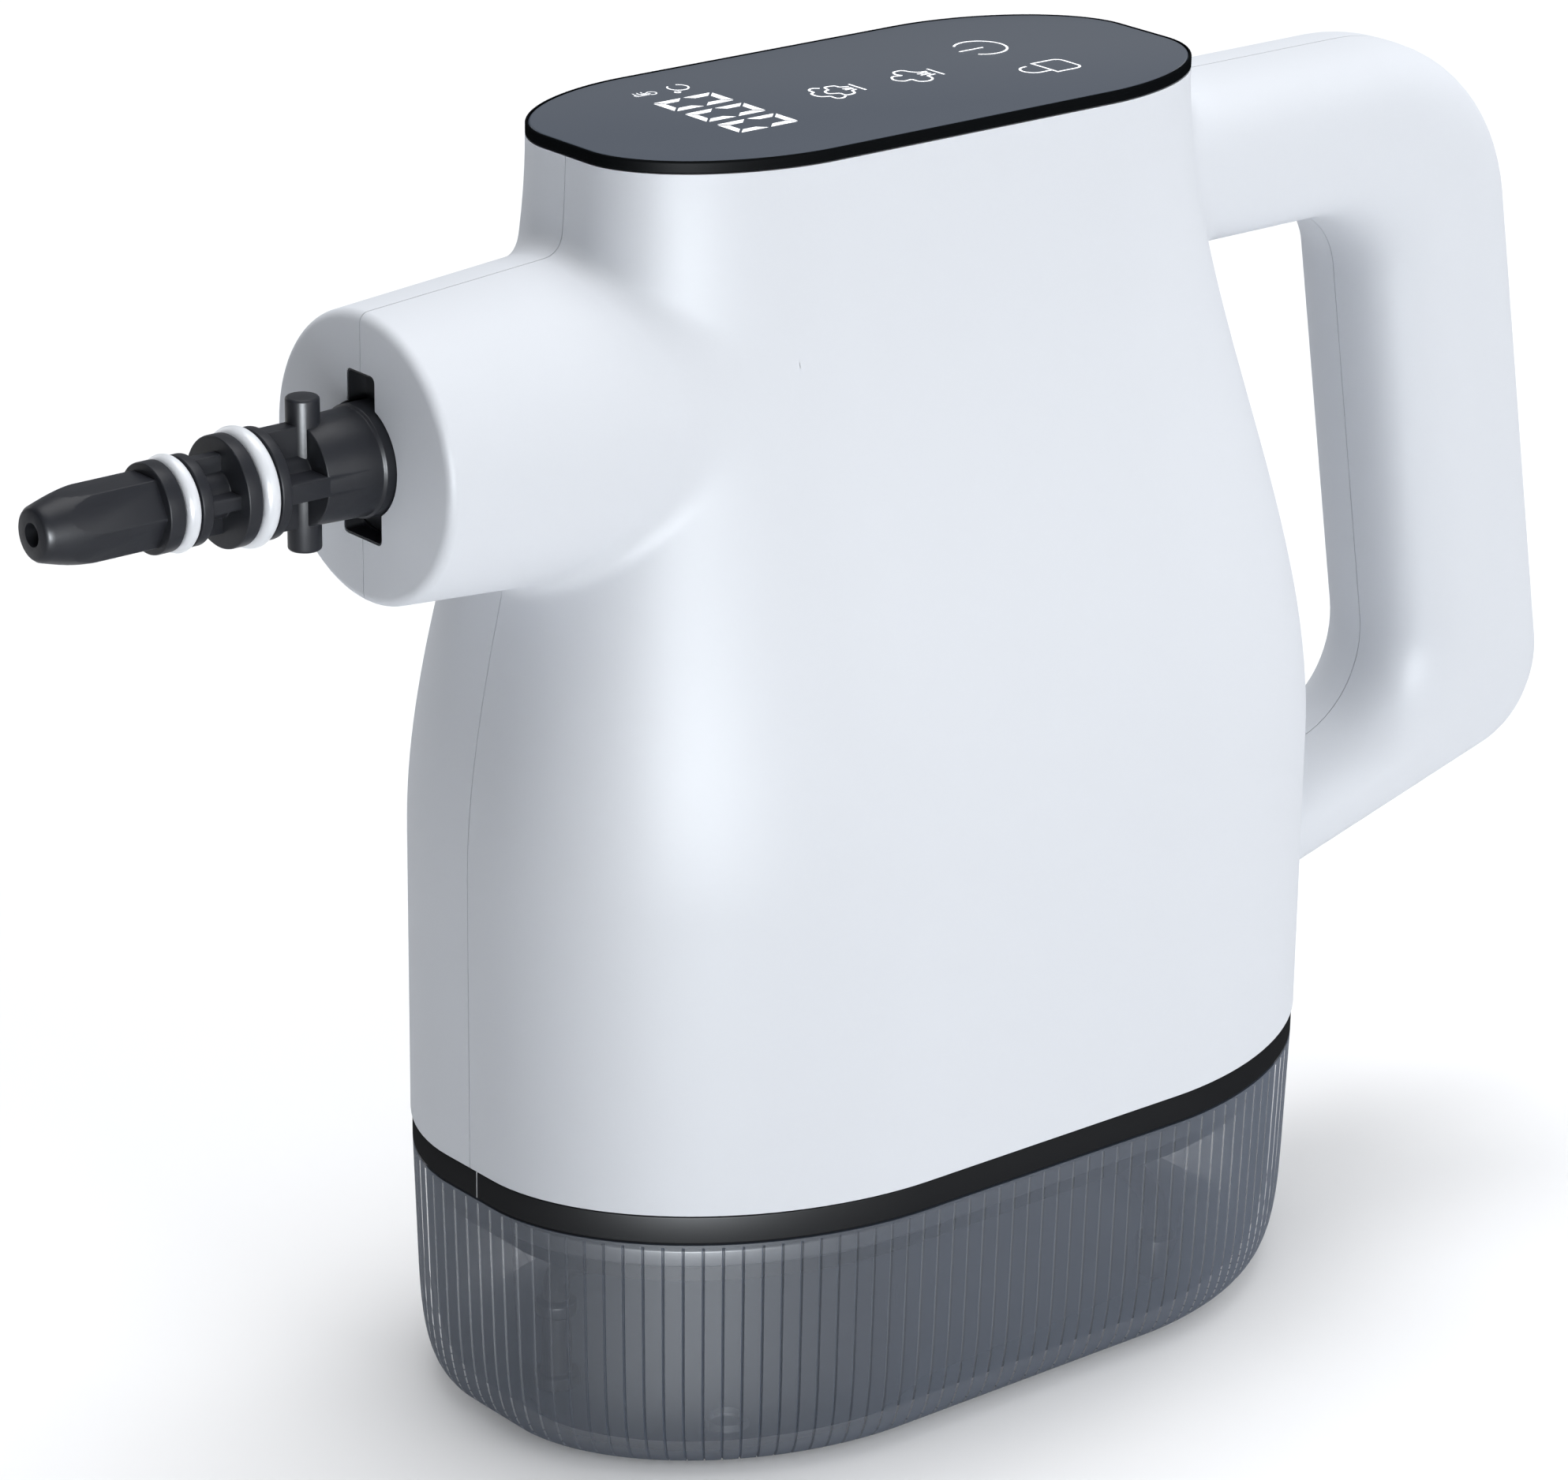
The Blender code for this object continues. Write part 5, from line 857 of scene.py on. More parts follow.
def dust_group():
    group, start, end = new_group(
        "settled dust",
        (("Scale", "NodeSocketFloat", 140.0), ("Amount", "NodeSocketFloat", 0.1)),
        (("Mask", "NodeSocketFloat"),),
    )
    face = node(group, "ShaderNodeNewGeometry")
    parts = node(group, "ShaderNodeSeparateXYZ")
    group.links.new(face.outputs["Normal"], parts.inputs[0])
    upward = math_node(group, "MAXIMUM", parts.outputs["Z"], 0.0)
    above_mean = math_node(group, "SUBTRACT", noise(group, start.outputs["Scale"]), 0.5)
    specks = math_node(group, "MULTIPLY", above_mean, 4.0, True)
    both = math_node(group, "MULTIPLY", upward, specks)
    group.links.new(math_node(group, "MULTIPLY", both, start.outputs["Amount"], True), end.inputs["Mask"])
    return group


GRAIN, WEAR, DUST = grain_group(), wear_group(), dust_group()
print("node groups:", [group.name for group in (GRAIN, WEAR, DUST)])

# %% [markdown]
# One function lays these effects over a base colour, so every finish is one line.  The grain also
# spreads the roughness a little, which keeps a large plain face from looking like a computer's.

# %% One function that lays the effects over a base finish
EDGE_TINT = (0.55, 0.56, 0.58)
DUST_TINT = (0.60, 0.60, 0.58)
DUST_ROUGHENS = 0.4


def finish(name, colour, roughness, grain, metallic=0.0, wear=0.0, dust=0.0, mottle=0.02):
    """Principled material with grain (scale, amount, depth), wear and dust over one colour."""
    material = bpy.data.materials.new(name)
    material.use_nodes = True
    tree = material.node_tree
    shader = tree.nodes["Principled BSDF"]
    shader.inputs["Base Color"].default_value = (*colour, 1.0)
    shader.inputs["Metallic"].default_value = metallic
    scale, amount, depth = grain
    texture = node(tree, "ShaderNodeGroup", node_tree=GRAIN)
    texture.inputs["Scale"].default_value = scale
    texture.inputs["Amount"].default_value = amount
    bump = node(tree, "ShaderNodeBump")
    bump.inputs["Distance"].default_value = depth
    tree.links.new(texture.outputs["Height"], bump.inputs["Height"])
    tree.links.new(bump.outputs["Normal"], shader.inputs["Normal"])
    spread = math_node(tree, "MULTIPLY", texture.outputs["Mottle"], mottle / amount)
    rough = math_node(tree, "ADD", spread, roughness, True)
    layer = None
    for group, strength, tint in ((WEAR, wear, EDGE_TINT), (DUST, dust, DUST_TINT)):
        if not strength:
            continue
        effect = node(tree, "ShaderNodeGroup", node_tree=group)
        effect.inputs["Amount"].default_value = strength
        blend = node(tree, "ShaderNodeMix", data_type="RGBA")
        colours = [socket for socket in blend.inputs if socket.type == "RGBA"]
        colours[0].default_value = (*colour, 1.0)
        colours[1].default_value = (*tint, 1.0)
        tree.links.new(effect.outputs["Mask"], blend.inputs["Factor"])
        if layer:
            tree.links.new(layer, colours[0])
        layer = next(socket for socket in blend.outputs if socket.type == "RGBA")
        if group is DUST:
            duller = math_node(tree, "MULTIPLY", effect.outputs["Mask"], DUST_ROUGHENS)
            rough = math_node(tree, "ADD", rough, duller, True)
    if layer:
        tree.links.new(layer, shader.inputs["Base Color"])
    tree.links.new(rough, shader.inputs["Roughness"])
    return material, shader


COAT_IOR = 3.0


def soft_gloss(shader, weight, roughness):
    """Gloss from a thin, broad coat alone, so that no light draws a hard spot."""
    shader.inputs["Specular IOR Level"].default_value = 0.0
    shader.inputs["Coat Weight"].default_value = weight
    shader.inputs["Coat Roughness"].default_value = roughness
    shader.inputs["Coat IOR"].default_value = COAT_IOR


FINISHES = {}
print("base finish ready")

# %% [markdown]
# The body is a satin white, the band and the ring are a glossy black, the spout is a duller black, and
# the panel is slate glass.  A plain specular on the satin ones would mirror the lamps as sharp spots.
# A coat of small weight and high index gives a broad sheen instead, as fine spark erosion on the
# mould does.

# %% Finishes of the mouldings
white, white_shader = finish("white moulding", (0.575, 0.595, 0.63), 0.36, (1400.0, 0.3, 0.00002), dust=0.02)
soft_gloss(white_shader, 0.045, 0.5)
FINISHES["white_shell"] = white
black, black_shader = finish("black gloss", (0.003, 0.0035, 0.0045), 0.30, (700.0, 0.1, 0.00001), wear=0.05)
soft_gloss(black_shader, 0.04, 0.48)
FINISHES["black_trim"] = black
# Painted shade: the ring's copy of the glossy black is darker and has almost no coat, so the lamps and the
# floor leave no reflection on the ring, though it is the band's glossy black.
shaded_black, shaded_black_shader = finish("black in painted shade", (0.002, 0.0025, 0.003), 0.30, (700.0, 0.1, 0.00001), wear=0.05)
soft_gloss(shaded_black_shader, 0.006, 0.48)
plastic, plastic_shader = finish(
    "black moulding", (0.014, 0.015, 0.019), 0.40, (1100.0, 0.4, 0.00004), wear=0.08
)
plastic_shader.inputs["Specular IOR Level"].default_value = 0.15
FINISHES["black_plastic"] = plastic
slate, slate_shader = finish("slate glass", (0.048, 0.059, 0.079), 0.30, (500.0, 0.05, 0.000005))
slate_shader.inputs["Specular IOR Level"].default_value = 0.2
FINISHES["slate_panel"] = slate
print("mouldings:", sorted(FINISHES))

# %% [markdown]
# Silicone and rubber are soft, and their skin is coarser than that of hard plastic.  They could share
# one finish, but the rings on the spout are pale and the feet are black.  The tank's seal is the rings'
# pale silicone; its finish is a dark copy of theirs, painted shade for its dim place behind the smoky wall.

# %% Finishes of the silicones and the rubber
silicone, _ = finish("pale silicone", (0.62, 0.64, 0.67), 0.28, (800.0, 0.2, 0.00002), dust=0.03)
FINISHES["grey_silicone"] = silicone
# Painted shade: the seal is pale silicone like the rings, and this dark grey stands for the dim light under
# the band, behind the smoky wall.
seal_painted_shade, _ = finish("silicone in painted shade", (0.055, 0.06, 0.07), 0.45, (800.0, 0.2, 0.00002))
rubber, rubber_shader = finish("dark rubber", (0.012, 0.012, 0.014), 0.62, (1300.0, 0.6, 0.00005), wear=0.1)
rubber_shader.inputs["Specular IOR Level"].default_value = 0.08
FINISHES["dark_rubber"] = rubber
print("soft pieces:", silicone.name, seal_painted_shade.name, rubber.name)

# %% [markdown]
# Metals and boards lie inside.  They differ only in their numbers, so a table with one row for each
# finish is easier to read than a call for each.

# %% Finishes of the metals and the boards
METALS = (
    ("steel", "steel", (0.60, 0.60, 0.58), 0.30, 1.0, (1600.0, 0.4, 0.00003), 0.3, 0.08),
    ("cast_aluminium", "cast aluminium", (0.56, 0.57, 0.58), 0.48, 1.0, (600.0, 0.8, 0.0001), 0.4, 0.12),
    ("circuit_green", "circuit green", (0.02, 0.13, 0.06), 0.42, 0.0, (500.0, 0.5, 0.00004), 0.3, 0.02),
    ("copper", "copper winding", (0.60, 0.28, 0.14), 0.35, 1.0, (900.0, 0.8, 0.0001), 0.2, 0.1),
)
for slot, name, colour, roughness, metallic, grain, wear, mottle in METALS:
    FINISHES[slot], _ = finish(name, colour, roughness, grain, metallic, wear, mottle=mottle)
print("metals and boards:", [metal[1] for metal in METALS])

# %% [markdown]
# The tank is smoky, clear plastic.  Real refraction through a grooved wall needs very many samples, and
# the tank holds air here, so the wall is veiled instead: its Alpha lets what is behind it show.  A wall
# has an outer and an inner face, so only faces that look at the eye are veiled, and it counts once.
# The veil is thicker where the wall is seen at a slant.  Shadow rays pass more easily, which lights
# the inside as clear plastic would.

# %% Smoky see-through plastic of the tank
VEIL_FACING, VEIL_SLANTED = 0.46, 0.97
SLANT_REACH = 0.72
SHADOW_LET_IN = 0.8
smoky, smoky_shader = finish("smoky tank", (0.052, 0.065, 0.091), 0.3, (300.0, 0.2, 0.00001))
soft_gloss(smoky_shader, 0.21, 0.48)
wall = smoky.node_tree
slant = node(wall, "ShaderNodeLayerWeight")
slant.inputs["Blend"].default_value = 0.5
veil = node(wall, "ShaderNodeMapRange", interpolation_type="SMOOTHSTEP")
veil.inputs["From Max"].default_value = SLANT_REACH
veil.inputs["To Min"].default_value = VEIL_FACING
veil.inputs["To Max"].default_value = VEIL_SLANTED
wall.links.new(slant.outputs["Facing"], veil.inputs["Value"])
back_side = node(wall, "ShaderNodeNewGeometry").outputs["Backfacing"]
shadow_ray = node(wall, "ShaderNodeLightPath").outputs["Is Shadow Ray"]
front_only = math_node(wall, "SUBTRACT", 1.0, back_side)
let_in = math_node(wall, "SUBTRACT", 1.0, math_node(wall, "MULTIPLY", shadow_ray, SHADOW_LET_IN))
veiled = math_node(wall, "MULTIPLY", veil.outputs["Result"], math_node(wall, "MULTIPLY", front_only, let_in))
wall.links.new(veiled, smoky_shader.inputs["Alpha"])
FINISHES["smoky_tank"] = smoky
print("wall veiled from", VEIL_FACING, "to", VEIL_SLANTED)

# %% [markdown]
# The marks are lit from behind on the real panel.  Lamps under the glass would be slow to render.  A
# little Emission in the marks' own finish keeps them legible in the shade.

# %% Lit marks
MARK_GLOW = (0.9, 0.92, 0.95)
ink, ink_shader = finish("white ink", (0.92, 0.93, 0.95), 0.5, (900.0, 0.1, 0.00001))
ink_shader.inputs["Emission Color"].default_value = (*MARK_GLOW, 1)
ink_shader.inputs["Emission Strength"].default_value = 0.35
print("finishes:", sorted(FINISHES))

# %% [markdown]
# ## Handing pieces over
# Each piece stands for some imported nodes, rides one body and has one finish.  One function hides
# those nodes, puts the piece on its body and gives it its finish, so no piece can be left behind.


# %% Hand a piece over to the frame
def hand_over(piece, nodes, body, slot, material=None, angle=35):
    """Smooth a piece, give it its finish, hide the imported nodes it stands for and put it on its body."""
    smooth(piece, angle)
    piece.data.materials.clear()
    piece.data.materials.append(material or FINISHES[slot])
    if nodes:
        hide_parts(*nodes)
    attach(piece, body)
    print(piece.name, triangles(piece), "triangles")
    return piece


for half, hidden in ((left_half, "shell_left"), (right_half, "shell_right")):
    hand_over(half, [hidden], "cleaner", "white_shell", angle=40)

# %% [markdown]
# ## Panel trim and glass
# A glossy black ring closes the top of the body, and a slate glass lies flush in it.  Both follow the
# neck's outline.  A curve with a bevel object could do that, but its section would twist and bulge on
# tight corners.  Here each point of a small closed profile becomes one whole outline, inset as far as
# the point says, so the section stays true all round.


# %% Sweep a profile round an outline
def arc(centre, radius, start, end, steps):
    """Points on a circle, by angles in degrees, as (inset, height)."""
    angles = [math.radians(mix(start, end, step / steps)) for step in range(steps + 1)]
    return [(centre[0] + radius * math.cos(a), centre[1] + radius * math.sin(a)) for a in angles]


def hoop(name, profile, height, corner_steps=36, flat_steps=16):
    """Ring whose closed profile of (inset, height) follows the body's outline at a height."""
    rings = [at_height(body_outline(height, inset, corner_steps, flat_steps), z) for inset, z in profile]
    return skin(name, rings, closed_path=True)


print("sweeps ready")

# %% Trim ring
TRIM_LOW, TRIM_TOP = BODY_TOP + GAP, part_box("panel_trim")[1].z
TRIM_ROUNDING = 0.40 * MM
TRIM_CHAMFER = 0.12 * MM
TRIM_SKIRT_THICKNESS, TRIM_SKIRT_DEPTH = 2.0 * MM, 6.0 * MM
LEDGE_REACH, LEDGE_DEPTH = 4.5 * MM, 1.6 * MM  # the ledge that carries the glass
GLASS_SETBACK = 0.42 * MM
GLASS_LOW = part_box("touch_panel")[0].z
GLASS_TOP = TRIM_TOP - 0.06 * MM
SKIRT_INSET = WALL + GAP
outer_edge = arc((TRIM_ROUNDING, TRIM_TOP - TRIM_ROUNDING), TRIM_ROUNDING, 180, 90, 6)
inner_edge = GLASS_SETBACK
trim_profile = [
    (TRIM_CHAMFER, TRIM_LOW - TRIM_CHAMFER),
    (0, TRIM_LOW),
    *outer_edge,
    (inner_edge, TRIM_TOP),
    (inner_edge, GLASS_LOW - GAP),
    (SKIRT_INSET + LEDGE_REACH, GLASS_LOW - GAP),
    (SKIRT_INSET + LEDGE_REACH, TRIM_LOW - LEDGE_DEPTH),
    (SKIRT_INSET + TRIM_SKIRT_THICKNESS, TRIM_LOW - LEDGE_DEPTH),
    (SKIRT_INSET + TRIM_SKIRT_THICKNESS, TRIM_LOW - TRIM_SKIRT_DEPTH),
    (SKIRT_INSET, TRIM_LOW - TRIM_SKIRT_DEPTH),
    (SKIRT_INSET, TRIM_LOW - TRIM_CHAMFER),
]
trim = hoop("trim_ring", trim_profile, BODY_TOP)
# The ring wears the darker copy of the glossy black: painted shade that keeps reflections off it.
hand_over(trim, ["panel_trim"], "cleaner", "black_trim", shaded_black)

# %% [markdown]
# The glass fills the ring with a hairline of air round it.  Its rim is rounded by a few insets of the
# same outline, one above the other, where a Bevel would leave long thin faces on the corners.

# %% Glass
GLASS_ROUNDING = 0.55 * MM
GLASS_GAP = 0.05 * MM
edge = inner_edge + GLASS_GAP
glass_edge = arc((edge + GLASS_ROUNDING, GLASS_TOP - GLASS_ROUNDING), GLASS_ROUNDING, 180, 90, 5)
glass_rings = [(edge, GLASS_LOW), *glass_edge]
glass = skin("panel_glass", [at_height(body_outline(BODY_TOP, i, 36, 16), z) for i, z in glass_rings])
hand_over(glass, ["touch_panel"], "cleaner", "slate_panel")

# %% [markdown]
# ## Lit digits and signs
# A display shows its digits as bars, all of one shape.  An Array modifier can't give each copy a turn
# of its own, so Geometry Nodes do it: one tree puts an object's mesh on every point of a cloud, turned
# as the point says.  The same tree later sets the latch's grooves and the screws.


# %% Helpers for geometry trees
def group_tree(name, inputs):
    """Geometry tree with a geometry input and output and named inputs of its own."""
    tree = bpy.data.node_groups.new(name, "GeometryNodeTree")
    tree.interface.new_socket("Geometry", in_out="INPUT", socket_type="NodeSocketGeometry")
    tree.interface.new_socket("Geometry", in_out="OUTPUT", socket_type="NodeSocketGeometry")
    for label, kind, value in inputs:
        socket = tree.interface.new_socket(label, in_out="INPUT", socket_type=kind)
        if value is not None:
            socket.default_value = value
    return tree, tree.nodes.new("NodeGroupInput"), tree.nodes.new("NodeGroupOutput")


def run_tree(thing, tree, values):
    """Set a tree's named inputs on an object, then turn the result into a plain mesh."""
    modifier = thing.modifiers.new(tree.name, "NODES")
    modifier.node_group = tree
    for item in tree.interface.items_tree:
        if item.in_out == "INPUT" and item.name in values:
            modifier[item.identifier] = values[item.name]
    return bake_modifiers(thing)


def end_tree(tree, start, end, last):
    """Close a tree with Realize Instances and Set Material."""
    real = tree.nodes.new("GeometryNodeRealizeInstances")
    paint = tree.nodes.new("GeometryNodeSetMaterial")
    tree.links.new(last, real.inputs["Geometry"])
    tree.links.new(real.outputs["Geometry"], paint.inputs["Geometry"])
    tree.links.new(start.outputs["Material"], paint.inputs["Material"])
    tree.links.new(paint.outputs["Geometry"], end.inputs["Geometry"])


def points_mesh(name, places, **attributes):
    """Loose points that carry float or vector attributes for a tree to read."""
    mesh = bpy.data.meshes.new(name)
    mesh.from_pydata([tuple(p) for p in places], [], [])
    for label, values in attributes.items():
        kind = "FLOAT_VECTOR" if hasattr(values[0], "__len__") else "FLOAT"
        layer = mesh.attributes.new(label, kind, "POINT")
        for slot, value in zip(layer.data, values):
            if kind == "FLOAT":
                slot.value = value
            else:
                slot.vector = value
    return link(name, mesh)


print("tree helpers ready")


# %% Tree that stamps a piece on points
def stamp_tree(name, material):
    """Places one object's mesh on each point, turned as the point's own 'turn' says."""
    tree, start, end = group_tree(
        name,
        (
            ("Stamp", "NodeSocketObject", None),
            ("Scale", "NodeSocketFloat", 1.0),
            ("Material", "NodeSocketMaterial", material),
        ),
    )
    info = node(tree, "GeometryNodeObjectInfo", transform_space="ORIGINAL")
    place = tree.nodes.new("GeometryNodeInstanceOnPoints")
    turn = node(tree, "GeometryNodeInputNamedAttribute", data_type="FLOAT_VECTOR")
    turn.inputs["Name"].default_value = "turn"
    tree.links.new(start.outputs["Stamp"], info.inputs["Object"])
    tree.links.new(start.outputs["Geometry"], place.inputs["Points"])
    tree.links.new(info.outputs["Geometry"], place.inputs["Instance"])
    tree.links.new(turn.outputs["Attribute"], place.inputs["Rotation"])
    tree.links.new(start.outputs["Scale"], place.inputs["Scale"])
    end_tree(tree, start, end, place.outputs["Instances"])
    return tree


def stamped(points, stamp, title, material):
    """Set a stamp on every point as plain mesh, then drop the stamp."""
    run_tree(points, stamp_tree(title, material), {"Stamp": stamp, "Scale": 1.0, "Material": material})
    bpy.data.objects.remove(stamp)
    return points


print("stamp tree ready")

# %% [markdown]
# The digits and signs are laid out in the panel's own left and right, as the user reads them.  The
# user stands behind the handle, so up is towards the spout.  All marks are thin solids just above the
# glass: a picture on the glass would need an unwrapped face and would blur when seen from close by.

# %% Digits
MARK_LOW = GLASS_TOP + 0.01 * MM
MARK_HEIGHT = 0.03 * MM
DIGIT_HEIGHT = 12.0 * MM
DIGIT_WIDTH = 6.1 * MM
DIGIT_PITCH = 8.2 * MM
DIGIT_MIDDLE = (8.05 * MM, 31.95 * MM)
BAR_THICKNESS = 1.4 * MM
BAR_SPACE = 0.3 * MM


def panel_point(right, up, height=MARK_LOW):
    """A place on the panel, from the user's right and up, as a point of the frame."""
    return Vector((-up, right, height))


def flat_solid(name, outline, thickness):
    """Plate from an outline of (right, up), standing on the marks' level."""
    low = [panel_point(*p) for p in outline]
    return skin(name, [low, [p + Vector((0, 0, thickness)) for p in low]])


bar_length = DIGIT_HEIGHT / 2 - 2 * BAR_SPACE
bar = flat_solid(
    "bar",
    (
        (-bar_length / 2, 0),
        (bar_length / 2, 0),
        (bar_length / 2 - BAR_THICKNESS, -BAR_THICKNESS),
        (-bar_length / 2 + BAR_THICKNESS, -BAR_THICKNESS),
    ),
    MARK_HEIGHT,
)
places, turns = [], []
for digit in range(3):
    across = DIGIT_MIDDLE[0] - digit * DIGIT_PITCH
    for right, up, turn in (
        (0, DIGIT_HEIGHT / 2, 0),
        (0, -DIGIT_HEIGHT / 2, 180),
        (-DIGIT_WIDTH / 2, DIGIT_HEIGHT / 4, 90),
        (-DIGIT_WIDTH / 2, -DIGIT_HEIGHT / 4, 90),
        (DIGIT_WIDTH / 2, DIGIT_HEIGHT / 4, -90),
        (DIGIT_WIDTH / 2, -DIGIT_HEIGHT / 4, -90),
    ):
        places.append(panel_point(across + right, DIGIT_MIDDLE[1] + up, 0))
        turns.append((0, 0, math.radians(turn)))
digits = stamped(points_mesh("display_digits", places, turn=turns), bar, "place bars", ink)
hand_over(digits, [], "cleaner", "white_shell", ink)

# %% [markdown]
# A sign is a few strokes of one width.  Text in an icon font would carry somebody's drawing, so each
# stroke is a ribbon along a line that is made of arcs, straight runs and smooth bends.

# %% Ribbons for the signs
STROKE = 0.40 * MM
SHARPEST_MITRE = 0.5  # a corner's ribbon is widened to twice its width at most


def ribbon(name, line, width):
    """Flat ribbon along a line of (right, up) points."""
    points = [Vector(p) for p in line]
    sides = ([], [])
    for i, point in enumerate(points):
        before = points[i - 1] if i else point
        after = points[i + 1] if i + 1 < len(points) else point
        one = (point - before).normalized() if (point - before).length else (after - point).normalized()
        two = (after - point).normalized() if (after - point).length else one
        along = (one + two).normalized()
        across = Vector((-along.y, along.x)) * width / 2 / max(SHARPEST_MITRE, along.dot(one))
        sides[0].append(point + across)
        sides[1].append(point - across)
    lift = Vector((0, 0, MARK_HEIGHT))
    rings = []
    for a, b in zip(*sides):
        low_a, low_b = panel_point(*a), panel_point(*b)
        rings.append([low_a, low_b, low_b + lift, low_a + lift])
    return skin(name, rings)


def straight(*points):
    """Line through (right, up) points in millimetres."""
    return [(x * MM, y * MM) for x, y in points]


def curve(middle, radius, start, end, steps=28):
    """Points on a circle about a (right, up) middle in millimetres, by angles in degrees."""
    angles = [math.radians(mix(start, end, step / steps)) for step in range(steps + 1)]
    return straight(*[(middle[0] + radius * math.cos(a), middle[1] + radius * math.sin(a)) for a in angles])


def bend(*points, steps=7):
    """Smooth line through (right, up) points in millimetres."""
    ends = [2 * Vector(points[0]) - Vector(points[1]), 2 * Vector(points[-1]) - Vector(points[-2])]
    knots = [ends[0], *[Vector(p) for p in points], ends[1]]
    line = []
    for before, start, end, after in zip(knots, knots[1:], knots[2:], knots[3:]):
        for step in range(steps):
            t = step / steps
            leave, arrive = (end - before) / 2, (after - start) / 2
            rise = t * t * (3 - 2 * t)
            line.append(start.lerp(end, rise) + leave * t * (1 - t) ** 2 - arrive * t * t * (1 - t))
    return [(p.x * MM, p.y * MM) for p in [*line, knots[-2]]]


print("ribbons ready")

# %% [markdown]
# Two signs stand for little and for much steam: a cloud on a stem, then a larger one.  Arcs would have
# to meet without a kink, so each is drawn as smooth bends through a few points.

# %% Steam signs
LOW_STEAM = [
    straight((1.8, -11.9), (-2.6, -11.9)),
    bend((0.7, -10.9), (0.9, -9.4), (1.9, -8.5)),
    bend((1.9, -8.5), (3.4, -7.8), (3.4, -6.2), (2.2, -5.4), (0.9, -5.8)),
    bend((0.9, -5.8), (1.2, -4.0), (-0.5, -2.9), (-2.0, -3.7), (-1.9, -5.5)),
    bend((-1.9, -5.5), (-3.7, -5.7), (-4.3, -7.2), (-3.4, -8.7), (-1.6, -9.1)),
    straight((-1.6, -9.1), (-1.5, -10.9)),
    straight((0.1, -8.4), (0.0, -10.6)),
    straight((-0.8, -8.4), (-0.7, -10.6)),
]
HIGH_STEAM = [
    straight((1.8, 4.8), (-2.6, 4.8)),
    straight((0.7, 5.7), (1.2, 7.2)),
    bend((1.2, 7.2), (2.4, 7.5), (2.5, 9.2), (0.9, 9.8)),
    bend((0.9, 9.8), (0.4, 10.9), (-0.9, 11.2), (-1.8, 9.6)),
    bend((-1.8, 9.6), (-3.3, 9.4), (-3.1, 7.6), (-1.6, 6.9)),
    straight((-1.6, 6.9), (-1.4, 5.8)),
    straight((0.0, 7.6), (-0.1, 5.8)),
    straight((-0.7, 7.6), (-0.7, 5.8)),
    bend((2.5, 10.3), (3.2, 11.4), (2.5, 12.5), (1.1, 12.7)),
    bend((1.1, 12.7), (0.4, 13.7), (-1.5, 13.6), (-2.4, 12.1)),
    bend((-2.4, 12.1), (-4.0, 12.0), (-4.3, 10.9), (-3.6, 9.9)),
]
print("steam signs:", len(LOW_STEAM) + len(HIGH_STEAM), "strokes")

# %% Signs of the panel
LOCK_BODY = [
    *straight((-5.9, -28.0), (-12.4, -28.0), (-12.4, -32.2)),
    *curve((-10.9, -32.2), 1.5, 180, 270, 8),
    *curve((-7.4, -32.2), 1.5, 270, 360, 8),
    *straight((-5.9, -27.8)),
]
STEM = [*straight((15.95, 34.7), (15.95, 36.9)), *curve((16.4, 36.9), 0.45, 180, 0, 10)]
TICKS = [straight((17.35, up), (17.85, up)) for up in (35.2, 36.0, 36.8)]
signs = {
    "power": [curve((7.3, -28.3), 4.45, 46, -226, 60), straight((7.25, -23.6), (7.25, -28.8))],
    "lock": [LOCK_BODY, [*straight((-11.0, -28.0)), *curve((-8.9, -25.6), 2.1, 180, -12, 28)]],
    "low steam": LOW_STEAM,
    "high steam": HIGH_STEAM,
    "celsius": [curve((16.75, 28.3), 1.75, 35, 335, 36), curve((14.4, 30.2), 0.45, 0, 340, 18)],
    "thermometer": [
        curve((16.4, 34.0), 0.85, 130, 410, 24),
        [*STEM, *straight((16.85, 34.7))],
        straight((16.4, 34.2), (16.4, 36.0)),
        *TICKS,
    ],
}
THIN_SIGNS = {"celsius": 0.30 * MM, "thermometer": 0.20 * MM}
strokes = []
for sign, lines in signs.items():
    for line in lines:
        strokes.append(ribbon(sign, line, THIN_SIGNS.get(sign, STROKE)))
hand_over(merge("panel_signs", strokes), [], "cleaner", "white_shell", ink)

# %% [markdown]
# ## The black band and its floor
# The band is the outside of a frame that closes the body.  Its floor, its rim and the skirt that
# enters the tank are seen when the tank is off, so they are made fine as well.  One closed profile
# holds them all and is swept round the base outline, so the thin skirt and the rim can't part from
# the band.  A plate then closes the middle, with two barbs through it for the hoses.

# %% Band
BAND_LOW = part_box("water_tank")[1].z + GAP
BAND_TOP = BODY_LOW - GAP
BAND_SETBACK = 0.3 * MM
BAND_ROUNDING = 0.25 * MM
FLOOR_LOW = BAND_TOP - 2.4 * MM
TANK_WALL = 2.4 * MM
GASKET_INSET = BAND_SETBACK + TANK_WALL + 2 * GAP
GASKET_THICKNESS = 1.8 * MM
MOUTH = GASKET_INSET + GASKET_THICKNESS + GAP
SKIRT_THICKNESS = 2.2 * MM
SKIRT_DEPTH = 9.0 * MM
RIM_INSET = WALL + GAP
RIM_HEIGHT = 4.5 * MM
RIM_THICKNESS = 2.0 * MM
FLOOR_LIP = 2.0 * MM
BARBS = ((-58.0 * MM, -24.0 * MM), (29.0 * MM, -31.0 * MM))
BARB_RADIUS, BARB_BORE = 2.0 * MM, 1.1 * MM
BARB_REACH = 6.0 * MM
BORE_OVERRUN = 3.0 * MM


def base_hoop(name, profile, corner_steps=36, flat_steps=16):
    """Closed profile of (inset, height) swept round the base outline."""
    return hoop(name, profile, BODY_LOW, corner_steps, flat_steps)


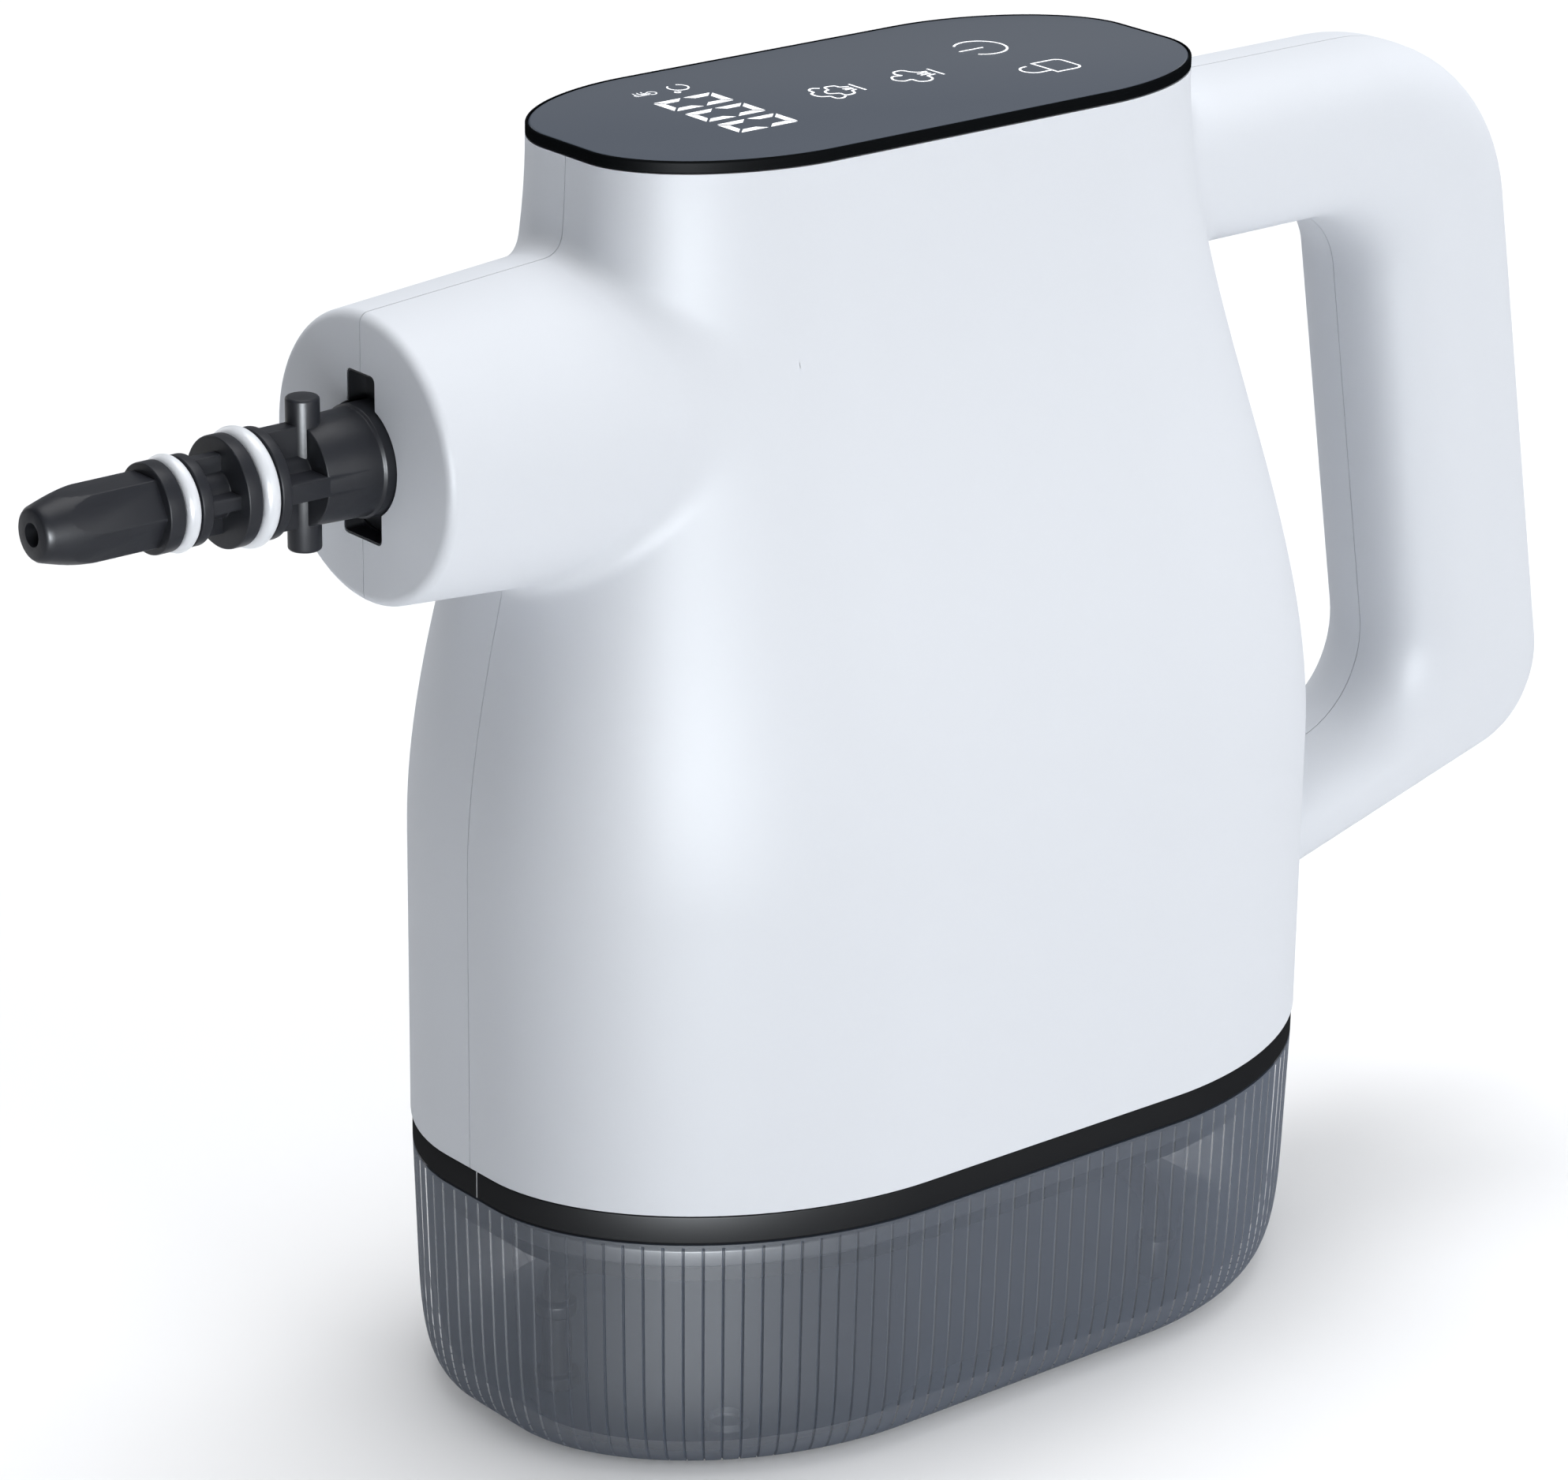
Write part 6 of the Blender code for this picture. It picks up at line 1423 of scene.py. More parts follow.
low_edge = arc((BAND_SETBACK + BAND_ROUNDING, BAND_LOW + BAND_ROUNDING), BAND_ROUNDING, 270, 180, 4)
high_edge = arc((BAND_SETBACK + BAND_ROUNDING, BAND_TOP - BAND_ROUNDING), BAND_ROUNDING, 180, 90, 4)
floor_inset = MOUTH + SKIRT_THICKNESS
band = base_hoop(
    "band",
    low_edge
    + high_edge
    + [
        (RIM_INSET, BAND_TOP),
        (RIM_INSET, BAND_TOP + RIM_HEIGHT),
        (RIM_INSET + RIM_THICKNESS, BAND_TOP + RIM_HEIGHT),
        (RIM_INSET + RIM_THICKNESS, BAND_TOP),
        (floor_inset + FLOOR_LIP, BAND_TOP),
        (floor_inset + FLOOR_LIP, FLOOR_LOW),
        (floor_inset, FLOOR_LOW),
        (floor_inset, BAND_LOW - SKIRT_DEPTH),
        (MOUTH, BAND_LOW - SKIRT_DEPTH),
        (MOUTH, BAND_LOW),
    ],
)
plate_inset = floor_inset + FLOOR_LIP / 2
plate_outline = body_outline(BODY_LOW, plate_inset, 36, 16)
join(band, skin("floor_plate", [at_height(plate_outline, z) for z in (FLOOR_LOW, BAND_TOP)]))
for x, y in BARBS:
    low, high = FLOOR_LOW - BARB_REACH, BAND_TOP + BARB_REACH
    join(band, rod("barb", BARB_RADIUS, (x, y, low), (x, y, high), 24))
    cut(band, rod("bore", BARB_BORE, (x, y, low - BORE_OVERRUN), (x, y, high + BORE_OVERRUN), 16))
print("band:", triangles(band), "triangles")

# %% [markdown]
# The latch rocks on a pin in the middle of the band's height, so the band is open there and two lugs
# carry the pin.  The lugs end well before the latch's plate, because the plate leans over them when
# it rocks.  The skirt and the seal also stop beside it, where the tank has a pocket for the latch.

# %% Room for the latch in the band
LATCH_PIN_RADIUS = 1.1 * MM
LATCH_PIN_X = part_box("latch_pin")[0].x + LATCH_PIN_RADIUS
PIN_HOLE_RADIUS = LATCH_PIN_RADIUS + 0.25 * MM
LATCH_EYE_HALF = 8.0 * MM
LUG_WIDTH = 3.0 * MM
LATCH_PIVOT_HEIGHT = (BAND_LOW + BAND_TOP) / 2
POCKET_CLEARANCE = 0.6 * MM
POCKET_WALL = 2.0 * MM
LATCH_EYE_RADIUS = 2.6 * MM
half_room = LATCH_HIGH.y + POCKET_CLEARANCE
latch_front = LATCH_PIN_X + LATCH_EYE_RADIUS  # the plate starts where its eye ends
pocket_front = latch_front - POCKET_CLEARANCE
room_front = LATCH_PIN_X - LATCH_EYE_RADIUS - POCKET_CLEARANCE
rear = BASE_LENGTH / 2 + OVERRUN
wide = half_room + POCKET_WALL + POCKET_CLEARANCE
room_low = (room_front, -half_room, BAND_LOW - OVERRUN)
room_high = (rear, half_room, BAND_TOP + RIM_HEIGHT + OVERRUN)
skirt_stop = pocket_front - POCKET_WALL - POCKET_CLEARANCE
cut(
    band,
    box("latch_room", room_low, room_high),
    box("skirt_room", (skirt_stop, -wide, BAND_LOW - 4 * OVERRUN), (rear, wide, BAND_LOW)),
)
lug_inner = LATCH_EYE_HALF + GAP
lug_outer = lug_inner + LUG_WIDTH
for near, far in ((-lug_outer, -lug_inner), (lug_inner, lug_outer)):
    join(band, box("lug", (room_front - LUG_WIDTH, near, BAND_LOW), (pocket_front, far, BAND_TOP)))


def latch_rod(name, radius, reach, segments):
    """Rod along the latch's axis, as far to one side as to the other."""
    ends = [(LATCH_PIN_X, side * reach, LATCH_PIVOT_HEIGHT) for side in (-1, 1)]
    return rod(name, radius, *ends, segments)


cut(band, latch_rod("pin_hole", PIN_HOLE_RADIUS, lug_outer + OVERRUN / 4, 32))
print("room for the latch from", round(room_front / MM, 1), "mm")

# %% [markdown]
# At the nose the band has a fine upright joint of its own, a little beside the body's parting line.
# It is a real slot, cut in the solid.  A pale strip in it is a painted highlight, for the light that the
# joint's edge catches.

# %% Upright joint in the band
JOINT_PLACE = -1.4 * MM
JOINT_WIDTH = 0.35 * MM
JOINT_DEPTH = 0.5 * MM
STRIP_SETBACK = 0.1 * MM
STRIP_AIR = 0.02 * MM
nose = -BASE_LENGTH / 2 + BAND_SETBACK
left, right = JOINT_PLACE - JOINT_WIDTH / 2, JOINT_PLACE + JOINT_WIDTH / 2
joint_low = (nose - OVERRUN, left, BAND_LOW - OVERRUN)
cut(band, box("joint", joint_low, (nose + JOINT_DEPTH, right, BAND_TOP + OVERRUN)))
joint_highlight = box(
    "band_joint",
    (nose + STRIP_SETBACK, left + STRIP_AIR, BAND_LOW + STRIP_SETBACK),
    (nose + JOINT_DEPTH - STRIP_AIR, right - STRIP_AIR, BAND_TOP - STRIP_SETBACK),
)
# Painted highlight: the pale strip stands for light caught on the joint's edge, and takes the silicone finish
# only for its pale colour.
hand_over(joint_highlight, [], "cleaner", "grey_silicone")
hand_over(band, ["base_frame"], "cleaner", "black_trim")

# %% [markdown]
# A silicone seal sits on the skirt and presses on the tank's wall from inside.  It follows the same
# outline as the band, so it is one more hoop, with its outer corners rounded.  It is seen only when
# the tank is off, so its outline has fewer points.

# %% Seal under the band
SEAL_ROUNDING = 0.5 * MM
seal_low, seal_high = (corner.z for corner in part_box("tank_gasket"))
seal_round = GASKET_INSET + SEAL_ROUNDING
seal = base_hoop(
    "tank_seal",
    arc((seal_round, seal_low + SEAL_ROUNDING), SEAL_ROUNDING, 270, 180, 4)
    + arc((seal_round, seal_high - SEAL_ROUNDING), SEAL_ROUNDING, 180, 90, 4)
    + [(GASKET_INSET + GASKET_THICKNESS, seal_high), (GASKET_INSET + GASKET_THICKNESS, seal_low)],
    24,
    8,
)
cut(seal, box("skirt_room", (skirt_stop, -wide, seal_low - OVERRUN), (rear, wide, BAND_LOW)))
# The seal gets the dark copy of the silicone, painted shade for its dim place inside the tank.
hand_over(seal, ["tank_gasket"], "cleaner", "grey_silicone", seal_painted_shade)

# %% [markdown]
# ## The fluted tank
# The tank is a smoky see-through cup.  Fine upright grooves run all round it and on round its heel.
# A Bump node could draw the grooves, but the tank's outline and its lip would stay smooth.  So the
# wall is first a plain skin whose columns sit where the grooves will be, and each point carries how
# far along the outline it lies.  A Geometry Nodes tree then sinks the points near each groove.

# %% Columns along the outline
FLUTE_PITCH = 3.3 * MM
FLUTE_WIDTH = 0.50 * MM
FLUTE_DEPTH = 0.36 * MM
FLUTE_COLUMNS = (-0.5, -0.27, 0.0, 0.27, 0.5)  # columns across a groove, in its widths
OUTLINE_STEPS = (240, 160)


def dense_outline(inset):
    """The base outline at an inset as many points, with the first one again at the end."""
    outline = body_outline(BODY_LOW, inset, *OUTLINE_STEPS)
    return np.array(outline + outline[:1])


dense = dense_outline(BAND_SETBACK)
lengths = np.concatenate([[0], np.cumsum(np.linalg.norm(np.diff(dense, axis=0), axis=1))])
perimeter = lengths[-1]
flutes = 2 * round(perimeter / FLUTE_PITCH / 2)
pitch = perimeter / flutes
offsets = np.append(np.array(FLUTE_COLUMNS) * FLUTE_WIDTH, pitch / 2)
runs = np.concatenate([flute * pitch + offsets for flute in range(flutes)]) + pitch / 2
runs = np.mod(runs, perimeter)
runs.sort()
places = np.interp(runs, lengths, np.arange(len(dense)))
print("outline", round(perimeter / MM, 1), "mm,", flutes, "flutes,", len(runs), "columns")

# %% [markdown]
# A moulded cup leans in a little towards its foot, so that it leaves the mould, and its heel is
# rounded.  Both are insets of one outline that depend on the height.  Every ring is read at the same
# places along the outline, so the columns stay upright and the grooves run straight.

# %% Rings of the cup
TANK_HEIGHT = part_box("water_tank")[1].z
TANK_DRAFT = 1.4 * MM
HEEL_HEIGHT = 24.5 * MM
HEEL_INSET = 9.8 * MM
HEEL_POWER = 3.6
HEEL_ROWS = 16
WALL_ROWS = 3
LEAST_ROW = 0.05 * MM
LIP_DROPS = (1.1 * MM, 0.6 * MM, 0.45 * MM)  # rows below the rim, where the grooves end


def ring_at(inset, height, columns):
    """Outline at an inset, taken at the same places along it for every inset."""
    outline = dense_outline(inset)
    x = np.interp(columns, np.arange(len(outline)), outline[:, 0])
    y = np.interp(columns, np.arange(len(outline)), outline[:, 1])
    return [(a, b, height) for a, b in zip(x, y)]


def heel_inset(height):
    """How far the rounded heel is drawn in at a height."""
    fall = 1 - min(1, height / HEEL_HEIGHT)
    return HEEL_INSET * (1 - (1 - fall**HEEL_POWER) ** (1 / HEEL_POWER))


def wall_rings(wall, low, high, columns, rows):
    """Rings of the cup from low to high, drawn in by the wall's thickness."""
    heights = [low]
    for step in reversed(range(rows + 1)):
        height = HEEL_HEIGHT * (1 - math.sin(math.pi / 2 * step / rows))
        if height > low + LEAST_ROW:
            heights.append(height)
    lip = [] if wall else [TANK_HEIGHT - drop for drop in LIP_DROPS]
    start = heights[-1]
    stop = lip[0] if lip else high
    heights += [mix(start, stop, row / WALL_ROWS) for row in range(1, WALL_ROWS + 1)]
    heights += lip[1:]
    if heights[-1] < high - LEAST_ROW:
        heights.append(high)
    rings = []
    for height in heights:
        above = height - low if wall else height
        share = max(0, min(1, 1 - height / TANK_HEIGHT))
        inset = BAND_SETBACK + wall + TANK_DRAFT * share + heel_inset(max(0, above))
        rings.append(ring_at(inset, height, columns))
    return rings


rings = wall_rings(0, 0, TANK_HEIGHT, places, HEEL_ROWS)
print("cup:", len(rings), "rings of", len(runs), "points")

# %% [markdown]
# In the tree each point's run is divided by the pitch.  What is left over from a whole number says how
# far the point is from the nearest groove.  A parabola of that is the depth, and it moves the point
# inward along its normal.  A second value on the points stops the grooves short of the rim.


# %% Tree that sinks the flutes
def flute_tree():
    """Moves points near each groove inward; the points carry 'run' and 'sunk'."""
    tree, start, end = group_tree(
        "sink flutes",
        (
            ("Pitch", "NodeSocketFloat", pitch),
            ("Width", "NodeSocketFloat", FLUTE_WIDTH),
            ("Depth", "NodeSocketFloat", FLUTE_DEPTH),
            ("Material", "NodeSocketMaterial", smoky),
        ),
    )

    def value(operation, first, second=None, clamp=False):
        return math_node(tree, operation, first, second, clamp)

    run = node(tree, "GeometryNodeInputNamedAttribute", data_type="FLOAT")
    run.inputs["Name"].default_value = "run"
    sunk = node(tree, "GeometryNodeInputNamedAttribute", data_type="FLOAT")
    sunk.inputs["Name"].default_value = "sunk"
    turns = value("DIVIDE", run.outputs["Attribute"], start.outputs["Pitch"])
    off = value("ABSOLUTE", value("SUBTRACT", turns, value("ROUND", turns)))
    distance = value("MULTIPLY", off, start.outputs["Pitch"])
    half_width = value("DIVIDE", start.outputs["Width"], 2.0)
    away = value("DIVIDE", distance, half_width)
    depth = value("SUBTRACT", 1.0, value("MULTIPLY", away, away), True)
    kept_depth = value("MULTIPLY", depth, sunk.outputs["Attribute"])
    amount = value("MULTIPLY", kept_depth, start.outputs["Depth"])
    inward = node(tree, "ShaderNodeVectorMath", operation="SCALE")
    normal = tree.nodes.new("GeometryNodeInputNormal")
    tree.links.new(normal.outputs["Normal"], inward.inputs[0])
    tree.links.new(value("MULTIPLY", amount, -1.0), inward.inputs["Scale"])
    place = tree.nodes.new("GeometryNodeSetPosition")
    tree.links.new(start.outputs["Geometry"], place.inputs["Geometry"])
    tree.links.new(inward.outputs["Vector"], place.inputs["Offset"])
    end_tree(tree, start, end, place.outputs["Geometry"])
    return tree


RIM_PLAIN = 0.5 * MM
tank = skin("tank_cup", rings)
layer = tank.data.attributes.new("run", "FLOAT", "POINT")
layer.data.foreach_set("value", np.tile(runs - pitch / 2, len(rings)).astype(np.float32))
layer = tank.data.attributes.new("sunk", "FLOAT", "POINT")
fades = [1.0 if 0 < ring[0][2] < TANK_HEIGHT - RIM_PLAIN else 0.0 for ring in rings]
layer.data.foreach_set("value", np.repeat(fades, len(runs)).astype(np.float32))
flute_values = {"Pitch": pitch, "Width": FLUTE_WIDTH, "Depth": FLUTE_DEPTH, "Material": smoky}
run_tree(tank, flute_tree(), flute_values)
print("fluted:", triangles(tank), "triangles")

# %% [markdown]
# The cup is still solid.  The room for the water is a second skin with fewer columns, as its wall is
# plain.  A Solidify modifier would carry every groove through to the inside.  Before the room is cut
# out of the cup, the walls of the latch's pocket and a low ring on the floor are cut out of the room,
# so in the cup they are left standing.

# %% Room for the water and pocket for the latch
ROOM_COLUMNS, ROOM_HEEL_ROWS = 180, 12
POCKET_DEPTH = 12.0 * MM
BOSS_PLACE = (-52.0 * MM, -28.0 * MM)
BOSS_RADIUS, BOSS_BORE, BOSS_HEIGHT = 3.9 * MM, 2.9 * MM, 1.6 * MM
plain = np.linspace(0, len(dense) - 1, ROOM_COLUMNS + 1)[:-1]
room_rings = wall_rings(TANK_WALL, TANK_WALL, TANK_HEIGHT + OVERRUN, plain, ROOM_HEEL_ROWS)
room = skin("water_room", room_rings)
pocket_low = LATCH_PIVOT_HEIGHT - POCKET_DEPTH - POCKET_CLEARANCE
wall_low = (pocket_front - POCKET_WALL, -half_room - POCKET_WALL, pocket_low - POCKET_WALL)
wall_high = (BASE_LENGTH, half_room + POCKET_WALL, TANK_HEIGHT + 2 * OVERRUN)
cut(room, box("pocket_wall", wall_low, wall_high))
boss_ends = (*BOSS_PLACE, TANK_WALL / 2), (*BOSS_PLACE, TANK_WALL + BOSS_HEIGHT)
boss = rod("boss_ring", BOSS_RADIUS, *boss_ends, 48)
bore_ends = (*BOSS_PLACE, 0), (*BOSS_PLACE, TANK_WALL + OVERRUN)
cut(boss, rod("boss_bore", BOSS_BORE, *bore_ends, 48))
cut(room, boss)
cut(tank, room)
pocket_high = (BASE_LENGTH, half_room, TANK_HEIGHT + OVERRUN)
cut(tank, box("latch_pocket", (pocket_front, -half_room, pocket_low), pocket_high))
print("hollow tank:", triangles(tank), "triangles")

# %% [markdown]
# Two curved rubber pads lie in the tank's floor, one under each end, and show through it as dark
# bands.  Each could be a curve with a bevel.  Here it is the base outline once more: a low hoop that is
# cut off where the pad ends.  The same hoop, grown a little, is cut out of the floor, so they fit.

# %% Feet
FOOT_INSET = 4.5 * MM
FOOT_WIDTH = 4.6 * MM
FOOT_THICKNESS = 1.1 * MM
FOOT_END = 28.5 * MM
FOOT_AIR = 0.3 * MM
FOOT_EASE = 0.2 * MM
FLAT_INSET = BAND_SETBACK + TANK_DRAFT + HEEL_INSET


def foot_pad(name, end_x, growth):
    """Curved pad round one end as far as end_x, or the room for it when it is grown."""
    near, far = FLAT_INSET + FOOT_INSET - growth, FLAT_INSET + FOOT_INSET + FOOT_WIDTH + growth
    low, high = (-OVERRUN if growth else 0), FOOT_THICKNESS + growth
    pad = base_hoop(name, [(near, low), (near, high), (far, high), (far, low)], 24, 8)
    side = math.copysign(1, end_x)
    stop = end_x - side * growth
    first, last = (-REACH, stop) if side > 0 else (stop, REACH)
    return cut(pad, box("other_end", (first, -REACH, -REACH), (last, REACH, REACH)))


for pad_name, hidden, end_x in (
    ("pad_front", "foot_front", -FOOT_END),
    ("pad_rear", "foot_rear", FOOT_END),
):
    cut(tank, foot_pad("foot_recess", end_x, FOOT_AIR))
    hand_over(bevelled(foot_pad(pad_name, end_x, 0), FOOT_EASE, 2), [hidden], "tank", "dark_rubber")
hand_over(tank, ["water_tank"], "tank", "smoky_tank", angle=28)

# %% [markdown]
# ## The latch and its pin
# A small rocker at the back holds the tank.  It is a plate with an eye for its pin and a web between
# the two, all joined to one solid, because they are one moulding.  The thumb presses its upper half,
# where five grooves give a grip.  The tree that placed the bars sets them in a row, and one cut takes
# the whole row away.

# %% Latch
LATCH_THICKNESS = 2.4 * MM
LATCH_EASE, PIN_EASE = 0.9 * MM, 0.2 * MM
GROOVES = 5
GROOVE_PITCH = 1.3 * MM
GROOVE_HALF, GROOVE_EASE = 0.3 * MM, 0.15 * MM
GROOVE_OFFSET = 0.08 * MM  # the middle of a groove stands this far out of the plate
FIRST_GROOVE = 2.2 * MM
back_x = latch_front + LATCH_THICKNESS
plate_high = (back_x, LATCH_HIGH.y, LATCH_HIGH.z)
plate = box("latch_rocker", (latch_front, LATCH_LOW.y, LATCH_LOW.z), plate_high)
bevelled(plate, LATCH_EASE, 5)
web_low = (LATCH_PIN_X, -LATCH_EYE_HALF, LATCH_PIVOT_HEIGHT - LATCH_EYE_RADIUS)
web_high = (back_x - LATCH_THICKNESS / 2, LATCH_EYE_HALF, LATCH_PIVOT_HEIGHT + LATCH_EYE_RADIUS)
eye = latch_rod("eye", LATCH_EYE_RADIUS, LATCH_EYE_HALF, 40)
join(plate, eye, box("web", web_low, web_high))
cut(plate, latch_rod("pin_hole", PIN_HOLE_RADIUS, 2 * LATCH_EYE_HALF, 32))
groove_corner = Vector((GROOVE_HALF, LATCH_EYE_HALF, GROOVE_HALF))
groove = bevelled(box("thumb_groove", -groove_corner, groove_corner), GROOVE_EASE, 2)
first_z = LATCH_HIGH.z - FIRST_GROOVE
spots = [(back_x + GROOVE_OFFSET, 0, first_z - i * GROOVE_PITCH) for i in range(GROOVES)]
grooves = points_mesh("thumb_grooves", spots, turn=[(0, 0, 0)] * GROOVES)
cut(plate, stamped(grooves, groove, "place grooves", plastic))
hand_over(plate, ["tank_latch"], "latch", "black_plastic")
pin_ends = [(LATCH_PIN_X, corner.y, LATCH_PIVOT_HEIGHT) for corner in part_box("latch_pin")]
fine_pin = rod("latch_pivot", LATCH_PIN_RADIUS, *pin_ends, 32)
hand_over(bevelled(fine_pin, PIN_EASE, 2), ["latch_pin"], "cleaner", "steel")

# %% [markdown]
# ## Screws and the inlet bush
# Six screws hold the shells.  A screw could be modelled face by face.  It is round, so spinning its
# profile is quicker, and two bars are then cut out of its head for the cross.  That is done once.  The
# stamp tree sets it on six points, each with its own turn from a fixed seed, since no hand stops every
# screw at the same angle.

# %% Shell screws
SCREW_SEAT = head_top - SCREW_HEAD_HEIGHT
SHAFT_LENGTH = SHAFT_REACH + SCREW_SEAT
POINT_LENGTH, POINT_SHARE = 0.7 * MM, 0.6
HEAD_ROUNDING = 0.5 * MM
SLOT_WIDTH, SLOT_DEPTH, SLOT_LENGTH = 0.75 * MM, 1.2 * MM, 3.2 * MM


def screw_stamp(head_radius):
    """Screw along +Y, with its seat at the origin, a rounded head and a cross recess."""
    profile = [
        (-SHAFT_LENGTH, SCREW_SHAFT * POINT_SHARE),
        (POINT_LENGTH - SHAFT_LENGTH, SCREW_SHAFT),
        (0, SCREW_SHAFT),
        (0, head_radius),
    ]
    for angle in np.linspace(0, math.pi / 2, 5):
        up, out = HEAD_ROUNDING * (math.sin(angle) - 1), HEAD_ROUNDING * (math.cos(angle) - 1)
        profile.append((SCREW_HEAD_HEIGHT + up, head_radius + out))
    screw = turned("screw", profile, 40)
    screw.data.transform(Matrix.Rotation(math.radians(90), 4, "Z"))
    for half_x, half_z in ((SLOT_LENGTH / 2, SLOT_WIDTH / 2), (SLOT_WIDTH / 2, SLOT_LENGTH / 2)):
        low = (-half_x, SCREW_HEAD_HEIGHT - SLOT_DEPTH, -half_z)
        cut(screw, box("slot", low, (half_x, SCREW_HEAD_HEIGHT + OVERRUN, half_z)))
    return screw


heads = [screw_place(name) for name in SHELL_SCREWS]
screw = screw_stamp(head_radius)
random_turns = np.random.default_rng(7).uniform(0, math.tau, len(heads))
turns = [(0, turn, 0) for turn in random_turns]
seats = points_mesh("shell_screws", [(x, SCREW_SEAT, z) for x, z, _, _ in heads], turn=turns)
screws = stamped(seats, screw, "place screws", FINISHES["steel"])
hand_over(screws, SHELL_SCREWS, "cleaner", "steel")

# %% [markdown]
# The bush is one soft moulding that grips the lead: a sleeve in the wall and a flange outside it.  It is
# round as well, so its section is spun.  The section is a closed path, which leaves the bore open and
# needs no Boolean.  It is then laid into the frame that its seat was cut in.

# %% Inlet bush
BUSH_FOOT_EASE, BUSH_EASE, BUSH_MOUTH_EASE = 0.3 * MM, 0.8 * MM, 0.4 * MM
BUSH_EASE_MIDDLE = 0.3 * BUSH_EASE
bush_seat = GAP - GLAND_SEAT_DEPTH
bush_face = bush_seat + GLAND_FLANGE_THICKNESS
bush_profile = [
    (bush_seat - GLAND_LENGTH, GLAND_BORE_RADIUS),
    (bush_seat - GLAND_LENGTH, GLAND_RADIUS),
    (bush_seat, GLAND_RADIUS),
    (bush_seat, GLAND_FLANGE_RADIUS - BUSH_FOOT_EASE),
    (bush_seat + BUSH_FOOT_EASE, GLAND_FLANGE_RADIUS),
    (bush_face - BUSH_EASE, GLAND_FLANGE_RADIUS),
    (bush_face - BUSH_EASE_MIDDLE, GLAND_FLANGE_RADIUS - BUSH_EASE_MIDDLE),
    (bush_face, GLAND_FLANGE_RADIUS - BUSH_EASE),
    (bush_face, GLAND_BORE_RADIUS + BUSH_MOUTH_EASE),
    (bush_face - BUSH_MOUTH_EASE, GLAND_BORE_RADIUS),
]
bush = turned("inlet_bush", bush_profile, 64, closed_path=True)
bush.data.transform(gland_frame())
hand_over(bush, ["cord_gland"], "cleaner", "dark_rubber")

# %% [markdown]
# ## The spout
# The spout is one black moulding: a six-sided tip, two discs for seal rings, a slender neck and cage
# with ribs, two lugs that lock a nozzle, and a flange behind the barrel's face.  Nearly all of it is
# round, so one profile is spun, like work on a lathe.  Its corners are eased in the flat profile, where
# each is a few points.  A Bevel on the solid would have to work out a thousand edges instead.


# %% Profiles with eased corners
def eased(profile, radius, steps=3):
    """Profile with a short curve for each corner, no longer than its two runs allow."""
    points = [Vector(p) for p in profile]
    result = [points[0]]
    for before, corner, after in zip(points, points[1:], points[2:]):
        arrive, leave = corner - before, after - corner
        if arrive.angle(leave) < math.radians(12):
            result.append(corner)
            continue
        reach = radius * math.tan(arrive.angle(leave) / 2)
        reach = min(reach, 0.45 * arrive.length, 0.45 * leave.length)
        first, last = corner - arrive.normalized() * reach, corner + leave.normalized() * reach
        for step in range(steps + 1):
            t = step / steps
            result.append(first * (1 - t) ** 2 + corner * (2 * t * (1 - t)) + last * t**2)
    result.append(points[-1])
    return [(p.x, p.y) for p in result]


# %% Turned parts of the spout
SPOUT_LENGTH = 60.0 * MM
SPOUT_RUNS = (10.7, 9.4, 2.8, 3.1, 1.9, 5.3, 2.5, 3.6, 1.8, 7.0)  # from the tip back, in millimetres
SPOUT_SEGMENTS = 96
SPOUT_EASE = 0.35 * MM
CORE_RADIUS = 3.9 * MM
HEX_RADIUS = 6.25 * MM
TIP_RADIUS = 4.2 * MM
SMALL_DISC, LARGE_DISC = 7.2 * MM, 8.9 * MM
SMALL_GROOVE, LARGE_GROOVE = 4.8 * MM, 6.2 * MM
CAGE_RADIUS, SLEEVE_RADIUS, COLLAR_RADIUS = 8.3 * MM, 8.7 * MM, 9.1 * MM
DISC_MIDDLE = 0.8 * MM  # the tip covers the middle of the first disc
COLLAR_REACH, COLLAR_SLOPE = 1.5 * MM, 0.4 * MM
FLANGE_RADIUS, FLANGE_THICKNESS = 12.5 * MM, 2.6 * MM
TAIL_RADIUS, TAIL_LENGTH = 6.0 * MM, 7.0 * MM
stations = [FACE_X - SPOUT_LENGTH]
for run in SPOUT_RUNS:
    stations.append(stations[-1] + run * MM)
cone, hexagon, front_1, groove_1, rear_1, neck, front_2, groove_2, rear_2, cage, sleeve = stations
flange = FACE_X + FACE_WALL + GAP
flange_back = flange + FLANGE_THICKNESS
spout_profile = [
    (front_1, DISC_MIDDLE),
    (front_1, SMALL_DISC),
    (groove_1, SMALL_DISC),
    (groove_1, SMALL_GROOVE),
    (rear_1, SMALL_GROOVE),
    (rear_1, SMALL_DISC),
    (neck, SMALL_DISC),
    (neck, CORE_RADIUS),
    (front_2, CORE_RADIUS),
    (front_2, LARGE_DISC),
    (groove_2, LARGE_DISC),
    (groove_2, LARGE_GROOVE),
    (rear_2, LARGE_GROOVE),
    (rear_2, LARGE_DISC),
    (cage, LARGE_DISC),
    (cage, CORE_RADIUS),
    (sleeve, CORE_RADIUS),
    (sleeve, CAGE_RADIUS),
    (FACE_X - COLLAR_REACH - COLLAR_SLOPE, SLEEVE_RADIUS),
    (FACE_X - COLLAR_REACH, COLLAR_RADIUS),
    (flange, COLLAR_RADIUS),
    (flange, FLANGE_RADIUS),
    (flange_back, FLANGE_RADIUS),
    (flange_back, TAIL_RADIUS),
    (flange_back + TAIL_LENGTH, TAIL_RADIUS),
]
spout = turned("spout_fine", eased(spout_profile, SPOUT_EASE), SPOUT_SEGMENTS)
print("spout:", triangles(spout), "triangles")

# %% [markdown]
# The tip narrows in a soft curve and has six flats, so that a nozzle can't turn on it.  It could be
# lofted from a hexagon to a circle, but the faces between them would twist.  The other way round is
# easy: spin the curve, then keep only what lies in a six-sided prism with eased edges.

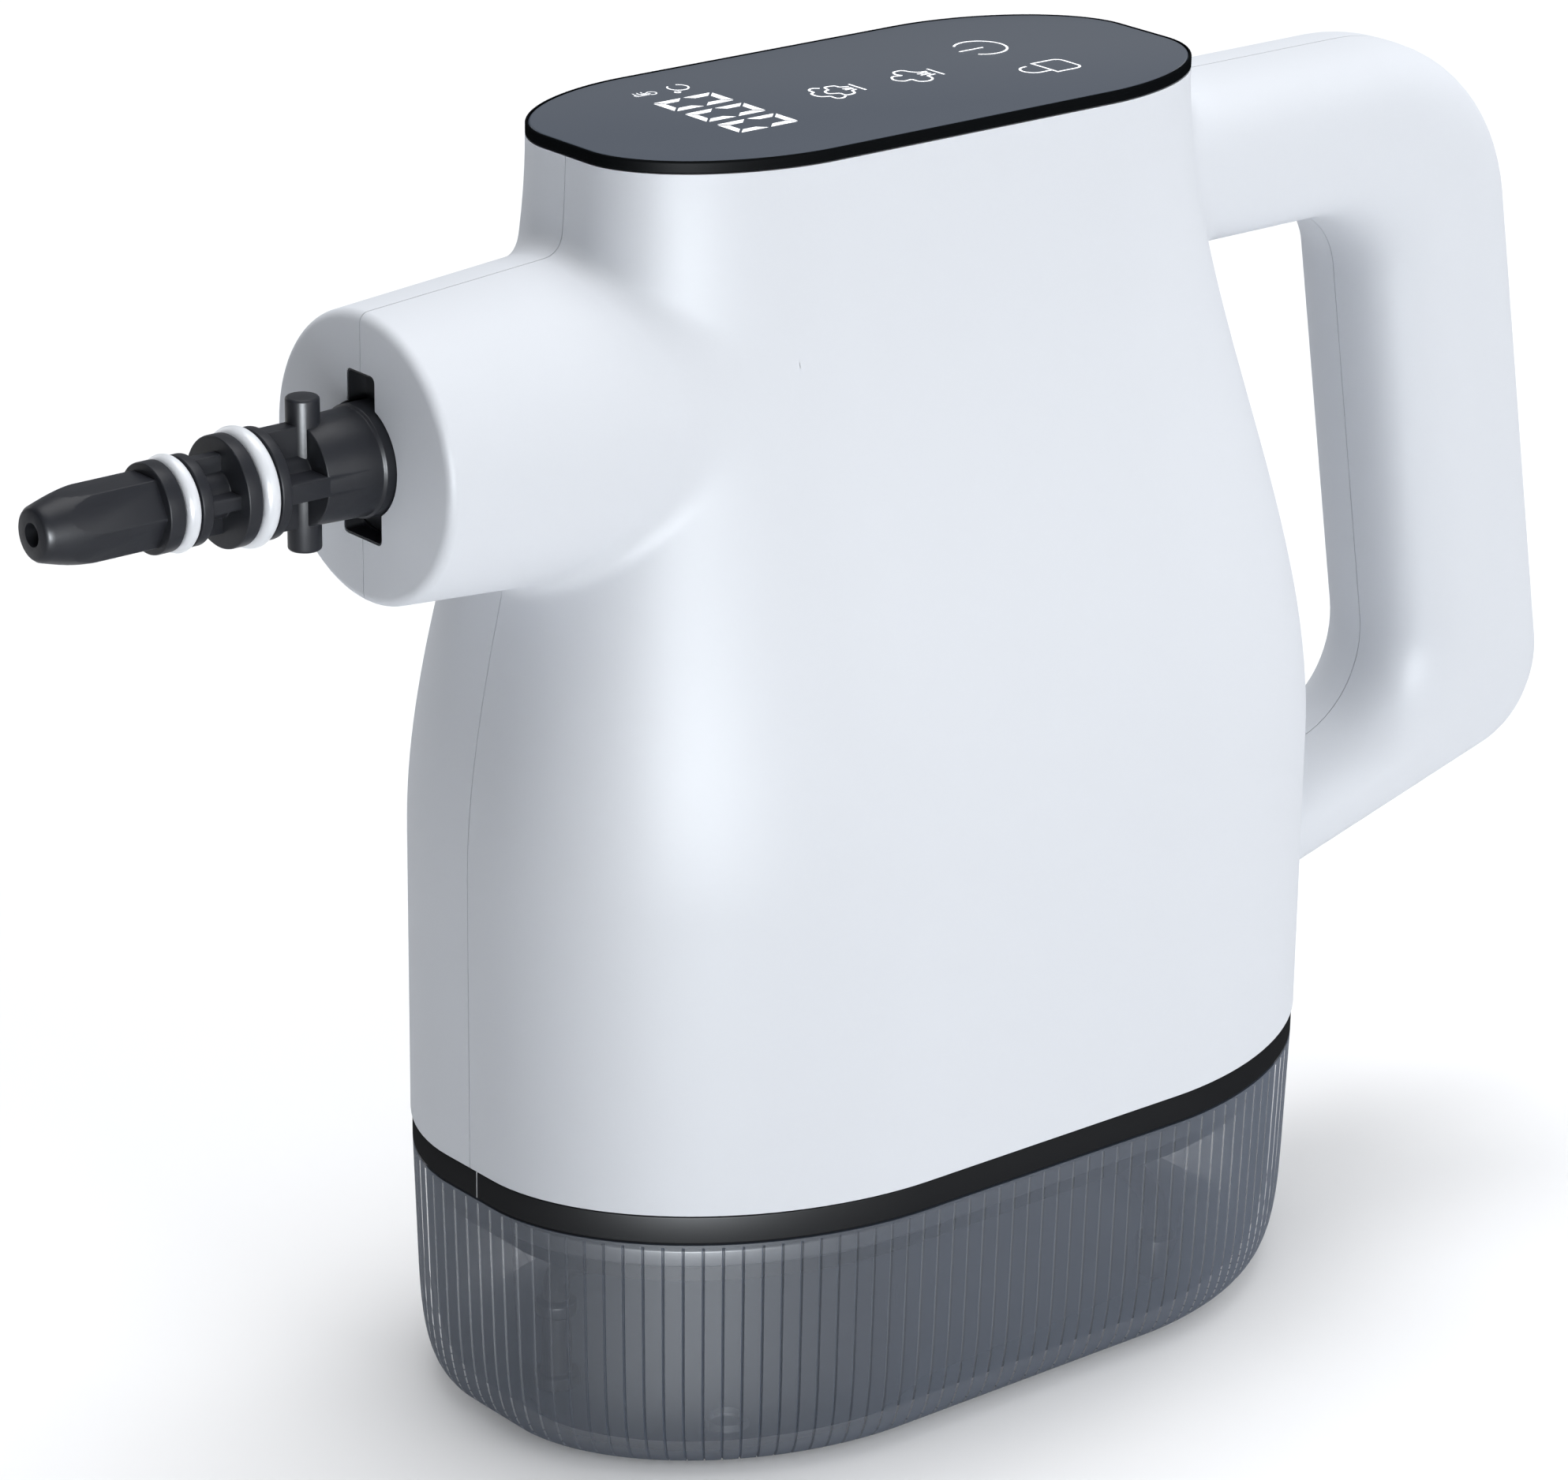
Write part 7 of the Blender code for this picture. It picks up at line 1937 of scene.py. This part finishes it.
# %% Pointed end with six flats
TIP_EASE, HEX_EASE = 0.5 * MM, 0.2 * MM
SLIVER = 0.02 * MM  # keeps two faces from lying in one place
tip_profile = [(cone, TIP_RADIUS - TIP_EASE), (cone + 0.4 * TIP_EASE, TIP_RADIUS - 0.3 * TIP_EASE)]
for along in np.linspace(0.06, 1, 14):
    radius = mix(TIP_RADIUS, HEX_RADIUS, math.sin(along * math.pi / 2))
    tip_profile.append((mix(cone, hexagon, along), radius))
tip_profile.append((front_1 + GAP, HEX_RADIUS + SLIVER))
tip = turned("tip", tip_profile, SPOUT_SEGMENTS)
prism = turned("prism", [(cone - OVERRUN, HEX_RADIUS), (front_1 + OVERRUN, HEX_RADIUS)], 6)
prism.data.transform(Matrix.Rotation(math.radians(90), 4, "X"))
combine(tip, bevelled(prism, HEX_EASE, 2), "INTERSECT")
join(spout, tip)
print("spout with its tip:", triangles(spout), "triangles")

# %% [markdown]
# Mouldings have ribs in place of thick walls.  Here two cross in the neck and two in the cage.  A rib
# could be pulled out of the core's faces, but those are narrow facets.  A box with eased edges that is
# joined to the core meets it and the discs in a clean line.  The two lugs are one rod through the core.


# %% Ribs and lugs
RIB_LEAD, RIB_EASE = 0.5 * MM, 0.3 * MM
NECK_RIB_REACH, NECK_RIB_WIDTH, CAGE_RIB_WIDTH = 6.4 * MM, 2.3 * MM, 3.2 * MM
LUG_RADIUS, LUG_REACH, LUG_EASE = 2.7 * MM, 12.4 * MM, 0.5 * MM
LUG_SETBACK = 10.9 * MM
BORE_RADIUS, BORE_DEPTH = 1.9 * MM, 12.0 * MM


def crossed_ribs(start, end, reach, width):
    """Join two flat ribs that cross on the axis, with their ends inside what stands beside them."""
    for half_y, half_z in ((reach, width / 2), (width / 2, reach)):
        rib = box("rib", (start - RIB_LEAD, -half_y, -half_z), (end + RIB_LEAD, half_y, half_z))
        join(spout, bevelled(rib, RIB_EASE, 2))


crossed_ribs(neck, front_2, NECK_RIB_REACH, NECK_RIB_WIDTH)
crossed_ribs(cage, sleeve, CAGE_RADIUS, CAGE_RIB_WIDTH)
lug_ends = [(FACE_X - LUG_SETBACK, 0, side * LUG_REACH) for side in (-1, 1)]
join(spout, bevelled(rod("lugs", LUG_RADIUS, *lug_ends, 48), LUG_EASE, 3))
cut(spout, rod("steam_bore", BORE_RADIUS, (cone - OVERRUN, 0, 0), (cone + BORE_DEPTH, 0, 0), 32))
move(spout, AXIS)
hand_over(spout, ["spout_body"], "cleaner", "black_plastic", angle=32)

# %% [markdown]
# The hole in the barrel's face and its two slots look black right up to the face.  The cut faces of the
# shell could get a second material, but a Boolean renumbers the faces, so they are hard to pick.  A thin
# black sleeve just inside the cut does the same and leaves the shell in one finish.

# %% Black sleeve behind the face
LINER_SETBACK = 0.15 * MM
LINER_WALL = 0.12 * MM
liner_front = FACE_X + LINER_SETBACK
hole = ((liner_front, 0, AXIS_HEIGHT), (face_back, 0, AXIS_HEIGHT))
sleeve_liner = rod("slot_sleeve", FACE_HOLE_RADIUS - SLIVER, *hole, 96)
for _, width, low, high in SLOTS:
    join(sleeve_liner, slot_tool(width, low, high, liner_front, SLOT_LINER - SLIVER))
for _, width, low, high in SLOTS:
    cut(sleeve_liner, slot_tool(width, low, high, FACE_X - OVERRUN))
clear = ((FACE_X - OVERRUN, 0, AXIS_HEIGHT), (face_back + OVERRUN, 0, AXIS_HEIGHT))
cut(sleeve_liner, rod("room", FACE_HOLE_RADIUS - LINER_WALL, *clear, 96))
hand_over(sleeve_liner, [], "cleaner", "black_plastic")

# %% [markdown]
# Two pale rings of silicone sit in the discs' grooves and seal the nozzle.  A torus would look the
# same.  Spinning a circle uses the helper that made the grooves, with as many segments, so ring and
# groove have the same facets and stay the same distance apart all round.

# %% Seal rings on the spout
RING_SIDES = 24
SMALL_RING, LARGE_RING = 1.3 * MM, 1.55 * MM
for ring_name, middle_x, groove, thickness in (
    ("ring_small", (groove_1 + rear_1) / 2, SMALL_GROOVE, SMALL_RING),
    ("ring_large", (groove_2 + rear_2) / 2, LARGE_GROOVE, LARGE_RING),
):
    middle = groove + GAP + thickness
    turns = [math.tau * step / RING_SIDES for step in range(RING_SIDES)]
    profile = [(middle_x + thickness * math.cos(a), middle + thickness * math.sin(a)) for a in turns]
    seal_ring = turned(f"{ring_name}_fine", profile, SPOUT_SEGMENTS, closed_path=True)
    hand_over(move(seal_ring, AXIS), [ring_name], "cleaner", "grey_silicone", angle=80)

# %% [markdown]
# ## What hangs in the tank
# A filter weight on a hose draws the water.  A valve, a second hose and a level sensor hang beside
# it.  They show faintly through the tank, and plainly when it is off.  A hose could be a curve with a
# round bevel.  Rings laid along a computed route give the same with plain arithmetic, and each ring is
# turned as little as possible from the last, so the tube doesn't twist.


# %% Hoses along smooth routes
HOSE_LEAD = 2.2 * MM
HOSE_RADIUS = 2.2 * MM


def route(start, end, steps=26):
    """Smooth way between two places, leaving and arriving straight down."""
    lead = Vector((0, 0, -HOSE_LEAD))
    first, last = start + lead, end - lead
    length = (last - first).length
    down = Vector((0, 0, -1))
    points = [start]
    for step in range(steps + 1):
        t = step / steps
        rise = t * t * (3 - 2 * t)
        pull = down * length * (t * (1 - t) ** 2 - t * t * (1 - t))
        points.append(first.lerp(last, rise) + pull)
    return points + [end]


def tube(name, points, radius, sides=24):
    """Round tube along points, with each ring turned as little as possible from the last."""
    rings = []
    across = Vector((1, 0, 0))
    for i, point in enumerate(points):
        ahead = points[min(i + 1, len(points) - 1)] - points[max(i - 1, 0)]
        ahead.normalize()
        across = (across - ahead * across.dot(ahead)).normalized()
        over = ahead.cross(across)
        turns = [math.tau * step / sides for step in range(sides)]
        rings.append([point + (across * math.cos(a) + over * math.sin(a)) * radius for a in turns])
    return skin(name, rings)


print("hose helpers ready")

# %% [markdown]
# The filter, its cap and the valve are small round mouldings that hang upright.  They are spun like the
# spout and then stood up.  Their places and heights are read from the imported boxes, so they can't
# drift away from the hoses' ends.

# %% Filter, valve, sensor and their hoses
WEIGHT_RADIUS, WEIGHT_HEIGHT = 4.0 * MM, 2.4 * MM
STEM_RADIUS, CAP_RADIUS = 2.6 * MM, 3.6 * MM
END_RADIUS = 1.0 * MM
HANGING_EASE, SENSOR_EASE = 0.4 * MM, 1.0 * MM
filter_low, filter_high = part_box("filter_weight")
cap_low, cap_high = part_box("filter_cap")
valve_low, valve_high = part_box("relief_valve")
filter_x, filter_y = (filter_low.x + filter_high.x) / 2, (filter_low.y + filter_high.y) / 2
valve_x, valve_y = (valve_low.x + valve_high.x) / 2, (valve_low.y + valve_high.y) / 2


def upright(name, profile, x, y, segments=48):
    """Turned piece with eased corners that stands upright, from (height, radius)."""
    piece = turned(name, eased(profile, HANGING_EASE), segments)
    piece.data.transform(Matrix.Rotation(math.radians(-90), 4, "Y"))
    return move(piece, (x, y, 0))


weight_profile = [
    (filter_low.z, END_RADIUS),
    (filter_low.z, WEIGHT_RADIUS),
    (filter_low.z + WEIGHT_HEIGHT, WEIGHT_RADIUS),
    (filter_low.z + WEIGHT_HEIGHT, STEM_RADIUS),
    (filter_high.z, STEM_RADIUS),
    (filter_high.z, END_RADIUS),
]
weight = upright("filter_body", weight_profile, filter_x, filter_y)
hand_over(weight, ["filter_weight"], "cleaner", "dark_rubber")
for piece_name, hidden, x, y, low, high in (
    ("filter_top", "filter_cap", filter_x, filter_y, cap_low.z, cap_high.z),
    ("valve_body", "relief_valve", valve_x, valve_y, valve_low.z, valve_high.z),
):
    profile = [(low, END_RADIUS), (low, CAP_RADIUS), (high, CAP_RADIUS), (high, END_RADIUS)]
    hand_over(upright(piece_name, profile, x, y), [hidden], "cleaner", "black_plastic")
hose_top = FLOOR_LOW - BARB_REACH - GAP
suction = route(Vector((*BARBS[0], hose_top)), Vector((filter_x, filter_y, cap_high.z + GAP)))
back_way = route(Vector((*BARBS[1], hose_top)), Vector((valve_x, valve_y, valve_high.z + GAP)))
for hose_name, hidden, way in (
    ("suction_line", "suction_hose", suction),
    ("return_line", "return_hose", back_way),
):
    hand_over(tube(hose_name, way, HOSE_RADIUS), [hidden], "cleaner", "dark_rubber", angle=60)
sensor = bevelled(box("sensor_body", *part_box("level_sensor")), SENSOR_EASE, 4)
hand_over(sensor, ["level_sensor"], "cleaner", "black_plastic")

# %% [markdown]
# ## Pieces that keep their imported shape
# Boiler, pump, boards and the rest inside the body are seen only when it is taken apart, and their
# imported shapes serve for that.  New shapes would cost time and show nowhere.  Only their flat colours
# change: each slot gets the finish that has the slot's own name.

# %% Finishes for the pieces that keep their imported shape
KEPT_SLOTS = (
    "steel",
    "cast_aluminium",
    "circuit_green",
    "copper",
    "black_plastic",
    "dark_rubber",
    "grey_silicone",
)
dressed = 0
for thing in bpy.context.scene.objects:
    if thing.type != "MESH" or thing.name not in CAD_NAMES:
        continue
    for slot in thing.material_slots:
        name = slot.material.name.split(".")[0] if slot.material else ""
        if name in KEPT_SLOTS:
            slot.material = FINISHES[name]
            dressed += 1
print("kept pieces dressed:", dressed)
